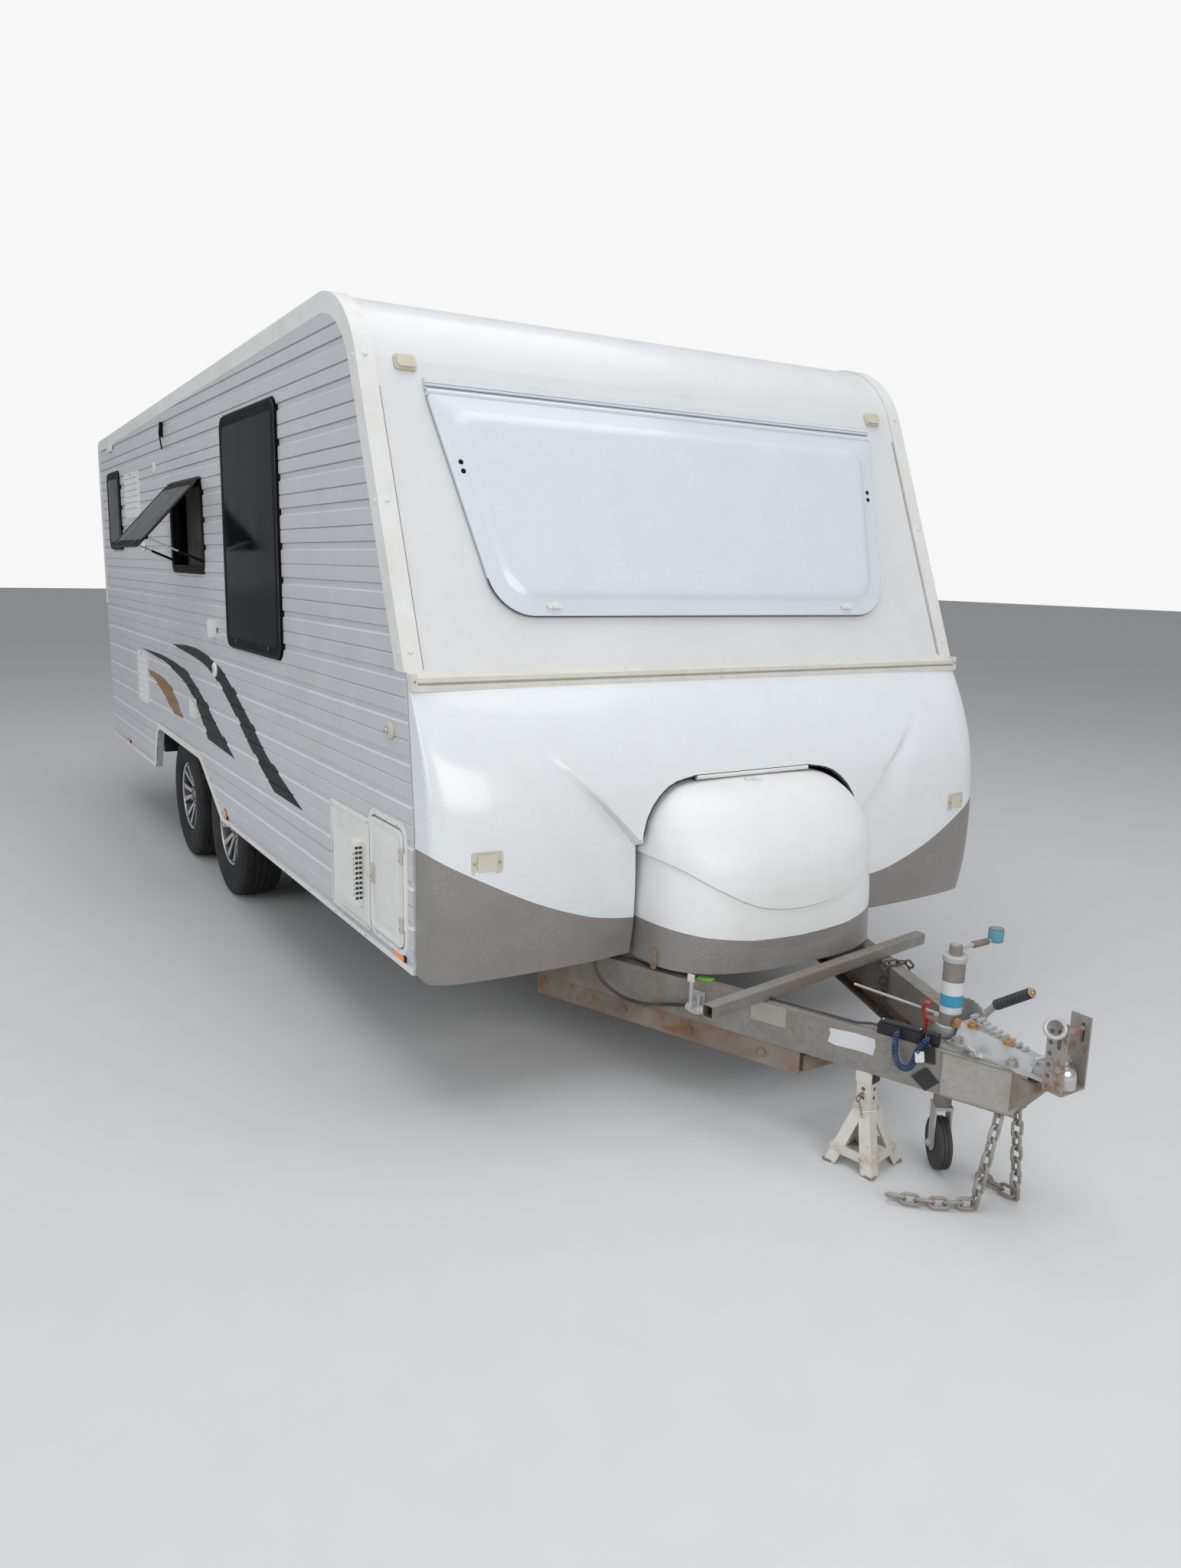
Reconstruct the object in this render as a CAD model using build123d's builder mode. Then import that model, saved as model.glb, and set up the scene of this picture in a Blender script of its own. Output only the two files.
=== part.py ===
from build123d import *
import os
from math import atan2, cos, degrees, radians, sin, tan

# Twin-axle travel caravan. Millimetres, +X forward to the coupling, +Y to its left, +Z up.
# The body is drawn about its own centre plane; each piece is then stored with the origin on the
# ground under the middle of the whole length and width, the hinged window included.
os.makedirs("parts", exist_ok=True)

# Body
wheel_radius = 345
body_width = 2320
side_shift = 115            # from the body's centre plane to the stored origin
wall = 30
front_x = 1950              # belt line of the front wall
rear_x = -3430
skirt_z = wheel_radius + 90
floor_z = skirt_z + 105     # underside of the floor panel
floor_thickness = 40
belt_z = 1324
slope_run = 487             # set-back of the upper front over its rise
slope_rise = 1257
foot_run = 50               # how far the side wall reaches ahead of the belt at its foot
foot_z = 880
roof_front_z = 2512
roof_rear_z = 2415
bend_radius = 350
rear_radius = 90
roof_joint_rear_z = 2300    # height of the joint between roof and rear wall
roof_joint_front_z = 2240
half = body_width / 2
inner = half - wall
roof_fall = (roof_front_z - roof_rear_z) / (front_x - 900 - rear_x)
slope_lean = slope_run / slope_rise
slope_angle = degrees(atan2(slope_run, slope_rise))
apex_x = (front_x - (roof_rear_z - roof_fall * rear_x - belt_z) * slope_lean) / (1 + roof_fall * slope_lean)
apex_z = roof_rear_z + roof_fall * (apex_x - rear_x)
floor_top = floor_z + floor_thickness
seat_gap = 0.3              # running fit between pieces that move on each other
clearance = 8               # gap round doors and lids


def slope_x(z):
    return front_x - (z - belt_z) * slope_lean


def roof_z(x):
    return roof_rear_z + roof_fall * (x - rear_x)


# Running gear
tyre_width = 205
tyre_outer_y = half - 60
rim_radius = 190
axle_xs = {"front": front_x - 2520, "rear": front_x - 3400}
tyre_y = tyre_outer_y - tyre_width / 2
tyre_gap = 50
well_top = 2 * wheel_radius + 75
well_wall = 4
well_inner_y = tyre_outer_y - tyre_width - 35
arch_top = 2 * wheel_radius
beam = 50
rail_width = 50
chassis_rail_y = 740

# Drawbar
bar_height = 125
bar_top = wheel_radius + 60
chassis_rail_z = bar_top
bar_wall_angle = 0.385      # run of the outer face across for each step back
bar_tip_x = front_x + 1445
nose_back_x = front_x + 1128
nose_x = front_x + 1335
bar_end_x = front_x - 520
bar_turn = degrees(atan2(bar_wall_angle, 1))


def bar_y(x):
    return (bar_tip_x - x) * bar_wall_angle


# Openings in the side walls as measured from the front wall: x range back, z range
window_frame = 40
window_radius = 60
right_windows = [("tall", 2033, 1204, 1286, 2266), ("hinged", 3152, 2426, 1595, 2046),
                 ("small", 5038, 4597, 1714, 2200)]
left_windows = [("front", 1750, 950, 1430, 2046), ("middle", 3250, 2350, 1480, 2046)]
hinged_angle = 42
door_x0 = front_x - 4980
door_width = 620
door_z0 = 560
door_z1 = 2250
door_radius = 70
locker_x0 = front_x - 300
locker_x1 = front_x - 10
locker_z0 = 490
locker_z1 = 880


def keep(part, name):
    stored = part.moved(Location((0, side_shift, 0)))
    stored.label = name
    export_step(stored, f"parts/{name}.step")
    print(name, round(part.volume / 1000), "cm3")


# The side wall's outline, and the bands that the roof, front and rear panels are cut from
with BuildSketch() as side_outline:
    with BuildLine():
        Polyline((rear_x, skirt_z), (front_x + foot_run, skirt_z), (front_x + foot_run, foot_z),
                 (front_x, belt_z), (apex_x, apex_z), (rear_x, roof_rear_z), close=True)
    make_face()
    fillet(side_outline.vertices().sort_by_distance((apex_x, apex_z))[0], bend_radius)
    fillet(side_outline.vertices().sort_by_distance((rear_x, roof_rear_z))[0], rear_radius)
cut_top = roof_front_z + 300
joint_fall = (roof_joint_rear_z - roof_joint_front_z) / (front_x + 250 - rear_x)


def joint_z(x):
    return roof_joint_rear_z - joint_fall * (x - rear_x + 50)


with BuildSketch() as roof_band:
    add(side_outline.sketch)
    offset(side_outline.sketch, amount=-wall, mode=Mode.SUBTRACT)
    with BuildLine():
        Polyline((rear_x - 50, joint_z(rear_x - 50)), (front_x + 200, joint_z(front_x + 200)),
                 (front_x + 200, cut_top), (rear_x - 50, cut_top), close=True)
    make_face(mode=Mode.INTERSECT)
with BuildSketch() as front_band:
    add(side_outline.sketch)
    offset(side_outline.sketch, amount=-wall, mode=Mode.SUBTRACT)
    with BuildLine():
        Polyline((front_x - 700, belt_z), (front_x + 200, belt_z), (front_x + 200, joint_z(front_x + 200)),
                 (front_x - 700, joint_z(front_x - 700)), close=True)
    make_face(mode=Mode.INTERSECT)
with BuildSketch() as rear_band:
    add(side_outline.sketch)
    offset(side_outline.sketch, amount=-wall, mode=Mode.SUBTRACT)
    with BuildLine():
        Polyline((rear_x - 50, skirt_z), (rear_x + wall, skirt_z), (rear_x + wall, joint_z(rear_x + wall)),
                 (rear_x - 50, joint_z(rear_x - 50)), close=True)
    make_face(mode=Mode.INTERSECT)
arch_bend = 80
with BuildSketch() as arch:
    with BuildLine():
        Polyline((front_x - 3900, skirt_z - 1), (front_x - 3800, arch_top - 50), (front_x - 3740, arch_top),
                 (front_x - 2720, arch_top - 20), (front_x - 2310, skirt_z - 1), close=True)
    make_face()
    fillet(arch.vertices().sort_by_distance((front_x - 3800, arch_top - 50))[0], arch_bend)
    fillet(arch.vertices().sort_by_distance((front_x - 3740, arch_top))[0], arch_bend)
    fillet(arch.vertices().sort_by_distance((front_x - 2720, arch_top - 20))[0], 2 * arch_bend)


# Floor with the two wheel wells cut from its edges
well_x0 = axle_xs["rear"] - wheel_radius - tyre_gap
well_x1 = axle_xs["front"] + wheel_radius + tyre_gap
well_mid = (well_x0 + well_x1) / 2
floor_x0 = rear_x + wall
floor_x1 = front_x + foot_run
locker_back_x = front_x - 200
locker_half = 482           # half width of the gas locker, as wide as the recess
with BuildPart() as floor:
    with BuildSketch(Plane.XY.offset(floor_z)):
        with Locations(((floor_x0 + floor_x1) / 2, 0)):
            Rectangle(floor_x1 - floor_x0, 2 * inner)
        with Locations((well_mid, (inner + well_inner_y) / 2), (well_mid, -(inner + well_inner_y) / 2)):
            Rectangle(well_x1 - well_x0, inner - well_inner_y, mode=Mode.SUBTRACT)
        with Locations(((locker_back_x + floor_x1) / 2, 0)):
            Rectangle(floor_x1 - locker_back_x, 2 * locker_half, mode=Mode.SUBTRACT)
    extrude(amount=floor_thickness)
keep(floor.part, "floor")

# Wheel wells: open to the outside and below
with BuildPart() as wheel_wells:
    for side in (-1, 1):
        with BuildSketch(Plane.XY.offset(floor_z)):
            with Locations((well_mid, side * (inner + well_inner_y) / 2)):
                Rectangle(well_x1 - well_x0, inner - well_inner_y)
        extrude(amount=well_top - floor_z)
        with BuildSketch(Plane.XY.offset(floor_z)):
            with Locations((well_mid, side * (inner + well_inner_y + well_wall) / 2)):
                Rectangle(well_x1 - well_x0 - 2 * well_wall, inner - well_inner_y - well_wall)
        extrude(amount=well_top - floor_z - well_wall, mode=Mode.SUBTRACT)
keep(wheel_wells.part, "wheel_wells")

# Side walls
cut_inset = 22
with BuildPart() as right_wall:
    with BuildSketch(Plane.XZ.offset(inner)):
        add(side_outline.sketch)
        add(arch.sketch, mode=Mode.SUBTRACT)
        for name, x0, x1, z0, z1 in right_windows:
            with Locations((front_x - (x0 + x1) / 2, (z0 + z1) / 2)):
                RectangleRounded(x0 - x1 - 2 * cut_inset, z1 - z0 - 2 * cut_inset, window_radius - cut_inset,
                                 mode=Mode.SUBTRACT)
        with Locations(((locker_x0 + locker_x1) / 2, (locker_z0 + locker_z1) / 2)):
            RectangleRounded(locker_x1 - locker_x0, locker_z1 - locker_z0, 40, mode=Mode.SUBTRACT)
    extrude(amount=wall)
keep(right_wall.part, "right_wall")

with BuildPart() as left_wall:
    with BuildSketch(Plane.XZ.offset(-half)):
        add(side_outline.sketch)
        add(arch.sketch, mode=Mode.SUBTRACT)
        for name, x0, x1, z0, z1 in left_windows:
            with Locations((front_x - (x0 + x1) / 2, (z0 + z1) / 2)):
                RectangleRounded(x0 - x1 - 2 * cut_inset, z1 - z0 - 2 * cut_inset, window_radius - cut_inset,
                                 mode=Mode.SUBTRACT)
        with Locations((door_x0 + door_width / 2, (door_z0 + door_z1) / 2)):
            RectangleRounded(door_width, door_z1 - door_z0, door_radius, mode=Mode.SUBTRACT)
    extrude(amount=wall)
keep(left_wall.part, "left_wall")

# Roof with two hatches, sloped front panel and rear wall between the side walls
hatch_size = 400
hatch_xs = (front_x - 1500, front_x - 4150)
with BuildPart() as roof:
    with BuildSketch(Plane.XZ.offset(-inner)):
        add(roof_band.sketch)
    extrude(amount=2 * inner)
    for x in hatch_xs:
        with Locations((x, 0, roof_z(x))):
            Box(hatch_size - 60, hatch_size - 60, 300, mode=Mode.SUBTRACT)
keep(roof.part, "roof")

front_window_width = body_width - 820
front_window_z0 = 1600
front_window_z1 = 2090
front_plane = Plane(origin=(slope_x(1845), 0, 1845), x_dir=(0, 1, 0),
                    z_dir=(cos(radians(slope_angle)), 0, sin(radians(slope_angle))))
front_window_height = (front_window_z1 - front_window_z0) / cos(radians(slope_angle))
with BuildPart() as front_upper_panel:
    with BuildSketch(Plane.XZ.offset(-inner)):
        add(front_band.sketch)
    extrude(amount=2 * inner)
    with BuildSketch(front_plane.offset(50)):
        RectangleRounded(front_window_width - 2 * cut_inset, front_window_height - 2 * cut_inset,
                         window_radius - cut_inset)
    extrude(amount=-150, mode=Mode.SUBTRACT)
keep(front_upper_panel.part, "front_upper_panel")

rear_window = (1100, 1500, 1980)
with BuildPart() as rear_wall:
    with BuildSketch(Plane.XZ.offset(-inner)):
        add(rear_band.sketch)
    extrude(amount=2 * inner)
    with BuildSketch(Plane.YZ.offset(rear_x - 10)):
        with Locations((0, (rear_window[1] + rear_window[2]) / 2)):
            RectangleRounded(rear_window[0] - 2 * cut_inset, rear_window[2] - rear_window[1] - 2 * cut_inset,
                             window_radius - cut_inset)
    extrude(amount=wall + 20, mode=Mode.SUBTRACT)
keep(rear_wall.part, "rear_wall")

# Lower front moulding: bulged in side view and in plan, with a recess for the gas cover
bulge = 232
bulge_z = 860
mould_top = belt_z - 24
recess_z0 = 452
recess_z1 = 1012
recess_half = 482
corner_set_back = 35        # of the moulding's plan at the corners, behind its middle
corner_round = 60
with BuildPart() as front_lower_moulding:
    with BuildSketch(Plane.XZ.offset(-half)):
        with BuildLine():
            Polyline((front_x + 195, skirt_z), (front_x + foot_run, skirt_z), (front_x + foot_run, foot_z),
                     (front_x + 5, mould_top), (front_x + 34, mould_top))
            ThreePointArc((front_x + 34, mould_top), (front_x + 172, 1090), (front_x + bulge, bulge_z))
            ThreePointArc((front_x + bulge, bulge_z), (front_x + bulge, 640), (front_x + 195, skirt_z))
        make_face()
    extrude(amount=body_width)
    with BuildSketch(Plane.XY.offset(skirt_z)):
        with BuildLine():
            for side in (-1, 1):
                Line((front_x + bulge + 1, 0), (front_x + bulge + 1, side * recess_half))
                ThreePointArc((front_x + bulge + 1, side * recess_half),
                              (front_x + bulge - 2, side * (half - 320)),
                              (front_x + bulge - corner_set_back, side * (half - corner_round)))
                ThreePointArc((front_x + bulge - corner_set_back, side * (half - corner_round)),
                              (front_x + bulge - corner_set_back - 20, side * (half - 16)),
                              (front_x + bulge - corner_set_back - 58, side * half))
                Line((front_x + bulge - corner_set_back - 58, side * half), (front_x, side * half))
            Line((front_x, -half), (front_x, half))
        make_face()
    extrude(amount=mould_top - skirt_z, mode=Mode.INTERSECT)
    with Locations((front_x + bulge, 0, (recess_z0 + recess_z1) / 2)):
        Box(2 * bulge, 2 * recess_half, recess_z1 - recess_z0, mode=Mode.SUBTRACT)
    with Locations((front_x + bulge, 0, (skirt_z + recess_z0) / 2)):
        Box(2 * bulge, 2 * recess_half, recess_z0 - skirt_z + 2, mode=Mode.SUBTRACT)
keep(front_lower_moulding.part, "front_lower_moulding")

# Gas locker behind the recess, open to the front, with two bottles
locker_wall = 4
locker_front_x = front_x + foot_run - 20
with BuildPart() as gas_locker:
    with Locations(((locker_back_x + locker_front_x) / 2, 0, (recess_z0 + recess_z1) / 2)):
        Box(locker_front_x - locker_back_x, 2 * locker_half, recess_z1 - recess_z0)
    opening = gas_locker.faces().sort_by(Axis.X)[-1]
    offset(amount=-locker_wall, openings=opening)
keep(gas_locker.part, "gas_locker")

bottle_radius = 152
bottle_x = front_x - 40
bottle_height = 400
with BuildPart() as gas_bottles:
    for y in (-170, 170):
        with BuildSketch(Plane.XZ.offset(-y)):
            with BuildLine():
                Polyline((bottle_x, recess_z0 + locker_wall),
                         (bottle_x + bottle_radius - 15, recess_z0 + locker_wall),
                         (bottle_x + bottle_radius, recess_z0 + 40), (bottle_x + bottle_radius,
                                                                      recess_z0 + bottle_height - 70),
                         (bottle_x + bottle_radius - 50, recess_z0 + bottle_height), (bottle_x + 80,
                                                                                      recess_z0 + bottle_height + 12),
                         (bottle_x + 80, recess_z0 + bottle_height + 80), (bottle_x,
                                                                           recess_z0 + bottle_height + 80),
                         close=True)
            make_face()
        revolve(axis=Axis((bottle_x, y, 0), (0, 0, 1)))
keep(gas_bottles.part, "gas_bottles")

# Gas cover: shell bowed out over the drawbar, which lifts about a barrel under the recess's top
cover_back_x = front_x + 120
cover_nose_x = front_x + 500
cover_half = 455
cover_bottom = bar_top + 18
cover_shell = 8
cover_barrel = 8
cover_axis_x = front_x + 203
cover_axis_z = recess_z1 - cover_barrel - seat_gap


def cover_solid(inset):
    with BuildPart() as solid:
        with BuildSketch(Plane.XY.offset(cover_bottom - 1)):
            with BuildLine():
                for side in (-1, 1):
                    reach = side * (cover_half - inset)
                    Line((cover_back_x, 0), (cover_back_x, reach))
                    Line((cover_back_x, reach), (cover_nose_x - 250, reach))
                    ThreePointArc((cover_nose_x - 250, reach), (cover_nose_x - 105 - inset, 0.86 * reach),
                                  (cover_nose_x - 38 - inset, 0.64 * reach))
                    ThreePointArc((cover_nose_x - 38 - inset, 0.64 * reach),
                                  (cover_nose_x - 9 - inset, 0.32 * reach),
                                  (cover_nose_x - inset, 0))
            make_face()
        extrude(amount=recess_z1 - cover_bottom)
        with BuildSketch(Plane.XZ.offset(-cover_half)):
            with BuildLine():
                top_z = recess_z1 - 18 - inset
                Polyline((cover_nose_x + 1, cover_bottom), (cover_back_x, cover_bottom),
                         (cover_back_x, top_z),
                         (cover_back_x + 80, top_z))
                ThreePointArc((cover_back_x + 80, top_z), (cover_nose_x - 110 - inset, 900 - inset),
                              (cover_nose_x - 28 - inset, 770 - inset))
                Polyline((cover_nose_x - 28 - inset, 770 - inset), (cover_nose_x - 3 - inset, 612),
                         (cover_nose_x + 1, 560),
                         (cover_nose_x + 1, cover_bottom))
            make_face()
        extrude(amount=2 * cover_half, mode=Mode.INTERSECT)
        with BuildSketch(Plane.YZ.offset(cover_back_x - 5)) as front_face:
            with Locations((0, (cover_bottom + recess_z1) / 2 - inset)):
                Rectangle(2 * (cover_half - inset) + 10, recess_z1 - cover_bottom)
            chamfer(front_face.vertices().sort_by(Axis.Y)[2:], 165)
            fillet(front_face.vertices().sort_by(Axis.Y)[2:], 120)
        extrude(amount=cover_nose_x - cover_back_x + 10, mode=Mode.INTERSECT)
    return solid.part


cover_outside = cover_solid(0)
cover_inside = cover_solid(cover_shell)
with BuildPart() as gas_cover:
    add(cover_outside)
    add(cover_inside, mode=Mode.SUBTRACT)
    with Locations((cover_axis_x, 0, cover_axis_z)):
        Cylinder(cover_barrel, 480, rotation=(90, 0, 0))
    with Locations((cover_axis_x, 0, (cover_axis_z + 970) / 2)):
        Box(10, 480, cover_axis_z - 970)
keep(gas_cover.part, "gas_cover")

# Corner mouldings: capped angle over the edges of the side walls and roof
mould_flange = 58
mould_proud = 8
mould_z0 = belt_z + 30
with BuildSketch() as mould_ring:
    offset(side_outline.sketch, amount=mould_proud, kind=Kind.INTERSECTION)
    offset(side_outline.sketch, amount=-mould_flange, mode=Mode.SUBTRACT)
    with BuildLine():
        Polyline((rear_x - 50, mould_z0), (front_x + 300, mould_z0), (front_x + 300, cut_top),
                 (rear_x - 50, cut_top), close=True)
    make_face(mode=Mode.INTERSECT)
with BuildSketch() as mould_edge:
    offset(side_outline.sketch, amount=mould_proud, kind=Kind.INTERSECTION)
    add(side_outline.sketch, mode=Mode.SUBTRACT)
    with BuildLine():
        Polyline((rear_x - 50, mould_z0), (front_x + 300, mould_z0), (front_x + 300, cut_top),
                 (rear_x - 50, cut_top), close=True)
    make_face(mode=Mode.INTERSECT)
with BuildPart() as corner_mouldings:
    with BuildSketch(Plane.XZ.offset(half)):
        add(mould_ring.sketch)
    extrude(amount=mould_proud)
    with BuildSketch(Plane.XZ.offset(half - 52)):
        add(mould_edge.sketch)
    extrude(amount=52)
    mirror(about=Plane.XZ)
keep(corner_mouldings.part, "corner_mouldings")

# Belt trim across the front
with BuildPart() as belt_trim:
    with BuildSketch(Plane.XZ.offset(-half)):
        with BuildLine():
            Polyline((front_x + foot_run * 24 / (belt_z - foot_z), belt_z - 24), (front_x + 34, belt_z - 24),
                     (front_x + 30, belt_z + 12),
                     (slope_x(mould_z0) + 10, mould_z0), (slope_x(mould_z0), mould_z0), (front_x, belt_z),
                     close=True)
        make_face()
    extrude(amount=body_width)
keep(belt_trim.part, "belt_trim")

# Windows: a frame through the wall with an outer lip, and a pane over the lip
lip = 10
pane = 8
hinge_out = lip + pane / 2 * (sin(radians(hinged_angle)) + cos(radians(hinged_angle))) + seat_gap


def frame_profile(width, height):
    with BuildSketch() as ring:
        RectangleRounded(width - 2 * cut_inset, height - 2 * cut_inset, window_radius - cut_inset)
        RectangleRounded(width - 2 * window_frame, height - 2 * window_frame, window_radius - window_frame,
                         mode=Mode.SUBTRACT)
    with BuildSketch() as outer:
        RectangleRounded(width, height, window_radius)
        RectangleRounded(width - 2 * window_frame, height - 2 * window_frame, window_radius - window_frame,
                         mode=Mode.SUBTRACT)
    return ring.sketch, outer.sketch


window_places = []
for name, x0, x1, z0, z1 in right_windows:
    place = Plane(origin=(front_x - (x0 + x1) / 2, -half, (z0 + z1) / 2), x_dir=(1, 0, 0), z_dir=(0, -1, 0))
    window_places.append((name, place, x0 - x1, z1 - z0))
for name, x0, x1, z0, z1 in left_windows:
    place = Plane(origin=(front_x - (x0 + x1) / 2, half, (z0 + z1) / 2), x_dir=(-1, 0, 0), z_dir=(0, 1, 0))
    window_places.append((name, place, x0 - x1, z1 - z0))
window_places.append(("rear",
                      Plane(origin=(rear_x, 0, (rear_window[1] + rear_window[2]) / 2), x_dir=(0, -1, 0),
                                    z_dir=(-1, 0, 0)), rear_window[0], rear_window[2] - rear_window[1]))
window_places.append(("nose", front_plane, front_window_width, front_window_height))
with BuildPart() as window_frames:
    for name, place, width, height in window_places:
        ring, outer = frame_profile(width, height)
        with BuildSketch(place):
            add(ring)
        extrude(amount=-wall)
        with BuildSketch(place):
            add(outer)
        extrude(amount=lip if name != "nose" else 2)
keep(window_frames.part, "window_frames")

with BuildPart() as window_panes:
    for name, place, width, height in window_places:
        if name == "hinged":
            top = place.location * Location((0, height / 2 - 12, hinge_out), (-hinged_angle, 0, 0))
            with BuildSketch(Plane(top)):
                with Locations((0, -height / 2 + 12)):
                    RectangleRounded(width - 16, height - 16, window_radius - 8)
            extrude(amount=pane / 2, both=True)
        else:
            with BuildSketch(place.offset(lip if name != "nose" else 2)):
                RectangleRounded(width - 16, height - 16, window_radius - 8)
            extrude(amount=pane if name != "nose" else 3)
keep(window_panes.part, "window_panes")

# Stone shield over the front window, hinged in a rail at its top
shield_gap = 8
shield_thickness = 12
shield_panel = 10           # how far its raised middle stands out
shield_border = 62
shield_barrel = 12
shield_top_z = 2190
shield_bottom_z = 1508
shield_half_top = half - 202
shield_half_low = half - 310
shield_half_bottom = half - 420
shield_plane = Plane(origin=(slope_x(shield_top_z), 0, shield_top_z), x_dir=(0, 1, 0),
                     z_dir=(cos(radians(slope_angle)), 0, sin(radians(slope_angle))))
shield_length = (shield_top_z - shield_bottom_z) / cos(radians(slope_angle))
shield_low = shield_length * 0.82
with BuildPart() as stone_shield:
    with BuildSketch(shield_plane.offset(shield_gap)) as shield_face:
        with BuildLine():
            Polyline((-shield_half_top, -2), (-shield_half_low, -shield_low),
                     (-shield_half_bottom, -shield_length),
                     (shield_half_bottom, -shield_length), (shield_half_low, -shield_low), (shield_half_top,
                                                                                            -2),
                     close=True)
        make_face()
        fillet(shield_face.vertices().sort_by(Axis.Z)[:4], 60)
    extrude(amount=shield_thickness)
    with BuildSketch(shield_plane.offset(shield_gap + shield_thickness)):
        with BuildLine():
            Polyline((-shield_half_top + shield_border, -shield_border),
                     (-shield_half_low + shield_border, -shield_low),
                     (-shield_half_bottom + shield_border / 2, -shield_length + shield_border),
                     (shield_half_bottom - shield_border / 2, -shield_length + shield_border),
                     (shield_half_low - shield_border, -shield_low),
                     (shield_half_top - shield_border, -shield_border), close=True)
        make_face()
    extrude(amount=shield_panel, taper=30)
    with Locations(shield_plane.offset(shield_barrel + seat_gap)):
        Cylinder(shield_barrel, 2 * shield_half_top, rotation=(0, 90, 0))
keep(stone_shield.part, "stone_shield")

# Its rail stays thin beside the barrel, so that the lifted shield's top edge passes over it
rail_plane = Plane(origin=shield_plane.origin, x_dir=shield_plane.z_dir, z_dir=(0, -1, 0))
rail_foot = shield_barrel + seat_gap
with BuildPart() as shield_rail:
    with BuildSketch(rail_plane):
        with BuildLine():
            Polyline((0, rail_foot), (8, rail_foot), (8, rail_foot + 13), (20, rail_foot + 17),
                     (20, rail_foot + 27), (0, rail_foot + 34), close=True)
        make_face()
    extrude(amount=shield_half_top, both=True)
keep(shield_rail.part, "shield_rail")

# Access door of the front locker and entry door, each on a barrel in front of the wall
leaf_proud = 12
door_barrel = 8
with BuildPart() as access_door:
    with BuildSketch(Plane.XZ.offset(inner)):
        with Locations(((locker_x0 + locker_x1) / 2, (locker_z0 + locker_z1) / 2)):
            RectangleRounded(locker_x1 - locker_x0 - 2 * clearance, locker_z1 - locker_z0 - 2 * clearance,
                             40 - clearance)
    extrude(amount=wall + leaf_proud)
    with Locations((locker_x1 + 6, -half - door_barrel - seat_gap, (locker_z0 + locker_z1) / 2)):
        Cylinder(door_barrel, 240)
    with Locations((locker_x1 - 12, -half - door_barrel - seat_gap, (locker_z0 + locker_z1) / 2)):
        Box(36, 6, 240)
keep(access_door.part, "access_door")

door_x1 = door_x0 + door_width
door_window = (door_x0 + 110, door_x1 - 110, 1450, 2080)
with BuildPart() as entry_door:
    with BuildSketch(Plane.XZ.offset(-half - leaf_proud)):
        with Locations(((door_x0 + door_x1) / 2, (door_z0 + door_z1) / 2)):
            RectangleRounded(door_width - 2 * clearance, door_z1 - door_z0 - 2 * clearance,
                             door_radius - clearance)
        with Locations(((door_window[0] + door_window[1]) / 2, (door_window[2] + door_window[3]) / 2)):
            RectangleRounded(door_window[1] - door_window[0], door_window[3] - door_window[2], 40,
                             mode=Mode.SUBTRACT)
    extrude(amount=wall + leaf_proud)
    for z in (door_z0 + 250, (door_z0 + door_z1) / 2, door_z1 - 250):
        with Locations((door_x1 + 6, half + door_barrel + seat_gap, z)):
            Cylinder(door_barrel, 120)
        with Locations((door_x1 - 12, half + door_barrel + seat_gap, z)):
            Box(36, 6, 120)
keep(entry_door.part, "entry_door")
with BuildPart() as door_pane:
    with BuildSketch(Plane.XZ.offset(-half - leaf_proud)):
        with Locations(((door_window[0] + door_window[1]) / 2, (door_window[2] + door_window[3]) / 2)):
            RectangleRounded(door_window[1] - door_window[0], door_window[3] - door_window[2], 40)
    extrude(amount=8)
keep(door_pane.part, "door_pane")

# Heater cover with a slotted box standing out of it, and the two louvred fridge vents
heater_x = front_x - 490
heater_z = 665
vents = [(front_x - 4145, 955, 310, 310, 7), (front_x - 4195, 2030, 450, 260, 6)]
vent_proud = 14
louvre_depth = 7
with BuildPart() as wall_vents:
    with BuildSketch(Plane.XZ.offset(half)):
        with Locations((heater_x, heater_z)):
            RectangleRounded(380, 380, 20)
    extrude(amount=12)
    with BuildSketch(Plane.XZ.offset(half + 12)):
        with Locations((heater_x + 20, heater_z - 5)):
            RectangleRounded(200, 230, 15)
    extrude(amount=30, taper=12)
    for x, z, width, height, louvres in vents:
        with BuildSketch(Plane.XZ.offset(half)):
            with Locations((x, z)):
                RectangleRounded(width, height, 18)
        extrude(amount=vent_proud)
        with BuildSketch(Plane.XZ.offset(half + vent_proud)):
            with Locations((x, z)):
                with GridLocations(0, (height - 50) / louvres, 1, louvres):
                    Rectangle(width - 50, (height - 50) / louvres - 12)
        extrude(amount=-louvre_depth, mode=Mode.SUBTRACT)
keep(wall_vents.part, "wall_vents")

# White trim round the wheel arches of both walls
arch_trim_width = 35
arch_trim_proud = 10
with BuildSketch() as arch_ring:
    offset(arch.sketch, amount=arch_trim_width)
    add(arch.sketch, mode=Mode.SUBTRACT)
    with Locations((front_x - 3100, skirt_z + 400)):
        Rectangle(2400, 800, mode=Mode.INTERSECT)
with BuildPart() as arch_trims:
    with BuildSketch(Plane.XZ.offset(half)):
        add(arch_ring.sketch)
    extrude(amount=arch_trim_proud)
    mirror(about=Plane.XZ)
keep(arch_trims.part, "arch_trims")

# Roof hatches: frame on the roof and a domed lid
with BuildPart() as roof_hatches:
    for x in hatch_xs:
        with BuildSketch(Plane(origin=(x, 0, roof_z(x)), x_dir=(0, 1, 0), z_dir=(-roof_fall, 0, 1))):
            RectangleRounded(hatch_size, hatch_size, 40)
        extrude(amount=80, taper=8)
keep(roof_hatches.part, "roof_hatches")

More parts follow.
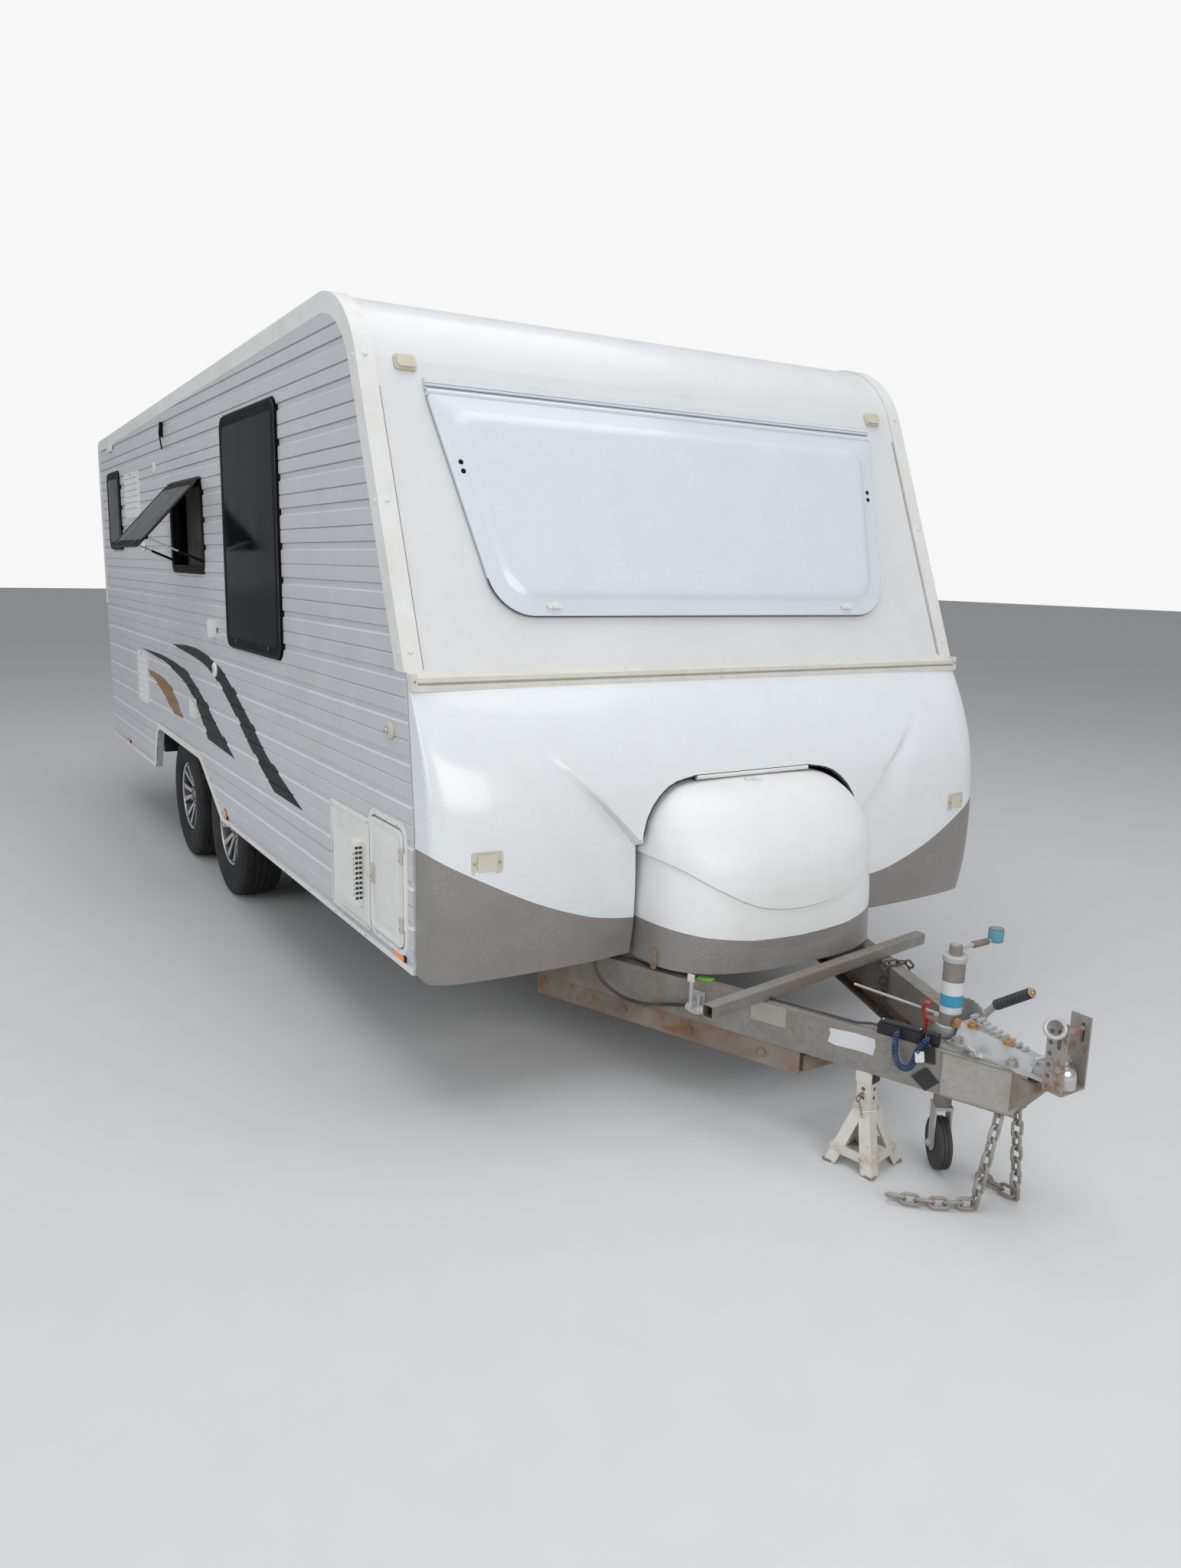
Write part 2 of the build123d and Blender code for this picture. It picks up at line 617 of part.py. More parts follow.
# Lamps and markers
front_lamp_y = half - 152
front_lamp_z = 812
lamp_proud = 22
with BuildPart() as front_lamps:
    for side in (-1, 1):
        with BuildSketch(Plane.YZ.offset(front_x + bulge - 55)):
            with Locations((side * front_lamp_y, front_lamp_z)):
                RectangleRounded(90, 62, 12)
        extrude(amount=55 + lamp_proud - corner_set_back)
    add(front_lower_moulding.part, mode=Mode.SUBTRACT)
    for side in (-1, 1):
        with BuildSketch(shield_plane):
            with Locations((side * front_lamp_y, 100)):
                RectangleRounded(44, 90, 12)
        extrude(amount=lamp_proud)
keep(front_lamps.part, "front_lamps")
with BuildPart() as side_markers:
    for side in (-1, 1):
        for x, z, width, height in ((front_x - 68, skirt_z + 23, 95, 40),
                                    (front_x - 2230, skirt_z + 45, 50, 50),
                                    (front_x - 4800, skirt_z + 25, 95, 40)):
            with Locations((x, side * (half + 5), z)):
                Box(width, 10, height)
keep(side_markers.part, "side_markers")
rear_lamp_z = 800
with BuildPart() as rear_lamps:
    for side in (-1, 1):
        with BuildSketch(Plane(origin=(rear_x, side * (half - 180), rear_lamp_z), x_dir=(0, -1, 0),
                               z_dir=(-1, 0, 0))):
            RectangleRounded(180, 400, 35)
        extrude(amount=30, taper=10)
keep(rear_lamps.part, "rear_lamps")

# Rolled awning on the left wall
awning_z = min(roof_z(front_x - 1000), roof_z(front_x - 5000)) - mould_flange - 48
with BuildPart() as awning:
    with Locations((front_x - 3000, half + 42, awning_z)):
        Cylinder(42, 4000, rotation=(0, 90, 0))
    for x in (front_x - 1000, front_x - 5000):
        with Locations((x, half + 42, awning_z)):
            Box(30, 84, 90)
keep(awning.part, "awning")

# Corner steadies folded up under the body
steady_length = 420
steady_z = bar_top - 20
steady_pin = 8
steady_places = [("front_right", front_x - 250, 200 - half, -1),
                 ("front_left", front_x - 250, half - 200, -1),
                 ("rear_right", front_x - 5250, 120 - chassis_rail_y, 1),
                 ("rear_left", front_x - 5250, chassis_rail_y - 120, 1)]
# Entry step under the door
step_width = 420
step_x = door_x0 + door_width / 2
step_z = bar_top - 15
step_rail_y = half - 250
# Chassis: two long rails, cross members and outriggers under the floor
jack_pad_x = front_x - 1200
jack_pad_length = 120
jack_pad_width = 60
jack_pad_thickness = 8
cross_xs = (front_x - 250, front_x - 800, front_x - 1600, front_x - 4250, front_x - 5250)
with BuildPart() as chassis:
    for side in (-1, 1):
        with Locations(((rear_x + front_x) / 2, side * chassis_rail_y, (chassis_rail_z + floor_z) / 2)):
            Box(front_x - rear_x - 60, rail_width, floor_z - chassis_rail_z)
    for x in cross_xs:
        with Locations((x, 0, floor_z - 30)):
            Box(50, 2 * (inner - 10), 60)
    for name, x, steady_y, reach in steady_places:
        for y in (-24, 24):
            with Locations((x, steady_y + y, (steady_z - 14 + floor_z) / 2)):
                Box(40, 6, floor_z - steady_z + 14)
        with Locations((x, steady_y, steady_z)):
            Cylinder(steady_pin, 54, rotation=(90, 0, 0))
    for side in (-1, 1):
        with Locations((step_x + side * (step_width / 2 + 12), step_rail_y, (step_z - 10 + floor_z) / 2)):
            Box(12, 400, floor_z - step_z + 10)
        with Locations((step_x + side * (step_width / 2 + 6), step_rail_y, step_z + 10 + 3 + seat_gap)):
            Box(24, 400, 6)
    with Locations((step_x, chassis_rail_y - 20, floor_z - 15)):
        Box(step_width + 36, 60, 30)
    for side in (-1, 1):
        with Locations((jack_pad_x, side * chassis_rail_y, chassis_rail_z - jack_pad_thickness / 2)):
            Box(jack_pad_length, jack_pad_width, jack_pad_thickness)
keep(chassis.part, "chassis")

# A-frame: two converging rails boxed in at the nose
bar_bottom = bar_top - bar_height
rail_across = rail_width / cos(radians(bar_turn))
with BuildPart() as drawbar:
    with BuildSketch(Plane.XY.offset(bar_bottom)):
        with BuildLine():
            Polyline((bar_end_x, bar_y(bar_end_x)), (nose_x, bar_y(nose_x)), (nose_x, -bar_y(nose_x)),
                     (bar_end_x, -bar_y(bar_end_x)), (bar_end_x, -bar_y(bar_end_x) + rail_across),
                     (nose_back_x, -bar_y(nose_back_x) + rail_across), (nose_back_x,
                                                                        bar_y(nose_back_x) - rail_across),
                     (bar_end_x, bar_y(bar_end_x) - rail_across), close=True)
        make_face()
    extrude(amount=bar_height)
    with BuildSketch(Plane.XZ.offset(-bar_y(nose_x))):
        with BuildLine():
            Polyline((nose_x, bar_bottom + 5), (nose_x + 62, bar_top - 45), (nose_x + 62, bar_top - 14),
                     (nose_x, bar_top - 5), close=True)
        make_face()
    extrude(amount=2 * bar_y(nose_x))
keep(drawbar.part, "drawbar")

# Underslung frame of channel: two pairs below the rails, the inner pair longer and joined across
under_height = 75
under_z0 = bar_bottom - under_height
under_web = 8
under_flange = 38
under_pairs = [(front_x - 175, front_x + 500), (front_x + 455, front_x + 765)]
under_cross_x = front_x + 755
with BuildPart() as underslung_frame:
    for side in (-1, 1):
        for x0, x1 in under_pairs:
            y0 = bar_y(x0) - rail_across / 2
            run = Plane(origin=(x0, side * y0, under_z0 + under_height / 2), x_dir=(0, -side, 0),
                        z_dir=(1, -side * bar_wall_angle, 0))
            with BuildSketch(run):
                Rectangle(under_flange, under_height)
                with Locations((under_web, 0)):
                    Rectangle(under_flange, under_height - 2 * under_web, mode=Mode.SUBTRACT)
            extrude(amount=(x1 - x0) / cos(radians(bar_turn)))
    with Locations((under_cross_x, 0, under_z0 + under_height / 2 - 6)):
        Box(36, 2 * (bar_y(under_cross_x) - rail_across / 2) - 10, 50)
keep(underslung_frame.part, "underslung_frame")

# Coupling: cast body bolted on the nose plate, with its rounded ball cup ahead of the nose
coupling_x0 = front_x + 1140
coupling_neck_x = front_x + 1385
socket_x = front_x + 1456
socket_radius = 25
cup_radius = 34
cup_z = bar_top + 22
with BuildPart() as coupling:
    with BuildSketch(Plane.XY.offset(bar_top)):
        with BuildLine():
            Polyline((coupling_x0, -62), (coupling_x0 + 55, -62), (coupling_x0 + 215, -40),
                     (coupling_neck_x, -32),
                     (socket_x, -26), (socket_x, 26), (coupling_neck_x, 32), (coupling_x0 + 215, 40),
                     (coupling_x0 + 55, 62), (coupling_x0, 62), close=True)
        make_face()
    extrude(amount=12)
    with BuildSketch(Plane.YZ.offset(coupling_x0 + 8)):
        with Locations((0, bar_top + 12)):
            Trapezoid(80, 50, 70, align=(Align.CENTER, Align.MIN))
    with BuildSketch(Plane.YZ.offset(coupling_neck_x)):
        with Locations((0, bar_top + 10)):
            Trapezoid(52, 38, 75, align=(Align.CENTER, Align.MIN))
    loft()
    with Locations(((coupling_neck_x + socket_x) / 2, 0, bar_top + 26)):
        Box(socket_x - coupling_neck_x, 40, 36)
    with Locations((socket_x, 0, cup_z - 9)):
        Cylinder(cup_radius, 2 * 13)
    with Locations((socket_x, 0, cup_z + 4)):
        Sphere(cup_radius)
    with Locations((socket_x, 0, cup_z + cup_radius + 10)):
        Cylinder(11, 30)
    with Locations((socket_x, 0, cup_z)):
        Sphere(socket_radius, mode=Mode.SUBTRACT)
    with Locations((socket_x, 0, cup_z - 25)):
        Cylinder(socket_radius, 50, mode=Mode.SUBTRACT)
    with Locations((socket_x, 0, bar_top - 30)):
        Box(200, 200, 60, mode=Mode.SUBTRACT)
    for x, y in ((coupling_x0 + 22, -48), (coupling_x0 + 22, 48), (coupling_x0 + 190, -34),
                 (coupling_x0 + 190, 34)):
        with BuildSketch(Plane.XY.offset(bar_top + 12)):
            with Locations((x, y)):
                RegularPolygon(11, 6)
        extrude(amount=12)
keep(coupling.part, "coupling")

# Handbrake: toothed quadrant standing on the nose, with the lever rising from its hub
quadrant_x = front_x + 1108
quadrant_y = 62
quadrant_radius = 58
lever_hub = (quadrant_x + 30, quadrant_y + 13, bar_top + 48)
grip_start = (front_x + 1178, 82, bar_top + 100)
grip_end = (front_x + 1282, 90, bar_top + 172)
grip_way = [end - start for start, end in zip(grip_start, grip_end)]
neck_way = [end - start for start, end in zip(lever_hub, grip_start)]
with BuildPart() as handbrake_lever:
    with BuildSketch(Plane.XZ.offset(-quadrant_y)):
        with BuildLine():
            quadrant_arc = CenterArc((quadrant_x, bar_top + 40), quadrant_radius, -12, 150)
            Polyline(quadrant_arc @ 1, (quadrant_x - 44, bar_top), (quadrant_x + 50, bar_top),
                     quadrant_arc @ 0)
        make_face()
        for tooth in range(9):
            with Locations(Pos(quadrant_x, bar_top + 40) * Rot(0, 0, -2 + 15 * tooth)):
                with Locations((quadrant_radius, 0)):
                    Rectangle(7, 6, rotation=45, mode=Mode.SUBTRACT)
    extrude(amount=-7)
    with Locations((lever_hub[0], quadrant_y + 10, lever_hub[2])):
        Cylinder(17, 24, rotation=(90, 0, 0))
    with BuildSketch(Plane(origin=lever_hub, z_dir=neck_way)):
        Circle(10)
    extrude(amount=sum(step * step for step in neck_way) ** 0.5 + 4)
    with BuildSketch(Plane(origin=grip_start, z_dir=grip_way)):
        Circle(14)
    extrude(amount=sum(step * step for step in grip_way) ** 0.5)
keep(handbrake_lever.part, "handbrake_lever")

# Lock bracket round the ball cup: base, two slotted uprights, and its pin with a pull ring
bracket_wall = 6
bracket_inner = 42
bracket_x0 = front_x + 1434
bracket_x1 = front_x + 1490
bracket_mid_x = (bracket_x0 + bracket_x1) / 2
bracket_z0 = bar_top - bracket_wall
bracket_z1 = bar_top + 185
pin_z = bracket_z1 - 32
ring_radius = 21
with BuildPart() as lock_bracket:
    with Locations((bracket_mid_x, 0, (bracket_z0 + bracket_z1) / 2)):
        Box(bracket_x1 - bracket_x0, 2 * (bracket_inner + bracket_wall), bracket_z1 - bracket_z0)
    with Locations((bracket_mid_x, 0, (bracket_z0 + bracket_z1) / 2 + bracket_wall)):
        Box(bracket_x1 - bracket_x0, 2 * bracket_inner, bracket_z1 - bracket_z0, mode=Mode.SUBTRACT)
    with BuildSketch(Plane.XZ.offset(-100)):
        with Locations((bracket_mid_x + 8, bracket_z1 - 45)):
            SlotOverall(55, 12, rotation=90)
    extrude(amount=200, mode=Mode.SUBTRACT)
    with Locations((bracket_mid_x + 8, -8, pin_z)):
        Cylinder(6.2, 2 * (bracket_inner + bracket_wall) + 36, rotation=(90, 0, 0))
    with Locations(Plane(origin=(bracket_mid_x + 3, -bracket_inner - bracket_wall - 17,
                                 pin_z + ring_radius - 2),
                         z_dir=(0.5, -0.75, 0.42))):
        Torus(ring_radius, 4.5)
keep(lock_bracket.part, "lock_bracket")

# Square tube lying across the A-frame
cross_size = 40
cross_turn = 9.3
cross_x = front_x + 592
cross_half = 540
with BuildPart() as cross_tube:
    with BuildSketch(Plane(origin=(cross_x, 3, bar_top + cross_size / 2),
                           x_dir=(cos(radians(cross_turn)), sin(radians(cross_turn)), 0),
                           z_dir=(-sin(radians(cross_turn)), cos(radians(cross_turn)), 0))):
        Rectangle(cross_size, cross_size)
        Rectangle(cross_size - 6, cross_size - 6, mode=Mode.SUBTRACT)
    extrude(amount=cross_half, both=True)
keep(cross_tube.part, "cross_tube")

# Breakaway switch box on the right rail
switch_x = front_x + 1050
with BuildPart() as breakaway_box:
    with Locations(Location((switch_x, -bar_y(switch_x), bar_top), (0, 0, bar_turn))):
        with Locations((0, 21, 19)):
            Box(130, 34, 38)
        with Locations((92, 18, 19)):
            Box(40, 20, 38)
keep(breakaway_box.part, "breakaway_box")

# Gas tap on the outer side of the right rail: body, two connectors and an upright lever
tap_x = front_x + 450
tap_z = bar_top - 60
with BuildPart() as gas_tap:
    with Locations(Location((tap_x, -bar_y(tap_x), tap_z), (0, 0, bar_turn))):
        with Locations((0, -15, 0)):
            Box(34, 30, 60)
        with Locations((0, -18, -16)):
            Cylinder(13, 64, rotation=(0, 90, 0))
        with Locations((0, -38, 4)):
            Cylinder(9, 26, rotation=(90, 0, 0))
        with Locations((-2, -46, 50)):
            Cylinder(6, 92)
        with Locations((-4, -46, 90)):
            Box(22, 8, 24)
keep(gas_tap.part, "gas_tap")

# Axle stand under the right rail: square post on four legs of angle, with a black block on top
stand_x = front_x + 960
stand_y = -bar_y(stand_x) + rail_across / 2
stand_turn = -32
stand_foot = 112
stand_neck = 36
stand_post_z = 120
stand_neck_z = 165
stand_block = 50
with BuildPart() as axle_stand:
    with Locations((stand_x, stand_y, (stand_post_z + bar_bottom - 34) / 2)):
        Box(44, 44, bar_bottom - 34 - stand_post_z, rotation=(0, 0, stand_turn + 45))
    for turn in (0, 90, 180, 270):
        leg_turn = radians(stand_turn + turn)
        leg_way = (cos(leg_turn), sin(leg_turn), 0)
        for z, reach in ((0, stand_foot), (stand_neck_z, stand_neck)):
            with BuildSketch(Plane(origin=(stand_x, stand_y, z), x_dir=leg_way, z_dir=(0, 0, 1))):
                with BuildLine():
                    Polyline((reach, 0), (reach - 26, 26), (reach - 30, 22), (reach - 8, 0),
                             (reach - 30, -22),
                             (reach - 26, -26), close=True)
                make_face()
        loft()
        with BuildSketch(Plane(origin=(stand_x, stand_y, stand_neck_z), x_dir=leg_way, z_dir=(0, 0, 1))):
            with BuildLine():
                Polyline((stand_neck, 0), (stand_neck - 26, 26), (stand_neck - 30, 22), (stand_neck - 8, 0),
                         (stand_neck - 30, -22), (stand_neck - 26, -26), close=True)
            make_face()
        extrude(amount=20)
    with BuildSketch(Plane(origin=(stand_x, stand_y, 28), x_dir=(cos(radians(stand_turn + 45)),
                                                                 sin(radians(stand_turn + 45)), 0), z_dir=(0, 0, 1))):
        Rectangle(1.22 * stand_foot, 1.22 * stand_foot)
        Rectangle(1.22 * stand_foot - 12, 1.22 * stand_foot - 12, mode=Mode.SUBTRACT)
    extrude(amount=26)
    with Locations((stand_x, stand_y, bar_bottom - 17)):
        Box(stand_block, stand_block, 34, rotation=(0, 0, stand_turn + 45))
keep(axle_stand.part, "axle_stand")

# Jockey: clamped outer tube, sliding inner tube, swivelling fork and wheel
jockey_x = front_x + 1095
jockey_outer = 30
jockey_inner = 25.5
jockey_low = bar_bottom + 5
jockey_high = bar_top + 218
jockey_wheel_radius = 75
jockey_wheel_width = 38
fork_top = 190
fork_turn = -32
fork_plate = 5
fork_half = jockey_wheel_width / 2 + 6
crank_reach = 165
with BuildPart() as jockey_tube:
    with Locations((jockey_x - 2, 0, bar_top - 20)):
        Box(50, 2 * (bar_y(jockey_x + 25) - rail_across), 40)
    with Locations((jockey_x, 0, bar_top + 22)):
        Cylinder(jockey_outer + 6, 42)
    with Locations((jockey_x - 58, 0, bar_top + 24)):
        Cylinder(6, 60, rotation=(0, 90, 0))
    with Locations((jockey_x - 84, 0, bar_top + 8)):
        Cylinder(6, 34)
    with Locations((jockey_x, 0, (jockey_low + jockey_high) / 2)):
        Cylinder(jockey_outer, jockey_high - jockey_low)
        Cylinder(jockey_inner + 0.8, jockey_high - jockey_low, mode=Mode.SUBTRACT)
    with Locations((jockey_x, 0, jockey_high + 8)):
        Cylinder(jockey_outer + 3, 16)
    with Locations((jockey_x, 0, jockey_high + 28)):
        Cylinder(18, 32)
    with Locations((jockey_x, crank_reach / 2, jockey_high + 34)):
        Cylinder(6, crank_reach, rotation=(90, 0, 0))
    with Locations((jockey_x, crank_reach, jockey_high + 48)):
        Cylinder(21, 38)
keep(jockey_tube.part, "jockey_tube")
with BuildPart() as jockey_leg:
    with Locations((jockey_x, 0, (fork_top + 5 + jockey_high - 150) / 2)):
        Cylinder(jockey_inner, jockey_high - 150 - fork_top - 5)
keep(jockey_leg.part, "jockey_leg")
fork_plane = Plane(origin=(jockey_x, 0, 0), x_dir=(cos(radians(fork_turn)), sin(radians(fork_turn)), 0),
                   z_dir=(0, 0, 1))
with BuildPart() as jockey_fork:
    with Locations(fork_plane):
        with Locations((0, 0, fork_top)):
            Box(56, 2 * fork_half, 2 * fork_plate, align=(Align.CENTER, Align.CENTER, Align.CENTER))
        for side in (-1, 1):
            with Locations((0, side * (fork_half - fork_plate / 2), (fork_top + jockey_wheel_radius) / 2)):
                Box(44, fork_plate, fork_top - jockey_wheel_radius)
            with Locations((0, side * (fork_half - fork_plate / 2), jockey_wheel_radius)):
                Cylinder(22, fork_plate, rotation=(90, 0, 0))
        with Locations((0, 0, jockey_wheel_radius)):
            Cylinder(8, 2 * fork_half + 10, rotation=(90, 0, 0))
keep(jockey_fork.part, "jockey_fork")
with BuildPart() as jockey_wheel:
    with Locations(fork_plane):
        with Locations((0, 0, jockey_wheel_radius)):
            Cylinder(jockey_wheel_radius, jockey_wheel_width, rotation=(90, 0, 0))
            Cylinder(8.4, jockey_wheel_width + 2, rotation=(90, 0, 0), mode=Mode.SUBTRACT)
keep(jockey_wheel.part, "jockey_wheel")

# Chains: links overlap where they hook, so that each run is one solid
with BuildPart() as link:
    with BuildSketch(Plane.XY.offset(-5)):
        SlotOverall(58, 36)
        SlotOverall(38, 16, mode=Mode.SUBTRACT)
    extrude(amount=10)
with BuildPart() as small_link:
    with BuildSketch(Plane.XY.offset(-3.5)):
        SlotOverall(40, 25)
        SlotOverall(26, 11, mode=Mode.SUBTRACT)
    extrude(amount=7)
link_pitch = 37.3
link_count = 7              # links of each chain between the nose and the ground
chain_runs = [((front_x + 1308, -36, bar_bottom - 30), (-12, -44, -224),
               (-118, -122, -128, -134, -139, -143)),
              ((front_x + 1318, 32, bar_bottom - 30), (2, 20, -224), (187, 181, 176))]


def link_place(centre, way, roll):
    level = Vector(0, 0, 1) if abs(way[2]) < 0.5 else Vector(1, 0, 0)
    across = Vector(*way).cross(level).normalized()
    normal = across.rotate(Axis((0, 0, 0), way), roll)
    return Plane(origin=centre, x_dir=way, z_dir=tuple(normal)).location


with BuildPart() as safety_chains:
    for top, drop, headings in chain_runs:
        way = Vector(*drop).normalized()
        for number in range(link_count):
            centre = Vector(*top) + Vector(*drop) * (number / (link_count - 1))
            add(link.part.moved(link_place(tuple(centre), tuple(way), 90 * number + 20)))
        centre = Vector(centre.X, centre.Y, 14.5)
        reach = 24
        for number, heading in enumerate(headings):
            way = Vector(cos(radians(heading)), sin(radians(heading)), 0)
            centre = centre + way * reach
            add(link.part.moved(link_place(tuple(centre), tuple(way), 45 + 90 * number)))
            centre = centre + way * (link_pitch / 2)
            reach = link_pitch / 2
keep(safety_chains.part, "safety_chains")

# Dark chain thrown over the left rail: distance outwards from the rail's middle, and height
rail_chain_x = front_x + 632
rail_chain_run = [(-43, 252), (-43, 278), (-43, 304), (-43, 330), (-43, 356), (-43, 382), (-38, 409),
                  (-10, 417),
                  (17, 417), (46, 409), (48, 382), (48, 356), (48, 330)]
rail_out = Vector(bar_wall_angle, 1, 0).normalized()
rail_mid_y = bar_y(rail_chain_x) - rail_across / 2
with BuildPart() as rail_chain:
    rail_points = [Vector(rail_chain_x, rail_mid_y, z) + rail_out * out for out, z in rail_chain_run]
    for number, centre in enumerate(rail_points):
        before = rail_points[max(number - 1, 0)]
        after = rail_points[min(number + 1, len(rail_points) - 1)]
        way = (after - before).normalized()
        add(small_link.part.moved(link_place(tuple(centre), tuple(way), 45 + 90 * number)))
keep(rail_chain.part, "rail_chain")


# Cords: straight runs joined by arcs of the largest radius that fits
def cord(route, diameter):
    radii = []
    for before, corner, after in zip(route[:-2], route[1:-1], route[2:]):
        run_in = Vector(*corner) - Vector(*before)
        run_out = Vector(*after) - Vector(*corner)
        half_turn = radians(run_in.get_angle(run_out)) / 2
        radii.append(0.45 * min(run_in.length, run_out.length) / tan(half_turn))
    print("cord radii", [round(radius) for radius in radii])
    with BuildPart() as tube:
        with BuildLine() as line:
            FilletPolyline(*route, radius=radii)
        with BuildSketch(Plane(origin=line.wire() @ 0, z_dir=line.wire() % 0)):
            Circle(diameter / 2)
        sweep()
    print("cord length", round(line.wire().length))
    return tube.part


hose_diameter = 12
hose_route = [(front_x + 424, -411, tap_z - 16), (front_x + 368, -434, 318), (front_x + 285, -474, 293),
              (front_x + 200, -516, 300), (front_x + 140, -552, 342), (front_x + 120, -565, 398),
              (front_x + 120, -565, skirt_z)]
keep(cord(hose_route, hose_diameter), "gas_hose")

curl_diameter = 20
switch_face = Location((switch_x, -bar_y(switch_x), bar_top), (0, 0, bar_turn))
curl_places = [(0, 4, 22), (0, -15, 22), (2, -26, 2), (4, -27, -42), (20, -28, -66), (44, -28, -66),
               (60, -27, -40),
               (66, -27, 0), (84, -16, 24), (84, 8, 24)]
curl_route = [tuple((switch_face * Location(place)).position) for place in curl_places]
keep(cord(curl_route, curl_diameter), "breakaway_cord")

for name, x, steady_y, reach in steady_places:
    with BuildPart() as steady:
        with Locations((x + reach * steady_length / 2, steady_y, steady_z)):
            Box(steady_length, 34, 22)
        with Locations((x, steady_y, steady_z)):
            Cylinder(14, 34, rotation=(90, 0, 0))
            Cylinder(steady_pin + seat_gap, 40, rotation=(90, 0, 0), mode=Mode.SUBTRACT)
        with Locations((x + reach * (steady_length - 20), steady_y, steady_z + 12)):
            Box(90, 80, 6)
    keep(steady.part, f"steady_{name}")

# Axles with hubs, leaf springs
hub_outer_y = tyre_y + 40
hub_pin = 28
hub_radius = 95
with BuildPart() as axles:
    for x in axle_xs.values():
        with Locations((x, 0, wheel_radius)):
            Box(beam, 2 * (tyre_y - 135), beam)
            Cylinder(hub_pin, 2 * hub_outer_y, rotation=(90, 0, 0))
        for side in (-1, 1):
            with Locations((x, side * (well_inner_y + 20), wheel_radius)):
                Cylinder(hub_radius, 30, rotation=(90, 0, 0))
    for x in axle_xs.values():
        for side in (-1, 1):
            with BuildSketch(Plane.XZ.offset(-side * chassis_rail_y - 25)):
                with BuildLine():
                    Polyline((x - 400, chassis_rail_z), (x - 380, chassis_rail_z - 16),
                             (x - 60, wheel_radius + beam / 2),
                             (x + 60, wheel_radius + beam / 2), (x + 380, chassis_rail_z - 16), (x + 400,
                                                                                                 chassis_rail_z),
                             (x + 360, chassis_rail_z), (x + 60, wheel_radius + beam / 2 + 26),
                             (x - 60, wheel_radius + beam / 2 + 26), (x - 360, chassis_rail_z), close=True)
                make_face()
            extrude(amount=50)
keep(axles.part, "axles")

# Road wheels: tyre and spoked rim
rim_width = 165
spokes = 6
# Half of the tyre's section: distance from its middle, and radius
tyre_section = [(tyre_width / 2 - 12, rim_radius + 1), (tyre_width / 2, wheel_radius - 85),
                (tyre_width / 2 - 4, wheel_radius - 36), (tyre_width / 2 - 14, wheel_radius - 12),
                (tyre_width / 2 - 34, wheel_radius)]
for row, x in axle_xs.items():
    for hand, side in (("right", -1), ("left", 1)):
        centre = Plane(origin=(x, side * tyre_y, wheel_radius), x_dir=(1, 0, 0), z_dir=(0, side, 0))
        with BuildPart() as tyre:
            with BuildSketch(Plane.YZ.offset(x)):
                with Locations((side * tyre_y, wheel_radius)):
                    Polygon(*[(-across, out) for across, out in tyre_section], *reversed(tyre_section),
                            align=None)
            revolve(axis=Axis((x, 0, wheel_radius), (0, 1, 0)))
        keep(tyre.part, f"tyre_{row}_{hand}")
        with BuildPart() as rim:
            with BuildSketch(centre.offset(-rim_width / 2)):
                Circle(rim_radius + 1)
                Circle(rim_radius - 12, mode=Mode.SUBTRACT)
            extrude(amount=rim_width + 8)
            with BuildSketch(centre.offset(25)):
                Circle(75)
                for spoke in range(spokes):
                    with Locations(Location((0, 0), 360 / spokes * spoke)):
                        with Locations((0, 108)):
                            Trapezoid(64, 144, 94)
                Circle(hub_pin + seat_gap, mode=Mode.SUBTRACT)
            extrude(amount=28)
        keep(rim.part, f"rim_{row}_{hand}")

# Rear bumper bar
with BuildPart() as rear_bumper:
    with Locations((rear_x - 45, 0, skirt_z)):
        Box(50, body_width - 420, 90)
    for side in (-1, 1):
        with Locations((rear_x + 20, side * chassis_rail_y, chassis_rail_z - 12)):
            Box(90, rail_width, 24)
keep(rear_bumper.part, "rear_bumper")

# Entry step drawn out from under the door
with BuildPart() as entry_step:
    with Locations((step_x, half - 230, step_z)):
        Box(step_width, 360, 20)
keep(entry_step.part, "entry_step")
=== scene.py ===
# %% [markdown]
# # Travel caravan with an A-frame drawbar
# The frame from the CAD model gives every place and size. This script adds the looks: ribbed cladding,
# moulded front, coach stripes, worn galvanised steel, chains, cords and the small fittings. All lengths are
# in metres. Places are written as in the CAD source: x from the belt line of the front wall, y from the
# middle, z from the floor.

# %% Load the frame
import bpy
import bmesh
import math
import random
from mathutils import Matrix, Vector


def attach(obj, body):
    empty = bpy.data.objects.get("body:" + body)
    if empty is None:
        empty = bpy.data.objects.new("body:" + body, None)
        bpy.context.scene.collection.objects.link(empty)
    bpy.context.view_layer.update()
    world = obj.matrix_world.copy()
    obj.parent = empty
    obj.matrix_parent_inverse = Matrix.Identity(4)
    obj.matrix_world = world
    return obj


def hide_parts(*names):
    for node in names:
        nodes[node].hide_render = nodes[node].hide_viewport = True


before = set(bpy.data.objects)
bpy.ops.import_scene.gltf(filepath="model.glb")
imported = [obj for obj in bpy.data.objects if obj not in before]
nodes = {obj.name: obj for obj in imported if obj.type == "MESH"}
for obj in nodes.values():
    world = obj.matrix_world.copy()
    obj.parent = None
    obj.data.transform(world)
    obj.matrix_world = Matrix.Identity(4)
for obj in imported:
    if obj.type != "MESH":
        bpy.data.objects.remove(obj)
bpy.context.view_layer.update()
random.seed(4)
FRONT_X, MIDDLE_Y = 1.95, 0.115
HALF, REAR_X, SKIRT_Z, KNEE_Z, BELT_Z = 1.16, -5.38, 0.435, 0.88, 1.324
RISE, RUN = 1257, 487
SLOPE = math.atan2(RUN, RISE)
RAIL_TIP, RAIL_SLOPE, BAR_TURN = 1.445, 0.385, math.radians(21.057)


def place(x, y, z):
    return Vector((FRONT_X + x, y + MIDDLE_Y, z))


def places(*points):
    return [place(*point) for point in points]


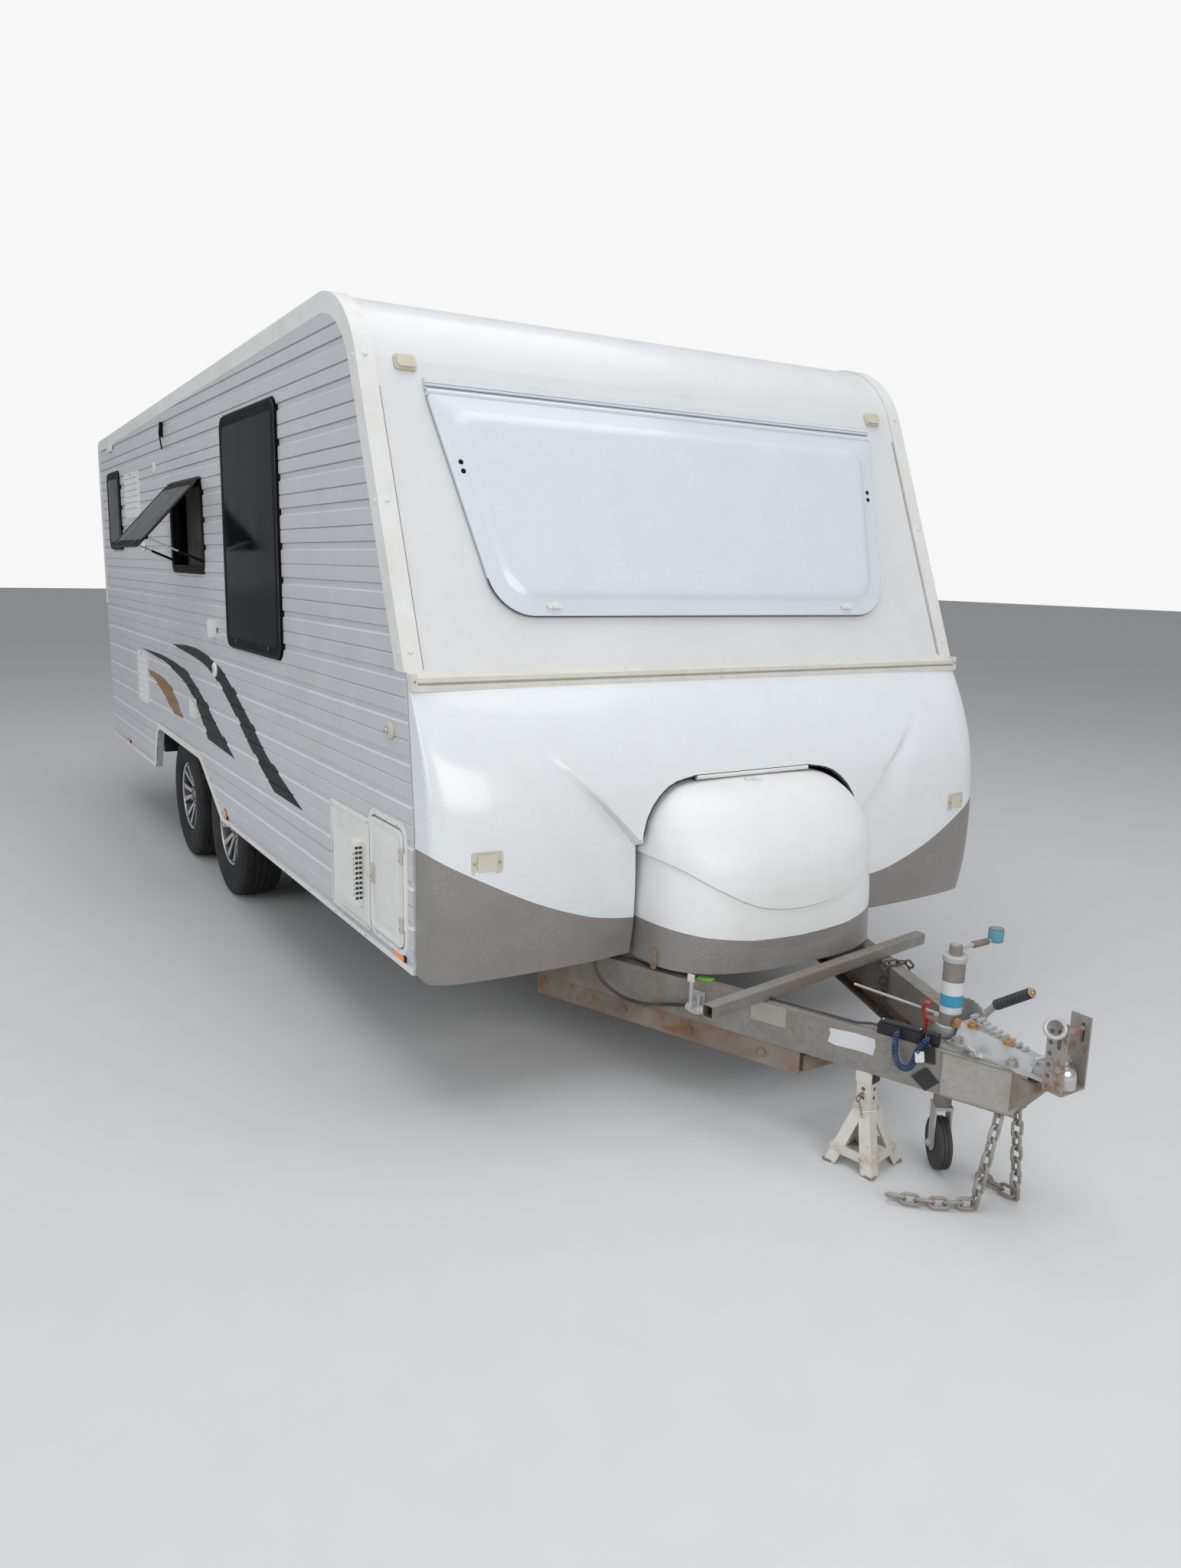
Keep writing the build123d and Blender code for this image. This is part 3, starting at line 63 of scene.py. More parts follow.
def on(at, *points):
    return [at @ Vector(point) for point in points]


def rail_y(x):
    return -(RAIL_TIP - x) * RAIL_SLOPE


def polar(radius, angle):
    return radius * math.cos(angle), radius * math.sin(angle)


# %% [markdown]
# ## Camera
# Its place and turn were solved from measured corners of the caravan, so that the frame's edges fall on the
# photograph's. The two vanishing points are matched first and the height last.

# %% Camera
TURN, TILT, ROLL = 1.01377922, 0.192335114, 0.0231427966
FOCAL_PIXELS, IMAGE_PIXELS, SENSOR = 1448.20776, 2048, 36
back = Vector((math.sin(TURN) * math.cos(TILT), -math.cos(TURN) * math.cos(TILT), math.sin(TILT)))
level = Vector((0, 0, 1)).cross(back).normalized()
upright = back.cross(level)
right = math.cos(ROLL) * level + math.sin(ROLL) * upright
up = -math.sin(ROLL) * level + math.cos(ROLL) * upright
camera_data = bpy.data.cameras.new("camera")
camera_data.sensor_width = SENSOR
camera_data.lens = FOCAL_PIXELS * SENSOR / IMAGE_PIXELS
camera = bpy.data.objects.new("camera", camera_data)
camera.matrix_world = Matrix((right, up, back)).transposed().to_4x4()
camera.location = (4.98943517, -2.29837999, 1.66673731)
bpy.context.scene.collection.objects.link(camera)
bpy.context.scene.camera = camera
print("camera at", [round(v, 3) for v in camera.location])

# %% [markdown]
# ## Cords
# Two free cords: the gas hose from the tap to the underside of the moulding, and the curly breakaway cord
# beside its box. Each is one smooth spline through the route's points. The curly cord's helix follows
# points read from its spline, which keeps the coil on the route.


# %% Cords
def spline_curve(name, points, radius):
    data = bpy.data.curves.new(name, "CURVE")
    data.dimensions = "3D"
    data.bevel_depth = radius
    data.bevel_resolution = 5
    data.resolution_u = 10
    spline = data.splines.new("NURBS")
    spline.points.add(len(points) - 1)
    for point, co in zip(spline.points, points):
        point.co = (*co, 1)
    spline.order_u = 3
    spline.use_endpoint_u = True
    obj = bpy.data.objects.new(name, data)
    bpy.context.scene.collection.objects.link(obj)
    return obj


def read_line(obj):
    depth = obj.data.bevel_depth
    obj.data.bevel_depth = 0
    mesh = bpy.data.meshes.new_from_object(obj)
    line = [v.co.copy() for v in mesh.vertices]
    bpy.data.meshes.remove(mesh)
    obj.data.bevel_depth = depth
    return line


def new_object(name, mesh):
    obj = bpy.data.objects.new(name, mesh)
    bpy.context.scene.collection.objects.link(obj)
    return obj


def tube_mesh(name, line, radius, sides=8, closed=False):
    verts, faces = [], []
    count = len(line)
    normal = None
    for i, centre in enumerate(line):
        if closed:
            ahead = line[(i + 1) % count] - line[i - 1]
        else:
            ahead = line[min(i + 1, count - 1)] - line[max(i - 1, 0)]
        ahead.normalize()
        if normal is None:
            normal = ahead.orthogonal().normalized()
        normal = (normal - ahead * normal.dot(ahead)).normalized()
        other = ahead.cross(normal)
        r = radius[i] if isinstance(radius, (list, tuple)) else radius
        for k in range(sides):
            angle = 2 * math.pi * k / sides
            verts.append(centre + r * (math.cos(angle) * normal + math.sin(angle) * other))
    rings = count if closed else count - 1
    shift = 0
    if closed:
        first = verts[:sides]
        shift = min(range(sides), key=lambda s: (first[s] - verts[(count - 1) * sides]).length)
    for i in range(rings):
        for k in range(sides):
            a, b = i * sides + k, i * sides + (k + 1) % sides
            if i == count - 1:
                c, d = (k + 1 + shift) % sides, (k + shift) % sides
            else:
                c, d = (i + 1) * sides + (k + 1) % sides, (i + 1) * sides + k
            faces.append((a, b, c, d))
    if not closed:
        faces.append(tuple(range(sides))[::-1])
        faces.append(tuple(range((count - 1) * sides, count * sides)))
    mesh = bpy.data.meshes.new(name)
    mesh.from_pydata([tuple(v) for v in verts], [], faces)
    mesh.validate()
    mesh.shade_smooth()
    return mesh


hose_route = [(0.424, -0.411, 0.329), (0.368, -0.434, 0.318), (0.285, -0.474, 0.293), (0.2, -0.516, 0.3),
              (0.14, -0.552, 0.342), (0.12, -0.565, 0.398), (0.12, -0.565, 0.435)]
gas_hose = spline_curve("gas_hose_look", [place(*p) for p in hose_route], 0.0055)
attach(gas_hose, "caravan")
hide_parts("gas_hose")

SWITCH_X, SWITCH_Y, SWITCH_Z = 1.05, -0.152075, 0.405
PITCH, HELIX_RADIUS, WIRE, TURN_STEPS, FADE = 0.0062, 0.0072, 0.0023, 12, 0.02


def from_switch(x, y, z):
    c, s = math.cos(BAR_TURN), math.sin(BAR_TURN)
    return place(SWITCH_X + x * c - y * s, SWITCH_Y + x * s + y * c, SWITCH_Z + z)


curl_route = [(0, 4, 22), (0, -15, 22), (2, -26, 2), (4, -27, -42), (20, -28, -66), (44, -28, -66),
              (60, -27, -40), (66, -27, 0), (84, -16, 24), (84, 8, 24)]
curl_guide = spline_curve("curl_guide", [from_switch(x / 1000, y / 1000, z / 1000) for x, y, z in curl_route],
                          0.01)
curl_guide.data.resolution_u = 24
curl_line = read_line(curl_guide)
bpy.data.objects.remove(curl_guide)
lengths = [0.0]
for a, b in zip(curl_line, curl_line[1:]):
    lengths.append(lengths[-1] + (b - a).length)
helix = []
normal = Vector((0, 0, 1))
steps = int(lengths[-1] / PITCH * TURN_STEPS)
for step in range(steps + 1):
    want = lengths[-1] * step / steps
    i = min(max(k for k in range(len(lengths)) if lengths[k] <= want), len(curl_line) - 2)
    part = (want - lengths[i]) / max(lengths[i + 1] - lengths[i], 1e-9)
    centre = curl_line[i].lerp(curl_line[i + 1], part)
    ahead = (curl_line[i + 1] - curl_line[i]).normalized()
    normal = (normal - ahead * normal.dot(ahead)).normalized()
    other = ahead.cross(normal)
    fade = min(1.0, want / FADE, (lengths[-1] - want) / FADE)
    angle = 2 * math.pi * step / TURN_STEPS
    helix.append(centre + fade * HELIX_RADIUS * (math.cos(angle) * normal + math.sin(angle) * other))
curly_cord = new_object("breakaway_cord_look", tube_mesh("curly_cord", helix, WIRE, 6))
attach(curly_cord, "caravan")
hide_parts("breakaway_cord")
plug_line = [curl_line[-1] - (curl_line[-1] - curl_line[-4]).normalized() * d
             for d in (0.012, 0.006, 0.0, -0.006)]
cord_plug = new_object("cord_plug", tube_mesh("cord_plug", plug_line, [0.004, 0.0065, 0.0075, 0.0075], 14))
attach(cord_plug, "caravan")
print("cords:", len(hose_route), "points in the hose,", len(helix), "in the curly cord's helix")

# %% [markdown]
# ## Shader nodes
# One helper adds a node, sets its numbers and joins its inputs, so that a material reads as a list of
# steps. The others name the few nodes that every effect here is made of, and give back the socket to use
# next.


# %% Node helpers
def add_node(tree, kind, inputs, **settings):
    node = tree.nodes.new("ShaderNode" + kind)
    for key, value in settings.items():
        setattr(node, key, value)
    for key, value in inputs.items():
        if isinstance(value, bpy.types.NodeSocket):
            tree.links.new(value, node.inputs[key])
        else:
            node.inputs[key].default_value = value
    return node


def maths(tree, operation, *values, clamp=False):
    return add_node(tree, "Math", dict(enumerate(values)), operation=operation, use_clamp=clamp).outputs[0]


def coordinates(tree, scale=(1, 1, 1)):
    spot = add_node(tree, "TexCoord", {}).outputs["Object"]
    return add_node(tree, "Mapping", {"Vector": spot, "Scale": scale}).outputs[0]


def noise(tree, spot, scale, detail, rough=0.55):
    values = {"Vector": spot, "Scale": scale, "Detail": detail, "Roughness": rough}
    return add_node(tree, "TexNoise", values).outputs["Fac"]


def threshold(tree, value, low, high):
    values = {"Value": value, "From Min": low, "From Max": high}
    return add_node(tree, "MapRange", values, interpolation_type="SMOOTHSTEP").outputs[0]


def stretch(tree, value, low, high):
    values = {"Value": value, "From Min": 0.3, "From Max": 0.7, "To Min": low, "To Max": high}
    return add_node(tree, "MapRange", values).outputs[0]


def layer(tree, mask, under, over):
    values = {"Factor": mask, "A": under, "B": (*over, 1)}
    return add_node(tree, "Mix", values, data_type="RGBA").outputs["Result"]


print("node helpers ready")

# %% [markdown]
# ## Light and floor
# A pale floor, a white background that only the camera and the view through glass see, and three large soft
# area lights. Pale paint needs little light, because a surface that clips shows no form.

# %% Stage
world = bpy.data.worlds.new("studio")
bpy.context.scene.world = world
world.use_nodes = True
tree = world.node_tree
tree.nodes.clear()
path = add_node(tree, "LightPath", {}).outputs
looking = maths(tree, "MAXIMUM", path["Is Camera Ray"], path["Is Transmission Ray"])
lit = add_node(tree, "Background", {"Color": (0.91, 0.94, 1.0, 1), "Strength": 0.42}).outputs[0]
seen = add_node(tree, "Background", {"Color": (0.93, 0.93, 0.93, 1), "Strength": 1.0}).outputs[0]
mix = add_node(tree, "MixShader", {"Fac": looking, 1: lit, 2: seen}).outputs[0]
add_node(tree, "OutputWorld", {"Surface": mix})
bpy.context.scene.view_settings.view_transform = "Standard"


def area_light(name, where, aim, size, power, colour):
    data = bpy.data.lights.new(name, "AREA")
    data.shape = "RECTANGLE"
    data.size, data.size_y = size
    data.energy = power
    data.color = colour
    obj = new_object(name, data)
    obj.location = where
    obj.rotation_euler = (Vector(aim) - Vector(where)).to_track_quat("-Z", "Y").to_euler()


area_light("sky", (1.5, 0, 8.5), (0.5, 0, 0), (9, 8), 420, (0.95, 0.97, 1.0))
area_light("front", (9.5, -1.5, 3.8), (2, 0, 1.1), (6, 4), 300, (1.0, 0.99, 0.97))
area_light("side", (0.5, -8.5, 3.2), (0, 0, 1.2), (8, 4), 210, (0.96, 0.98, 1.0))

FLOOR_REACH, FLOOR_Z = 60, -0.004
floor_mesh = bpy.data.meshes.new("studio_floor")
floor_corners = [(x * FLOOR_REACH, y * FLOOR_REACH, FLOOR_Z) for x, y in ((-1, -1), (1, -1), (1, 1), (-1, 1))]
floor_mesh.from_pydata(floor_corners, [], [(0, 1, 2, 3)])
studio_floor = new_object("studio_floor", floor_mesh)
print("three lights and a floor")

# %% [markdown]
# ## Shared wear
# Node groups for the effects that many materials share. Each gives only a mask, so a material stays free to
# tint it. Object coordinates are metres here, because every piece sits at the origin.


# %% Wear groups
def group(name, **inputs):
    tree = bpy.data.node_groups.new(name, "ShaderNodeTree")
    for title, value in inputs.items():
        socket = tree.interface.new_socket(title, in_out="INPUT", socket_type="NodeSocketFloat")
        socket.default_value = value
    tree.interface.new_socket("Mask", in_out="OUTPUT", socket_type="NodeSocketFloat")
    return tree, tree.nodes.new("NodeGroupInput").outputs


def give_mask(tree, mask):
    tree.links.new(mask, tree.nodes.new("NodeGroupOutput").inputs["Mask"])


def wear_mask(tree, effect, **amounts):
    return add_node(tree, "Group", amounts, node_tree=effect).outputs["Mask"]


grime_film, given = group("grime_film", Amount=0.5)
spot = coordinates(grime_film)
both = maths(grime_film, "MULTIPLY", noise(grime_film, spot, 1.7, 6), noise(grime_film, spot, 11, 6, 0.62))
give_mask(grime_film, maths(grime_film, "MULTIPLY", threshold(grime_film, both, 0.14, 0.42), given["Amount"]))

vertical_runs, given = group("vertical_runs", Amount=0.5)
thin = noise(vertical_runs, coordinates(vertical_runs, (26, 26, 0.9)), 1.0, 4, 0.6)
wide = noise(vertical_runs, coordinates(vertical_runs, (1.3, 1.3, 2.2)), 1.0, 3)
both = maths(vertical_runs, "MULTIPLY", threshold(vertical_runs, thin, 0.52, 0.74),
             threshold(vertical_runs, wide, 0.42, 0.62))
give_mask(vertical_runs, maths(vertical_runs, "MULTIPLY", both, given["Amount"]))

rust_bloom, given = group("rust_bloom", Scale=14.0, Amount=0.5)
spot = coordinates(rust_bloom)
fine = maths(rust_bloom, "MULTIPLY", noise(rust_bloom, spot, 60, 5, 0.7), 0.45)
both = maths(rust_bloom, "ADD", noise(rust_bloom, spot, given["Scale"], 7, 0.68), fine)
lifted = maths(rust_bloom, "MULTIPLY_ADD", given["Amount"], 0.5, both)
give_mask(rust_bloom, threshold(rust_bloom, lifted, 0.92, 1.12))

water_spots, given = group("water_spots", Scale=90.0)
spot = coordinates(water_spots)
cells = add_node(water_spots, "TexVoronoi", {"Vector": spot, "Scale": given["Scale"], "Randomness": 1.0})
dots = threshold(water_spots, cells.outputs["Distance"], 0.26, 0.14)
patches = threshold(water_spots, noise(water_spots, spot, 3.5, 3), 0.45, 0.6)
give_mask(water_spots, maths(water_spots, "MULTIPLY", dots, patches))
print("wear groups:", [g.name for g in bpy.data.node_groups])

# %% [markdown]
# ## Materials
# One recipe serves the whole caravan: a base colour, a weathered second colour laid through the masks, a
# roughness that follows the dirt, and a fine bump. The numbers in each call are what tells painted sheet
# from zinc or rubber.


# %% Material recipe
SPANGLE_SCALE, DULLING, METAL_LOSS, COAT_ROUGH, BUMP_REACH = 95, 0.3, 0.85, 0.08, 0.002


def surface(name, base, rough=0.4, metallic=0.0, coat=0.0, dirt=(0.42, 0.38, 0.31), film=0.0, runs=0.0,
            rust=0.0, rust_scale=9.0, rust_colour=(0.23, 0.105, 0.04), spots=0.0,
            spot_colour=(0.75, 0.72, 0.66), tint=0.03, grain=500.0, bump=0.05, blotch=6.0,
            spangle=0.0, spec=0.5):
    mat = bpy.data.materials.new(name)
    mat.use_nodes = True
    tree = mat.node_tree
    tree.nodes.clear()
    spot = coordinates(tree)
    tone = noise(tree, spot, blotch, 5)
    colour = add_node(tree, "VectorMath", {0: base, "Scale": stretch(tree, tone, 1 - tint, 1 + tint)},
                      operation="SCALE").outputs[0]
    if spangle:
        cells = add_node(tree, "TexVoronoi", {"Vector": spot, "Scale": SPANGLE_SCALE}).outputs["Color"]
        shade = add_node(tree, "SeparateColor", {0: cells}).outputs[0]
        bright = tuple(min(1, c * 1.6 + 0.06) for c in base)
        colour = layer(tree, maths(tree, "MULTIPLY", shade, spangle), colour, bright)
    wear = []
    for share, effect in ((film, grime_film), (runs, vertical_runs)):
        if share:
            wear.append(wear_mask(tree, effect, Amount=share))
            colour = layer(tree, wear[-1], colour, dirt)
    if spots:
        colour = layer(tree, maths(tree, "MULTIPLY", wear_mask(tree, water_spots), spots), colour,
                       spot_colour)
    if rust:
        wear.append(wear_mask(tree, rust_bloom, Scale=rust_scale, Amount=rust))
        colour = layer(tree, wear[-1], colour, rust_colour)
    dull = stretch(tree, tone, max(0.03, rough - 0.06), min(1.0, rough + 0.08))
    for mask in wear:
        dull = maths(tree, "MULTIPLY_ADD", mask, DULLING, dull, clamp=True)
    metal = metallic
    if metallic and wear:
        metal = maths(tree, "MULTIPLY_ADD", wear[-1], -metallic * METAL_LOSS, metallic, clamp=True)
    fine = noise(tree, spot, grain, 3, 0.6)
    relief = add_node(tree, "Bump", {"Strength": bump, "Distance": BUMP_REACH, "Height": fine}).outputs[0]
    shader = add_node(tree, "BsdfPrincipled", {
        "Base Color": colour, "Roughness": dull, "Metallic": metal, "Coat Weight": coat,
        "Coat Roughness": COAT_ROUGH, "Specular IOR Level": spec, "Normal": relief}).outputs[0]
    add_node(tree, "OutputMaterial", {"Surface": shader})
    return mat


M = {}
M["cladding"] = surface("cladding_sheet", (0.505, 0.515, 0.53), 0.32, film=0.09, runs=0.12,
                        dirt=(0.36, 0.33, 0.28), tint=0.025, grain=260, bump=0.05, coat=0.15)
# Darker and paler copies of the cladding sheet: painted shade on the steps that face down, painted highlight
# on the steps that face up.
M["painted_step_shade"] = surface("cladding_painted_shade", (0.27, 0.275, 0.285), 0.45, film=0.12,
                          dirt=(0.2, 0.18, 0.15), tint=0.06)
M["painted_step_highlight"] = surface("cladding_painted_highlight", (0.7, 0.71, 0.72), 0.28, film=0.06, tint=0.03, coat=0.2)
M["slope"] = surface("front_sheet", (0.665, 0.675, 0.68), 0.36, film=0.07, runs=0.08, tint=0.015,
                     grain=90, bump=0.02, coat=0.2)
M["moulded"] = surface("moulded_gloss", (0.7, 0.725, 0.74), 0.24, film=0.035, tint=0.012, spots=0.1,
                       spot_colour=(0.6, 0.6, 0.58), grain=60, bump=0.015, coat=0.35)
M["band"] = surface("grey_band", (0.215, 0.2, 0.19), 0.36, film=0.22, dirt=(0.32, 0.3, 0.27), spots=0.55,
                    spot_colour=(0.4, 0.38, 0.35), tint=0.04, coat=0.1)
M["trim"] = surface("trim_white_plastic", (0.7, 0.7, 0.68), 0.4, film=0.18, runs=0.18, tint=0.02)
M["trim_aged"] = surface("aged_white_trim", (0.66, 0.65, 0.59), 0.42, film=0.26, runs=0.25, tint=0.04)
M["shield"] = surface("shield_gloss", (0.63, 0.67, 0.715), 0.24, film=0.025, tint=0.01,
                      grain=50, bump=0.012, coat=0.4)
M["cover"] = surface("cover_plastic", (0.72, 0.725, 0.72), 0.38, film=0.07, runs=0.06, tint=0.012, grain=700,
                     bump=0.06)
M["galvanised"] = surface("galvanised_steel", (0.225, 0.22, 0.21), 0.52, 0.45, film=0.9,
                          dirt=(0.25, 0.185, 0.12), runs=0.6, rust=0.2, rust_scale=7, tint=0.14, blotch=9,
                          spangle=0.22, grain=220, bump=0.16)
M["nose"] = surface("bare_zinc_plate", (0.345, 0.335, 0.315), 0.48, 0.45, film=0.7, dirt=(0.3, 0.245, 0.18),
                    runs=0.4, rust=0.12, rust_scale=12, tint=0.08, spangle=0.16, grain=160, bump=0.14)
M["rusty"] = surface("rusted_steel", (0.245, 0.205, 0.165), 0.72, 0.25, film=0.55, dirt=(0.16, 0.1, 0.06),
                     rust=0.42, rust_scale=14, tint=0.2, grain=300, bump=0.35)
M["zinc"] = surface("cast_zinc", (0.47, 0.475, 0.475), 0.46, 0.45, film=0.4, dirt=(0.26, 0.23, 0.19),
                    rust=0.08, rust_scale=22, tint=0.09, grain=330, bump=0.22)
M["bracket"] = surface("lock_bracket_steel", (0.33, 0.315, 0.295), 0.5, 0.45, film=0.6,
                       dirt=(0.22, 0.14, 0.08), rust=0.42, rust_scale=17, tint=0.12, grain=260, bump=0.2)
M["chrome"] = surface("worn_chrome", (0.62, 0.62, 0.61), 0.2, 0.95, film=0.14,
                      tint=0.04, grain=300, bump=0.04)
M["chain"] = surface("chain_galvanised", (0.36, 0.345, 0.325), 0.55, 0.5, film=0.6, dirt=(0.22, 0.16, 0.1),
                     rust=0.22, rust_scale=26, tint=0.1, grain=420, bump=0.25)
M["dark_chain"] = surface("dark_chain", (0.085, 0.075, 0.07), 0.55, 0.6, film=0.4, dirt=(0.15, 0.1, 0.07),
                          rust=0.2, rust_scale=30, tint=0.15, grain=420, bump=0.3)
M["black"] = surface("black_plastic", (0.015, 0.015, 0.017), 0.42, film=0.2, dirt=(0.1, 0.09, 0.08),
                     tint=0.1, bump=0.08, spec=0.3)
M["rubber"] = surface("rubber_black", (0.025, 0.025, 0.026), 0.62, film=0.35,
                      dirt=(0.13, 0.12, 0.11), tint=0.12, bump=0.15)
M["tyre"] = surface("tyre_rubber", (0.018, 0.018, 0.019), 0.7, spec=0.25, film=0.35,
                    dirt=(0.085, 0.078, 0.068), tint=0.15, grain=340, bump=0.2)
M["alloy"] = surface("dark_alloy", (0.06, 0.06, 0.063), 0.34, 0.5, film=0.35,
                     dirt=(0.17, 0.15, 0.13), tint=0.1, coat=0.3)
M["machined"] = surface("machined_alloy", (0.6, 0.6, 0.61), 0.24, 0.9, film=0.3, dirt=(0.25, 0.23, 0.2),
                        tint=0.06, grain=700, bump=0.05)
M["gold"] = surface("gold_cap", (0.4, 0.27, 0.1), 0.35, 0.6, film=0.3, tint=0.08)
M["glass"] = surface("tinted_glass", (0.004, 0.0045, 0.006), 0.12, film=0.03, dirt=(0.08, 0.075, 0.07),
                     tint=0.1, grain=8, bump=0.02, spec=0.04)
M["frame"] = surface("black_frame", (0.006, 0.006, 0.007), 0.5, film=0.15,
                     dirt=(0.05, 0.045, 0.04), tint=0.1, spec=0.06)
M["amber"] = surface("amber_lens", (0.85, 0.26, 0.02), 0.25, film=0.2, tint=0.05,
                     grain=240, bump=0.5, coat=0.5)
M["red"] = surface("red_lens", (0.46, 0.02, 0.015), 0.25, film=0.15, tint=0.05, grain=240, bump=0.5, coat=0.5)
M["lens"] = surface("cream_lens", (0.62, 0.58, 0.47), 0.28, film=0.35, tint=0.06,
                    grain=200, bump=0.3, coat=0.4)
M["clear"] = surface("clear_lens", (0.5, 0.5, 0.47), 0.14, 0.4, film=0.15, tint=0.1,
                     grain=260, bump=0.6, coat=0.6)
M["cream"] = surface("cream_fitting", (0.56, 0.53, 0.44), 0.42, film=0.4, runs=0.2, tint=0.05)
M["stripe"] = surface("stripe_charcoal", (0.014, 0.015, 0.019), 0.45, film=0.1,
                      dirt=(0.12, 0.115, 0.11), tint=0.06, spec=0.15)
M["stripe_gold"] = surface("stripe_bronze", (0.24, 0.14, 0.065), 0.45, film=0.15, tint=0.06, spec=0.2)
M["stand"] = surface("stand_paint", (0.6, 0.58, 0.52), 0.52, film=0.55, dirt=(0.33, 0.24, 0.16), runs=0.35,
                     rust=0.19, rust_scale=11, rust_colour=(0.27, 0.11, 0.035),
                     tint=0.05, grain=240, bump=0.2)
M["step"] = surface("step_aluminium", (0.55, 0.55, 0.55), 0.4, 0.8, film=0.3, tint=0.06)
M["bottle"] = surface("bottle_grey", (0.42, 0.43, 0.45), 0.45, film=0.3, rust=0.06, tint=0.05)
M["awning"] = surface("awning_aluminium", (0.6, 0.6, 0.585), 0.36, 0.35, film=0.25, runs=0.2, tint=0.03)
M["blue"] = surface("blue_cord", (0.006, 0.04, 0.115), 0.4, film=0.12, tint=0.1, coat=0.2)
M["knob"] = surface("blue_knob", (0.02, 0.26, 0.4), 0.5, film=0.3, dirt=(0.3, 0.28, 0.24), tint=0.08)
M["cable"] = surface("black_hose", (0.02, 0.02, 0.02), 0.45, film=0.25, tint=0.1)
M["under"] = surface("dark_underside", (0.055, 0.052, 0.048), 0.7, film=0.5, dirt=(0.12, 0.1, 0.08),
                     tint=0.15, grain=60, bump=0.2)
# A dark brown used as painted shade: in the holes of the lock bracket and the axle stand, on the cross tube's
# inner faces, and on the blinds behind the windows.
M["dark_painted_shade"] = surface("painted_hollow_shade", (0.1, 0.09, 0.08), 0.8, film=0.2, tint=0.1)
M["sticker"] = surface("blank_sticker", (0.58, 0.59, 0.6), 0.4, film=0.5, dirt=(0.34, 0.31, 0.27), rust=0.12,
                       rust_scale=30, rust_colour=(0.36, 0.34, 0.32), tint=0.05)
M["plate"] = surface("blank_plate", (0.36, 0.345, 0.3), 0.45, 0.3, film=0.45,
                     dirt=(0.25, 0.2, 0.15), tint=0.08)
M["tape"] = surface("black_tape", (0.014, 0.014, 0.014), 0.6, film=0.4, dirt=(0.11, 0.09, 0.07),
                    tint=0.15, grain=120, bump=0.3)
M["copper"] = surface("copper_nut", (0.5, 0.3, 0.14), 0.4, 0.8, film=0.4, tint=0.1)
M["red_paint"] = surface("red_handle", (0.42, 0.035, 0.03), 0.4, film=0.3, tint=0.08)
M["green"] = surface("green_tag", (0.14, 0.55, 0.04), 0.45, film=0.1, tint=0.05)
M["floor"] = surface("pale_floor", (0.6, 0.6, 0.6), 0.85, tint=0.01, bump=0.02)
studio_floor.data.materials.append(M["floor"])
gas_hose.data.materials.append(M["cable"])
curly_cord.data.materials.append(M["blue"])
cord_plug.data.materials.append(M["black"])
print(len(M), "materials")

# %% Materials on the CAD pieces
looks = {"cladding": "right_wall left_wall rear_wall", "slope": "front_upper_panel roof",
         "moulded": "front_lower_moulding", "cover": "gas_cover",
         "trim": "corner_mouldings access_door entry_door wall_vents roof_hatches arch_trims",
         "trim_aged": "belt_trim", "shield": "stone_shield shield_rail",
         "galvanised": "drawbar chassis cross_tube jockey_tube jockey_leg", "rusty": "underslung_frame",
         "zinc": "coupling handbrake_lever jockey_fork", "bracket": "lock_bracket", "chain": "safety_chains",
         "dark_chain": "rail_chain", "black": "gas_locker wheel_wells breakaway_box",
         "rubber": "jockey_wheel", "frame": "window_frames", "glass": "window_panes door_pane",
         "lens": "front_lamps", "amber": "side_markers", "red": "rear_lamps", "stand": "axle_stand",
         "step": "entry_step", "bottle": "gas_bottles", "awning": "awning",
         "under": "floor axles rear_bumper", "cream": "gas_tap"}
for look, names in looks.items():
    for name in names.split():
        nodes[name].data.materials.clear()
        nodes[name].data.materials.append(M[look])
for corner in ("front_right", "front_left", "rear_right", "rear_left"):
    for piece, look in (("steady_", "galvanised"), ("tyre_", "tyre"), ("rim_", "alloy")):
        nodes[piece + corner].data.materials.clear()
        nodes[piece + corner].data.materials.append(M[look])
print(sum(len(v.split()) for v in looks.values()) + 12, "CAD pieces have materials")

# %% [markdown]
# ## Building blocks
# Most fittings are made of a few swept or turned forms. `Bits` gathers them with a material number each and
# turns them into one object, bevelled where an edge should catch the light. Each object rides on a body of
# the frame.


# %% Frames and outlines
def frame_at(origin, x=(1, 0, 0), z=(0, 0, 1)):
    z = Vector(z).normalized()
    x = Vector(x)
    x = (x - z * x.dot(z)).normalized()
    return Matrix.Translation(Vector(origin)) @ Matrix((x, z.cross(x), z)).transposed().to_4x4()


def wall_frame(side, x, y, z):
    return frame_at(place(x, y, z), x=(-side, 0, 0), z=(0, side, 0))


def rear_frame(x, y, z):
    return frame_at(place(x, y, z), x=(0, -1, 0), z=(-1, 0, 0))


def standing(x, y, z):
    return Matrix.Translation(place(x, y, z))


def loop_faces(loops, count):
    return [(i * count + k, i * count + (k + 1) % count, (i + 1) * count + (k + 1) % count,
             (i + 1) * count + k) for i in range(loops - 1) for k in range(count)]


def face_outward(mesh, merge=0.0):
    bm = bmesh.new()
    bm.from_mesh(mesh)
    if merge:
        bmesh.ops.remove_doubles(bm, verts=bm.verts, dist=merge)
    bmesh.ops.recalc_face_normals(bm, faces=bm.faces)
    bm.to_mesh(mesh)
    bm.free()


def hexagon(radius):
    return [polar(radius, math.pi * k / 3) for k in range(6)]


def at_height(outline, z):
    return [(x, y, z) for x, y in outline]


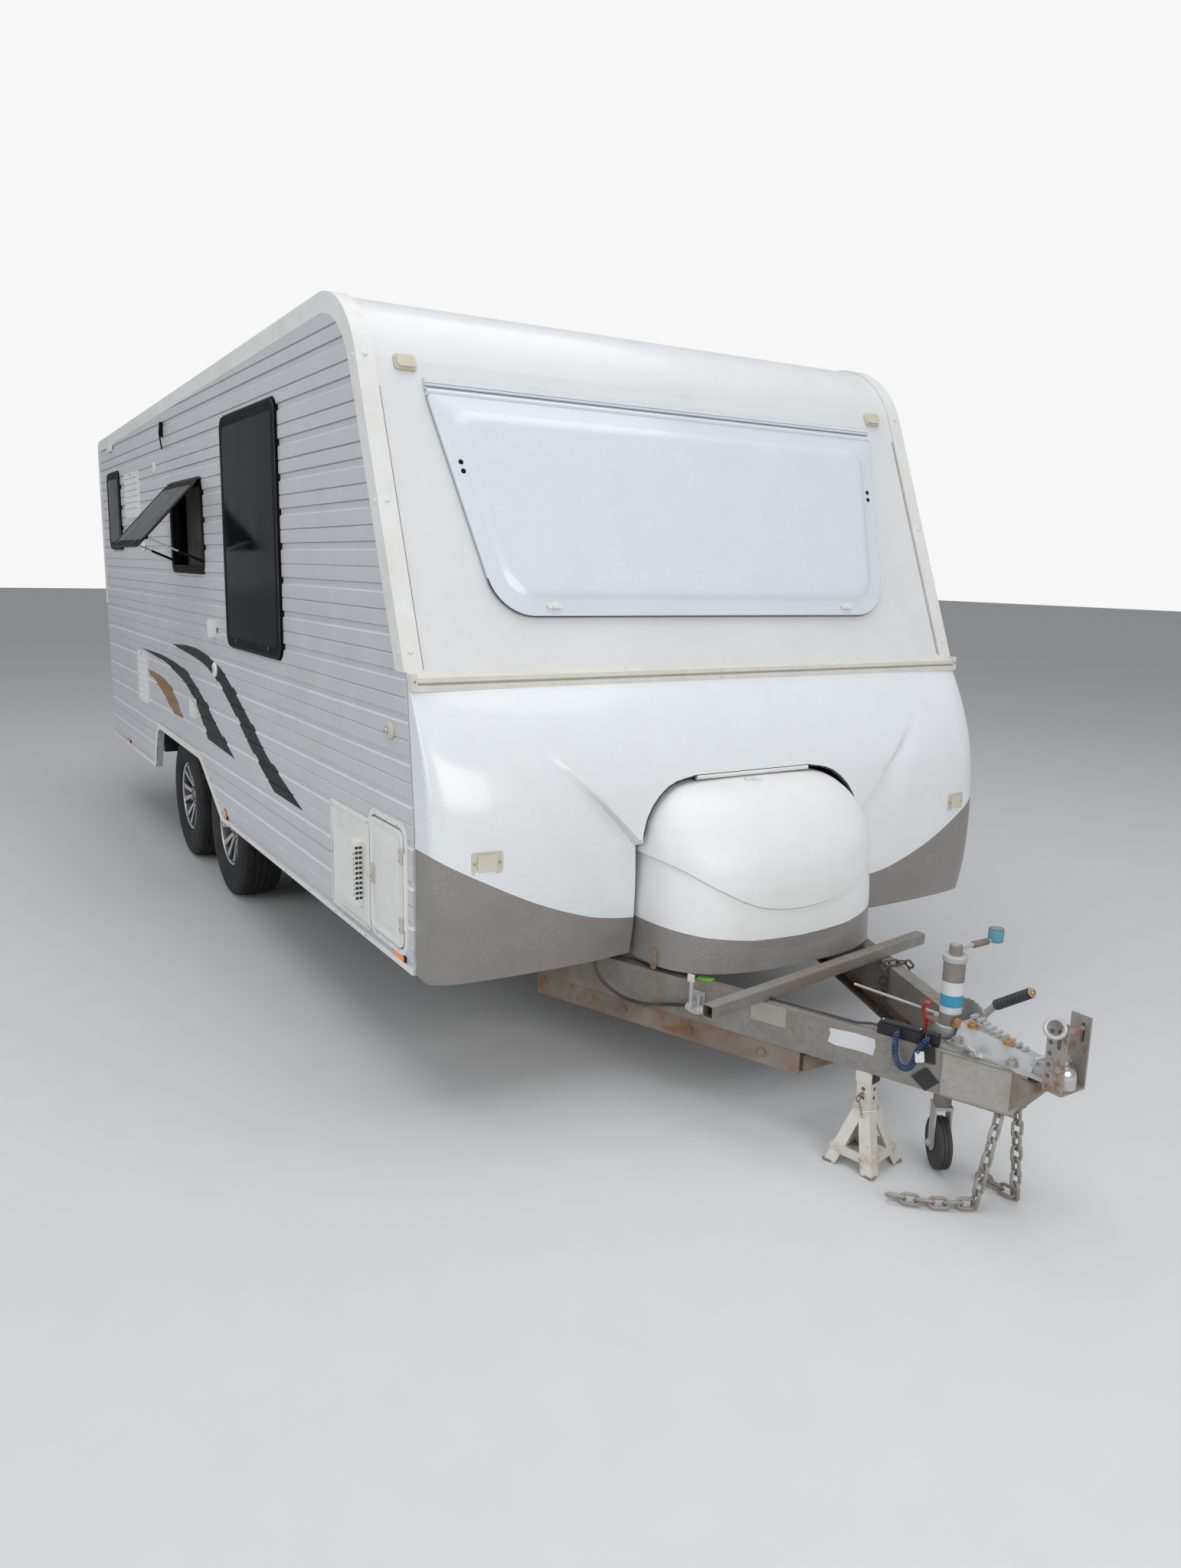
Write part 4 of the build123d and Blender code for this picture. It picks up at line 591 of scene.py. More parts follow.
def rounded(width, height, radius, cx=0.0, cy=0.0, steps=5):
    points = []
    for sx, sy, start in ((1, 1, 0), (-1, 1, 90), (-1, -1, 180), (1, -1, 270)):
        for k in range(steps + 1):
            a = math.radians(start + 90 * k / steps)
            points.append((cx + sx * (width / 2 - radius) + radius * math.cos(a),
                           cy + sy * (height / 2 - radius) + radius * math.sin(a)))
    return points


def fillet_corner(before, corner, after, radius, steps=8):
    b, c, a = Vector(before), Vector(corner), Vector(after)
    u, v = (b - c).normalized(), (a - c).normalized()
    half_angle = math.acos(max(-1, min(1, u.dot(v)))) / 2
    reach = radius / math.tan(half_angle)
    centre = c + (u + v).normalized() * (radius / math.sin(half_angle))
    p, q = c + u * reach - centre, c + v * reach - centre
    full = p.angle_signed(q)
    points = []
    for k in range(steps + 1):
        t = -full * k / steps
        turned = Vector((p.x * math.cos(t) - p.y * math.sin(t), p.x * math.sin(t) + p.y * math.cos(t)))
        points.append(tuple(centre + turned))
    return points


print("frames and outlines ready")


# %% Bits
class Bits:
    def __init__(self):
        self.verts, self.faces, self.slots = [], [], []

    def add(self, verts, faces, slot=0, at=None):
        base = len(self.verts)
        self.verts += [tuple(at @ Vector(v)) if at else tuple(v) for v in verts]
        self.faces += [tuple(base + i for i in face) for face in faces]
        self.slots += [slot] * len(faces)

    def box(self, centre, size, slot=0, at=None):
        x, y, z = (s / 2 for s in size)
        cx, cy, cz = centre
        verts = [(cx + i * x, cy + j * y, cz + k * z) for k in (-1, 1) for j in (-1, 1) for i in (-1, 1)]
        faces = [(0, 2, 3, 1), (4, 5, 7, 6), (0, 1, 5, 4), (2, 6, 7, 3), (0, 4, 6, 2), (1, 3, 7, 5)]
        self.add(verts, faces, slot, at)

    def prism(self, outline, low, high, slot=0, at=None):
        count = len(outline)
        faces = [tuple(range(count))[::-1], tuple(range(count, 2 * count))] + loop_faces(2, count)
        self.add(at_height(outline, low) + at_height(outline, high), faces, slot, at)

    def shell(self, loops, slot=0, at=None, cap=False):
        count = len(loops[0])
        faces = loop_faces(len(loops), count)
        if cap:
            faces.append(tuple(range((len(loops) - 1) * count, len(loops) * count)))
        self.add([point for loop in loops for point in loop], faces, slot, at)

    def lathe(self, profile, slot=0, at=None, sides=20, caps=True):
        verts = [(*polar(r, 2 * math.pi * k / sides), z) for r, z in profile for k in range(sides)]
        faces = loop_faces(len(profile), sides)
        if caps:
            faces.append(tuple(range(sides))[::-1])
            faces.append(tuple(range((len(profile) - 1) * sides, len(profile) * sides)))
        self.add(verts, faces, slot, at)

    def tube(self, line, radius, slot=0, sides=8, at=None, closed=False):
        mesh = tube_mesh("part", [Vector(p) for p in line], radius, sides, closed)
        self.add([v.co.copy() for v in mesh.vertices], [tuple(p.vertices) for p in mesh.polygons], slot, at)
        bpy.data.meshes.remove(mesh)

    def ring(self, radius, wire, slot=0, at=None, turns=24, sides=8, long=0.0):
        angles = [2 * math.pi * k / turns for k in range(turns)]
        line = [(radius * math.cos(a) + math.copysign(long / 2, math.cos(a)), radius * math.sin(a), 0)
                for a in angles]
        self.tube(line, wire, slot, sides, at, closed=True)

    def bolt(self, centre, axis, size, height, slot=0):
        at = frame_at(centre, x=Vector(axis).orthogonal(), z=axis)
        self.lathe([(size * 1.5, 0), (size * 1.5, 0.0016), (size * 0.5, 0.0017)], slot, at, 16)
        self.prism(hexagon(size / math.cos(math.pi / 6)), 0.001, height, slot, at)
        shank = [(size * 0.55, height - 0.001), (size * 0.55, height + size * 0.5),
                 (size * 0.4, height + size * 0.62)]
        self.lathe(shank, slot, at, 12)

    def screw(self, centre, axis, radius, slot=0):
        at = frame_at(centre, x=Vector(axis).orthogonal(), z=axis)
        head = [(radius, 0), (radius, radius * 0.25), (radius * 0.75, radius * 0.6),
                (radius * 0.3, radius * 0.72)]
        self.lathe(head, slot, at, 12)

    def make(self, name, looks, body="caravan", replaces=(), bevel=0.0, angle=35):
        mesh = bpy.data.meshes.new(name)
        mesh.from_pydata(self.verts, [], self.faces)
        mesh.polygons.foreach_set("material_index", self.slots)
        mesh.validate()
        face_outward(mesh)
        for look in looks:
            mesh.materials.append(M[look])
        mesh.shade_smooth()
        mesh.set_sharp_from_angle(angle=math.radians(angle))
        obj = new_object(name, mesh)
        if bevel:
            edge = obj.modifiers.new("edge", "BEVEL")
            edge.width = bevel
            edge.segments = 2
            edge.limit_method = "ANGLE"
            edge.angle_limit = math.radians(50)
            edge.harden_normals = True
        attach(obj, body)
        if replaces:
            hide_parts(*replaces)
        return obj


print("Bits can make boxes, prisms, shells, turned forms, tubes, rings, bolts and screws")


# %% [markdown]
# ## Ribbed cladding
# The walls are roll-formed sheet with a repeat of 125.4 mm: a sharp step, a recessed flat, a slope out, and
# a proud flat with a fine groove. The sheet is cut into level strips at every height where the profile or
# the outline bends, and each strip is filled between the crossings of the outline, so that the ribs stay
# straight at any opening. Strips on a step that faces down take a darker copy of the sheet as painted shade,
# and strips on a step that faces up take a paler copy as painted highlight.

# %% Cladding
PERIOD, RIB_TOP, FOOT, SHOWING_STEP = 0.1254, 1.859, 0.0005, 0.002
RIB = [(0.0, 0.0075), (0.003, 0.0012), (0.023, 0.0012), (0.029, 0.0075), (0.0755, 0.0075), (0.079, 0.0034),
       (0.0825, 0.0075), (0.1254, 0.0075)]
QUAD = [(0, 1, 2, 3)]


def rib_out(z):
    down = (RIB_TOP - z) % PERIOD
    for (a, p), (b, q) in zip(RIB, RIB[1:]):
        if a <= down <= b:
            return p + (q - p) * (down - a) / (b - a)
    return RIB[-1][1]


def strip_levels(polygons, low, high):
    levels = {z for polygon in polygons for _, z in polygon}
    k = math.floor((RIB_TOP - high) / PERIOD) - 1
    while RIB_TOP - k * PERIOD > low - PERIOD:
        levels |= {RIB_TOP - k * PERIOD - down for down, _ in RIB[:-1]}
        k += 1
    levels = sorted(z for z in levels if low - 1e-9 <= z <= high + 1e-9)
    clean = [levels[0]]
    for z in levels[1:]:
        if z - clean[-1] > 0.0002:
            clean.append(z)
    return clean


def strip_sheet(bits, polygons, to_world, lift, slot, low, high, edges=True):
    levels = strip_levels(polygons, low, high)
    for z0, z1 in zip(levels, levels[1:]):
        mid = (z0 + z1) / 2
        cuts = []
        for polygon in polygons:
            for (xa, za), (xb, zb) in zip(polygon, polygon[1:] + polygon[:1]):
                if min(za, zb) < mid < max(za, zb):
                    cuts.append(tuple(xa + (xb - xa) * (z - za) / (zb - za) for z in (mid, z0, z1)))
        cuts.sort()
        out0, out1 = rib_out(z0 + 1e-6) + lift, rib_out(z1 - 1e-6) + lift
        step = out1 - out0
        # Strips of a step that faces down take the darker copy (slot + 1) as painted shade, strips of a step
        # that faces up take the paler copy (slot + 2) as painted highlight.
        shade = 0 if not edges or abs(step) < SHOWING_STEP else (1 if step > 0 else 2)
        for left, right in zip(cuts[::2], cuts[1::2]):
            quad = [to_world(left[1], z0, out0), to_world(right[1], z0, out0),
                    to_world(right[2], z1, out1), to_world(left[2], z1, out1)]
            bits.add(quad, QUAD, slot + shade)
            if not edges:
                continue
            for x0, x1 in (left[1:], right[1:]):
                bits.add([to_world(x0, z0, out0), to_world(x1, z1, out1), to_world(x1, z1, FOOT),
                          to_world(x0, z0, FOOT)], QUAD, slot)
            if z0 <= low + 1e-4:
                bits.add([quad[0], quad[1], to_world(right[1], z0, FOOT), to_world(left[1], z0, FOOT)], QUAD,
                         slot)


def hermite(s, start, start_slope, end, end_slope):
    return ((2 * s**3 - 3 * s**2 + 1) * start + (s**3 - 2 * s**2 + s) * start_slope
            + (-2 * s**3 + 3 * s**2) * end + (s**3 - s**2) * end_slope)


def smooth_closed(points, sharp=(), steps=5):
    out = []
    count = len(points)
    for i in range(count):
        p0, p1, p2, p3 = (Vector(points[(i + k) % count]) for k in (-1, 0, 1, 2))
        t1 = (p2 - p0) * 0.5 if i not in sharp else (p2 - p1)
        t2 = (p3 - p1) * 0.5 if (i + 1) % count not in sharp else (p2 - p1)
        reach = (p2 - p1).length
        t1 = t1 * min(1, reach / max(t1.length, 1e-9))
        t2 = t2 * min(1, reach / max(t2.length, 1e-9))
        out += [tuple(hermite(k / steps, p1, t1, p2, t2)) for k in range(steps)]
    return out


def slope_z(x):
    return BELT_Z - x * RISE / RUN


def hole(x0, x1, z0, z1, radius=0.055, inset=0.006):
    return rounded(abs(x1 - x0) - 2 * inset, z1 - z0 - 2 * inset, radius, (x0 + x1) / 2, (z0 + z1) / 2, 5)


WALL_TOP, REAR_TOP, ROOF_FALL = 2.415, 2.298, 97 / 4480
apex_x = (BELT_Z - (WALL_TOP - ROOF_FALL * REAR_X)) / (RISE / RUN + ROOF_FALL)
roof_curve = fillet_corner((0, BELT_Z), (apex_x, slope_z(apex_x)), (REAR_X, WALL_TOP), 0.35, 14)
inset_outline = [(-5.376, 0.436), (0.046, 0.436), (0.046, KNEE_Z), (-0.003, BELT_Z)]
inset_outline += [(x - 0.002, z - 0.004) for x, z in roof_curve] + [(-5.376, 2.411)]
arch = [(-3.9, 0.434), (-3.8, 0.64), (-3.74, 0.69), (-2.72, 0.67), (-2.31, 0.434)]
arch_edge = arch[:1]
for i, radius, steps in ((1, 0.08, 6), (2, 0.08, 6), (3, 0.16, 8)):
    arch_edge += fillet_corner(*arch[i - 1:i + 2], radius, steps)
arch_edge += arch[-1:]
WINDOWS = [(-1, -2.033, -1.204, 1.286, 2.266), (-1, -3.152, -2.426, 1.595, 2.046),
           (-1, -5.038, -4.597, 1.714, 2.2), (1, -1.75, -0.95, 1.43, 2.046), (1, -3.25, -2.35, 1.48, 2.046)]
HINGED = WINDOWS[1]
locker_hole, door_hole = hole(-0.3, -0.01, 0.49, KNEE_Z, 0.04, 0.0), hole(-4.98, -4.36, 0.56, 2.25, 0.07, 0.0)
stripe_one = [(-3.295, 1.213), (-2.748, 1.23), (-2.25, 1.183), (-2.034, 1.114), (-1.77, 1.006),
              (-1.47, 0.871), (-1.247, 0.806), (-1.015, 0.738), (-1.396, 0.742), (-1.722, 0.868),
              (-1.981, 0.989), (-2.264, 1.101), (-2.582, 1.171)]
stripe_two = [(-4.155, 1.129), (-3.48, 1.131), (-2.965, 1.096), (-2.613, 1.004), (-2.3, 0.881),
              (-2.011, 0.781), (-2.52, 0.8), (-2.716, 0.93), (-2.979, 1.03), (-3.489, 1.096)]
stripe_three = [(-3.988, 1.017), (-3.512, 1.001), (-3.205, 0.918), (-3.091, 0.83), (-3.33, 0.83),
                (-3.588, 0.923), (-3.933, 0.985)]
for side, name, opening in ((-1, "right", locker_hole), (1, "left", door_hole)):
    holes = [arch_edge] + [hole(*window[1:]) for window in WINDOWS if window[0] == side] + [opening]
    sheet = Bits()
    to_world = lambda x, z, out, side=side: place(x, side * (HALF + out), z)
    strip_sheet(sheet, [inset_outline] + holes, to_world, 0.0, 0, 0.436, 2.53)
    sheet.make(name + "_cladding", ["cladding", "painted_step_shade", "painted_step_highlight"], angle=20)
    stripes = Bits()
    for slot, points, sharp in ((0, stripe_one, (0, 7, 8)), (0, stripe_two, (0, 5, 6)),
                                (1, stripe_three, (0, 3, 4))):
        shape = smooth_closed(points, sharp)
        heights = [z for _, z in shape]
        strip_sheet(stripes, [shape], to_world, 0.0004, slot, min(heights), max(heights), False)
    stripes.make(name + "_stripes", ["stripe", "stripe_gold"], angle=20)
sheet = Bits()
rear_outline = [(-1.158, 0.436), (1.158, 0.436), (1.158, REAR_TOP), (-1.158, REAR_TOP)]
rear_hole = rounded(1.088, 0.468, 0.055, 0, 1.74, 5)
strip_sheet(sheet, [rear_outline, rear_hole], lambda y, z, out: place(REAR_X - out, y, z),
            0.0, 0, 0.436, REAR_TOP)
sheet.make("rear_cladding", ["cladding", "painted_step_shade", "painted_step_highlight"], angle=20)

# %% [markdown]
# ## Moulded front
# The lower front is one glass-fibre moulding with a scoop each side of the gas cover. Its face is a grid
# whose columns follow the scoop's crease and ridge and whose rows follow the grey band's edge, so both stay
# crisp with few faces. A sculpted mesh could do the same, but a grid keeps every line where it was
# measured.


# %% Grid helpers
def table(points, at):
    if at <= points[0][0]:
        return points[0][1]
    for (a, p), (b, q) in zip(points, points[1:]):
        if at <= b:
            t = (at - a) / (b - a)
            return p + (q - p) * t
    return points[-1][1]


def soft_table(points, at):
    xs = [p[0] for p in points]
    if at <= xs[0] or at >= xs[-1]:
        return table(points, at)
    i = max(k for k in range(len(xs) - 1) if xs[k] <= at)

    def grade(k):
        a, b = points[max(k - 1, 0)], points[min(k + 1, len(points) - 1)]
        return (b[1] - a[1]) / (b[0] - a[0])

    h = xs[i + 1] - xs[i]
    return hermite((at - xs[i]) / h, points[i][1], h * grade(i), points[i + 1][1], h * grade(i + 1))


def smooth_step(s):
    s = max(0.0, min(1.0, s))
    return s * s * (3 - 2 * s)


def grid_faces(rows, cols, flip=False):
    corners = [i * cols + j for i in range(rows - 1) for j in range(cols - 1)]
    faces = [(a, a + 1, a + cols + 1, a + cols) for a in corners]
    return [face[::-1] for face in faces] if flip else faces


side_profile = [(0.435, 0.195), (0.54, 0.2215), (0.64, 0.233), (0.75, 0.236), (0.86, 0.232), (0.95, 0.22),
                (1.012, 0.206), (1.09, 0.176), (1.17, 0.132), (1.24, 0.083), (1.3, 0.034)]
corner_plan = [(0.0, 1.0), (0.482, 1.0), (0.66, 0.998), (0.84, 0.985), (0.96, 0.95), (1.06, 0.895),
               (1.1, 0.85), (1.13, 0.79), (1.148, 0.73), (1.158, 0.66), (1.16, 0.6)]
crease = [(0.435, 0.44), (0.8, 0.452), (0.83, 0.482), (0.945, 0.59), (1.09, 0.73), (1.19, 0.825), (1.3, 0.9)]
ridge = [(0.435, 0.66), (0.62, 0.665), (0.76, 0.695), (0.932, 0.75), (1.09, 0.825),
         (1.19, 0.88), (1.3, 0.945)]
scoop = [(0.435, 0.021), (0.6, 0.036), (0.815, 0.044), (0.945, 0.034), (1.09, 0.014), (1.19, 0.0), (1.3, 0.0)]
band_edge = [(0.454, 0.559), (0.56, 0.577), (0.675, 0.605), (0.852, 0.672), (1.031, 0.762),
             (1.129, 0.815), (1.16, 0.835)]
opening = [(0.435, 0.468), (0.8, 0.468), (0.845, 0.464), (0.89, 0.45), (0.93, 0.425), (0.965, 0.39),
           (0.99, 0.352), (1.006, 0.305), (1.0135, 0.245)]
RECESS_TOP, RECESS_HALF, TOP_Z, LIP = 1.0135, 0.245, 1.3, 0.016
rim_ys = [1.06, 1.082, 1.1, 1.116, 1.13, 1.14, 1.148, 1.154, 1.158, 1.1595, HALF]


def front_x_at(y, z):
    depth = 0.0
    start, end = table(crease, z), table(ridge, z)
    if y > start:
        s = min(1.0, (y - start) / (end - start))
        soft = 0.014 + 0.06 * smooth_step((z - 0.9) / 0.25)
        depth = table(scoop, z) * smooth_step((y - start) / soft) * (1 - s) ** 1.5
    return min(0.2365, soft_table(side_profile, z) * soft_table(corner_plan, y)) - depth


def wall_x_at(z):
    return 0.05 if z <= KNEE_Z else 0.05 * (BELT_Z - z) / (BELT_Z - KNEE_Z)


def columns(z, first):
    start = max(table(crease, z), first + 0.004)
    keys = [(0.0, 4)] if first == 0 else []
    keys += [(first if first else RECESS_HALF, 10), (start, 4), (start + 0.014, 14)]
    keys += [(max(table(ridge, z), start + 0.03), 12), (rim_ys[0], 10)]
    ys = []
    for (a, count), (b, _) in zip(keys, keys[1:]):
        ys += [a + (b - a) * k / count for k in range(count)]
    return ys + rim_ys


def row_height(y, i, low_rows, high_rows):
    edge = soft_table(band_edge, y)
    if i <= low_rows:
        return SKIRT_Z + (edge - SKIRT_Z) * i / low_rows
    return edge + (RECESS_TOP - edge) * (i - low_rows) / high_rows


def edge_strips(bits, edge, side, lip):
    count = len(edge)
    for lead, depth, slot in ((0.0, lip, 0), (lip, 0.15, 2)):
        verts = [place(x - back, side * y, z) for back in (lead, depth) for x, y, z in edge]
        bits.add(verts, [(i, i + 1, count + i + 1, count + i) for i in range(count - 1)], slot)


def moulding_grid(bits, side, low_rows, high_rows, upper):
    points = []
    total = low_rows + high_rows + 1
    for i in range(total):
        z = RECESS_TOP + (TOP_Z - RECESS_TOP) * i / (total - 1) if upper else 0.75
        row = []
        for j in range(len(columns(z, 0.0 if upper else table(opening, z)))):
            for _ in range(6):
                y = columns(z, 0.0 if upper else table(opening, z))[j]
                z = z if upper else row_height(y, i, low_rows, high_rows)
            row.append((front_x_at(y, z), y, z))
        x, y, z = row[-1]
        row += [(x + (wall_x_at(z) - x) * t, HALF, z) for t in (0.1, 0.4, 1.0)]
        points += row
        cols = len(row)
    base = len(bits.verts)
    faces = grid_faces(total, cols, side > 0)
    bits.verts += [tuple(place(x, side * y, z)) for x, y, z in points]
    bits.faces += [tuple(base + v for v in face) for face in faces]
    bits.slots += [0 if upper or k // (cols - 1) >= low_rows else 1 for k in range(len(faces))]
    if upper:
        edge_strips(bits, [p for p in points[:cols] if p[1] <= RECESS_HALF + 0.0001], side, 0.01)
        return
    bottom = points[:cols]
    verts = [place(x, side * y, z) for x, y, z in bottom] + [place(0.05, side * y, 0.437) for _, y,
                                                             _ in bottom]
    bits.add(verts, [(j, j + 1, cols + j + 1, cols + j) for j in range(cols - 1)], 2)
    edge_strips(bits, points[::cols], side, LIP)


# %% Lower moulding
front = Bits()
for side in (-1, 1):
    moulding_grid(front, side, 10, 34, False)
    moulding_grid(front, side, 0, 20, True)
lower_front = front.make("front_moulding_look", ["moulded", "band", "black"],
                         replaces=("front_lower_moulding",), angle=38)
face_outward(lower_front.data, merge=0.0002)
lower_front.data.set_sharp_from_angle(angle=math.radians(38))
seal = Bits()
half_edge = [(y, z) for z, y in opening if z > 0.7]
edge = [(-y, z) for y, z in half_edge] + [(0.0, RECESS_TOP)] + half_edge[::-1]
seal.tube([place(front_x_at(abs(y), z) - 0.004, y - math.copysign(0.003, y), z - 0.002) for y, z in edge],
          0.0045)
seal.make("recess_seal", ["rubber"])
print("moulding:", len(lower_front.data.polygons), "faces")

# %% [markdown]
# ## Gas cover
# A vacuum-formed hood: flat top, soft front break, an upper lobe that ends in a smile-shaped crease, and a
# grey border. Rows follow the crease and the border, columns follow the bow of its plan.

# %% Gas cover
cover_plan = [(0.0, 1.0), (0.12, 1.0), (0.26, 0.999), (0.42, 0.985), (0.56, 0.955), (0.68, 0.9), (0.78, 0.82),
              (0.86, 0.715), (0.92, 0.595), (0.962, 0.455), (0.986, 0.31), (0.997, 0.155), (1.0, 0.0)]
cover_side = [(0.423, 0.499), (0.47, 0.4945), (0.52, 0.4905), (0.605, 0.489), (0.68, 0.486), (0.74, 0.476),
              (0.78, 0.463), (0.82, 0.443), (0.87, 0.41), (0.92, 0.368), (0.96, 0.319), (0.982, 0.272),
              (0.991, 0.232), (0.994, 0.2)]
cover_wide = [(0.423, 0.452), (0.6, 0.455), (0.78, 0.4545), (0.83, 0.449), (0.87, 0.438), (0.905, 0.418),
              (0.935, 0.392), (0.96, 0.362), (0.978, 0.33), (0.988, 0.296), (0.994, 0.25)]
smile = [(0.0, 0.605), (0.1, 0.612), (0.2, 0.635), (0.33, 0.7), (0.4, 0.745), (0.455, 0.775)]
border = [(0.0, 0.515), (0.2, 0.522), (0.35, 0.54), (0.455, 0.562)]
COVER_BACK, COVER_LOW, COVER_TOP, COVER_HALF, STEP_BACK = 0.121, 0.423, 0.994, 0.455, 0.012
ROWS_LOW, ROWS_MID, ROWS_HIGH = 5, 9, 26


def cover_point(nx, ny, z, under):
    x = COVER_BACK + (table(cover_side, z) - COVER_BACK) * nx
    y = table(cover_wide, z) * ny
    return x - under * min(1, nx * 1.2), y - under * ny, z


def cover_height(i, border_z, crease_z):
    if i <= ROWS_LOW:
        return COVER_LOW + (border_z - COVER_LOW) * i / ROWS_LOW
    if i <= ROWS_LOW + ROWS_MID:
        return border_z + (crease_z - 0.004 - border_z) * (i - ROWS_LOW) / ROWS_MID
    t = (i - ROWS_LOW - ROWS_MID - 1) / ROWS_HIGH
    t += (t - t * t) * 0.35
    return crease_z + 0.004 + (COVER_TOP - crease_z - 0.004) * t


plan = []
for (a, _), (b, _) in zip(cover_plan, cover_plan[1:]):
    plan += [a + (b - a) * k / 3 for k in range(3)]
plan = [(nx, soft_table(cover_plan, nx)) for nx in plan]
plan += [(1.0, 0.0)] + [(nx, -ny) for nx, ny in reversed(plan)]
cols, rows = len(plan), ROWS_LOW + ROWS_MID + ROWS_HIGH + 2
points = []
for i in range(rows):
    for nx, ny in plan:
        width = abs(ny) * COVER_HALF
        crease_z = soft_table(smile, width)
        z = cover_height(i, table(border, width), crease_z)
        under = STEP_BACK * max(0.0, 1 - (crease_z - z) / 0.17) ** 1.5 if i <= ROWS_LOW + ROWS_MID else 0.0
        points.append(cover_point(nx, ny, z, under))
hood = Bits()
hood.verts = [tuple(place(*p)) for p in points]
hood.faces = grid_faces(rows, cols)
hood.slots = [1 if k // (cols - 1) < ROWS_LOW else 0 for k in range(len(hood.faces))]
top = [(rows - 1) * cols + j for j in range(cols)]
mid = cols // 2
hood.faces += [(top[j], top[j + 1], top[cols - 2 - j], top[cols - 1 - j]) for j in range(mid - 1)]
hood.faces.append((top[mid - 1], top[mid], top[cols - mid]))
hood.slots += [0] * mid
inner = [(x - 0.006 * min(1, (x - COVER_BACK) * 9), y * 0.985, z + 0.001) for x, y, z in points[:cols]]
base = len(hood.verts)
hood.verts += [tuple(place(*p)) for p in inner] + [tuple(place(x - 0.002, y, z + 0.09)) for x, y, z in inner]
hood.faces += [(j, j + 1, base + j + 1, base + j) for j in range(cols - 1)]
hood.faces += [(base + j, base + j + 1, base + cols + j + 1, base + cols + j) for j in range(cols - 1)]
hood.slots += [1] * (2 * cols - 2)
cover = hood.make("gas_cover_look", ["cover", "band"], body="gas_cover", replaces=("gas_cover",), angle=48)
grip = Bits()
grip.tube([place(0.245 + 0.012 * math.cos(a), -0.035 + 0.032 * math.sin(a), 0.9905 - 0.004 * math.cos(a))
           for a in [math.pi * k / 10 - math.pi / 2 for k in range(11)]], 0.0035)
grip.lathe([(0.024, 0), (0.02, 0.0016), (0.006, 0.002)], 1, frame_at(place(0.232, -0.035, 0.9915)), 24)
grip.lathe([(0.0078, -0.24), (0.0078, 0.24)], 1, frame_at(place(0.203, 0, 1.0037), z=(0, 1, 0)), 18)
grip.make("cover_grip_and_hinge", ["cover", "trim"], body="gas_cover")
latch = Bits()
at = frame_at(place(0.292, -0.444, 0.441), x=(0.976, 0.216, 0), z=(0.216, -0.976, 0))
latch.prism(rounded(0.026, 0.05, 0.004, 0, 0.014), -0.004, 0.0025, 0, at)
latch.prism(rounded(0.016, 0.062, 0.003, 0, 0.004), 0.0025, 0.011, 0, at)
latch.prism(rounded(0.022, 0.02, 0.003, 0, 0.03), 0.0025, 0.0085, 0, at)
wire = at_height([(-0.008, 0.02), (-0.009, -0.016), (0.009, -0.016), (0.008, 0.02)], 0.0125)
latch.tube(on(at, *wire), 0.0022, 0, 7)
latch.make("cover_latch", ["rusty"], body="gas_cover", bevel=0.0008)
print("gas cover:", len(cover.data.polygons), "faces")

# %% [markdown]
# ## Stone shield
# A pressed panel over the front window. Nested loops of one rounded outline give its rim, its gutter and
# its raised middle, each loop with its own height above the sheet.


# %% Stone shield
def slope_point(z, y, out=0.0):
    return place(-(z - BELT_Z) * RUN / RISE + out * math.cos(SLOPE), y, z + out * math.sin(SLOPE))


def loop_outline(corners, inset, radii, steps=9):
    count = len(corners)
    lines = []
    for i in range(count):
        a, b = Vector(corners[i]), Vector(corners[(i + 1) % count])
        d = (b - a).normalized()
        lines.append((a + Vector((-d.y, d.x)) * inset, d))
    moved = []
    for i in range(count):
        (p, d), (q, e) = lines[i - 1], lines[i]
        moved.append(p + d * ((q - p).cross(e) / d.cross(e)))
    out = []
    for i in range(count):
        out += fillet_corner(moved[i - 1], moved[i], moved[(i + 1) % count],
                             max(0.004, radii[i] - inset * 0.6), steps)
    return out


SHIELD_TOP = 2.19
slope_normal = Vector((math.cos(SLOPE), 0, math.sin(SLOPE)))
slope_frame = frame_at(slope_point(SHIELD_TOP, 0), x=(0, 1, 0), z=slope_normal)
LENGTH = 0.682 / math.cos(SLOPE)
corners = [(-0.958, -0.002), (-0.826, -LENGTH), (0.826, -LENGTH), (0.958, -0.002)]
radii = [0.018, 0.15, 0.15, 0.018]
steps_in = [(0.0, 0.008), (0.0, 0.0165), (0.002, 0.019), (0.006, 0.0198), (0.05, 0.0198), (0.058, 0.0222),
            (0.068, 0.027), (0.08, 0.0294), (0.092, 0.03), (0.13, 0.03)]
panel = Bits()
loops = []
for inset, out in steps_in:
    wide = radii if inset < 0.04 else [max(r, 0.055 + 0.6 * inset) for r in radii]
    loops.append(at_height(loop_outline(corners, inset, wide), out))
panel.shell(loops, 0, slope_frame, cap=True)
panel.faces.append(tuple(range(len(loops[0])))[::-1])
panel.slots.append(0)
barrel = frame_at(slope_frame @ Vector((0, 0, 0.0123)), x=(0, 0, 1), z=(0, 1, 0))
panel.lathe([(0.0118, -0.955), (0.0118, 0.955)], 0, barrel, 18)
panel.make("stone_shield_look", ["shield"], body="stone_shield", replaces=("stone_shield",), angle=30)
details = Bits()
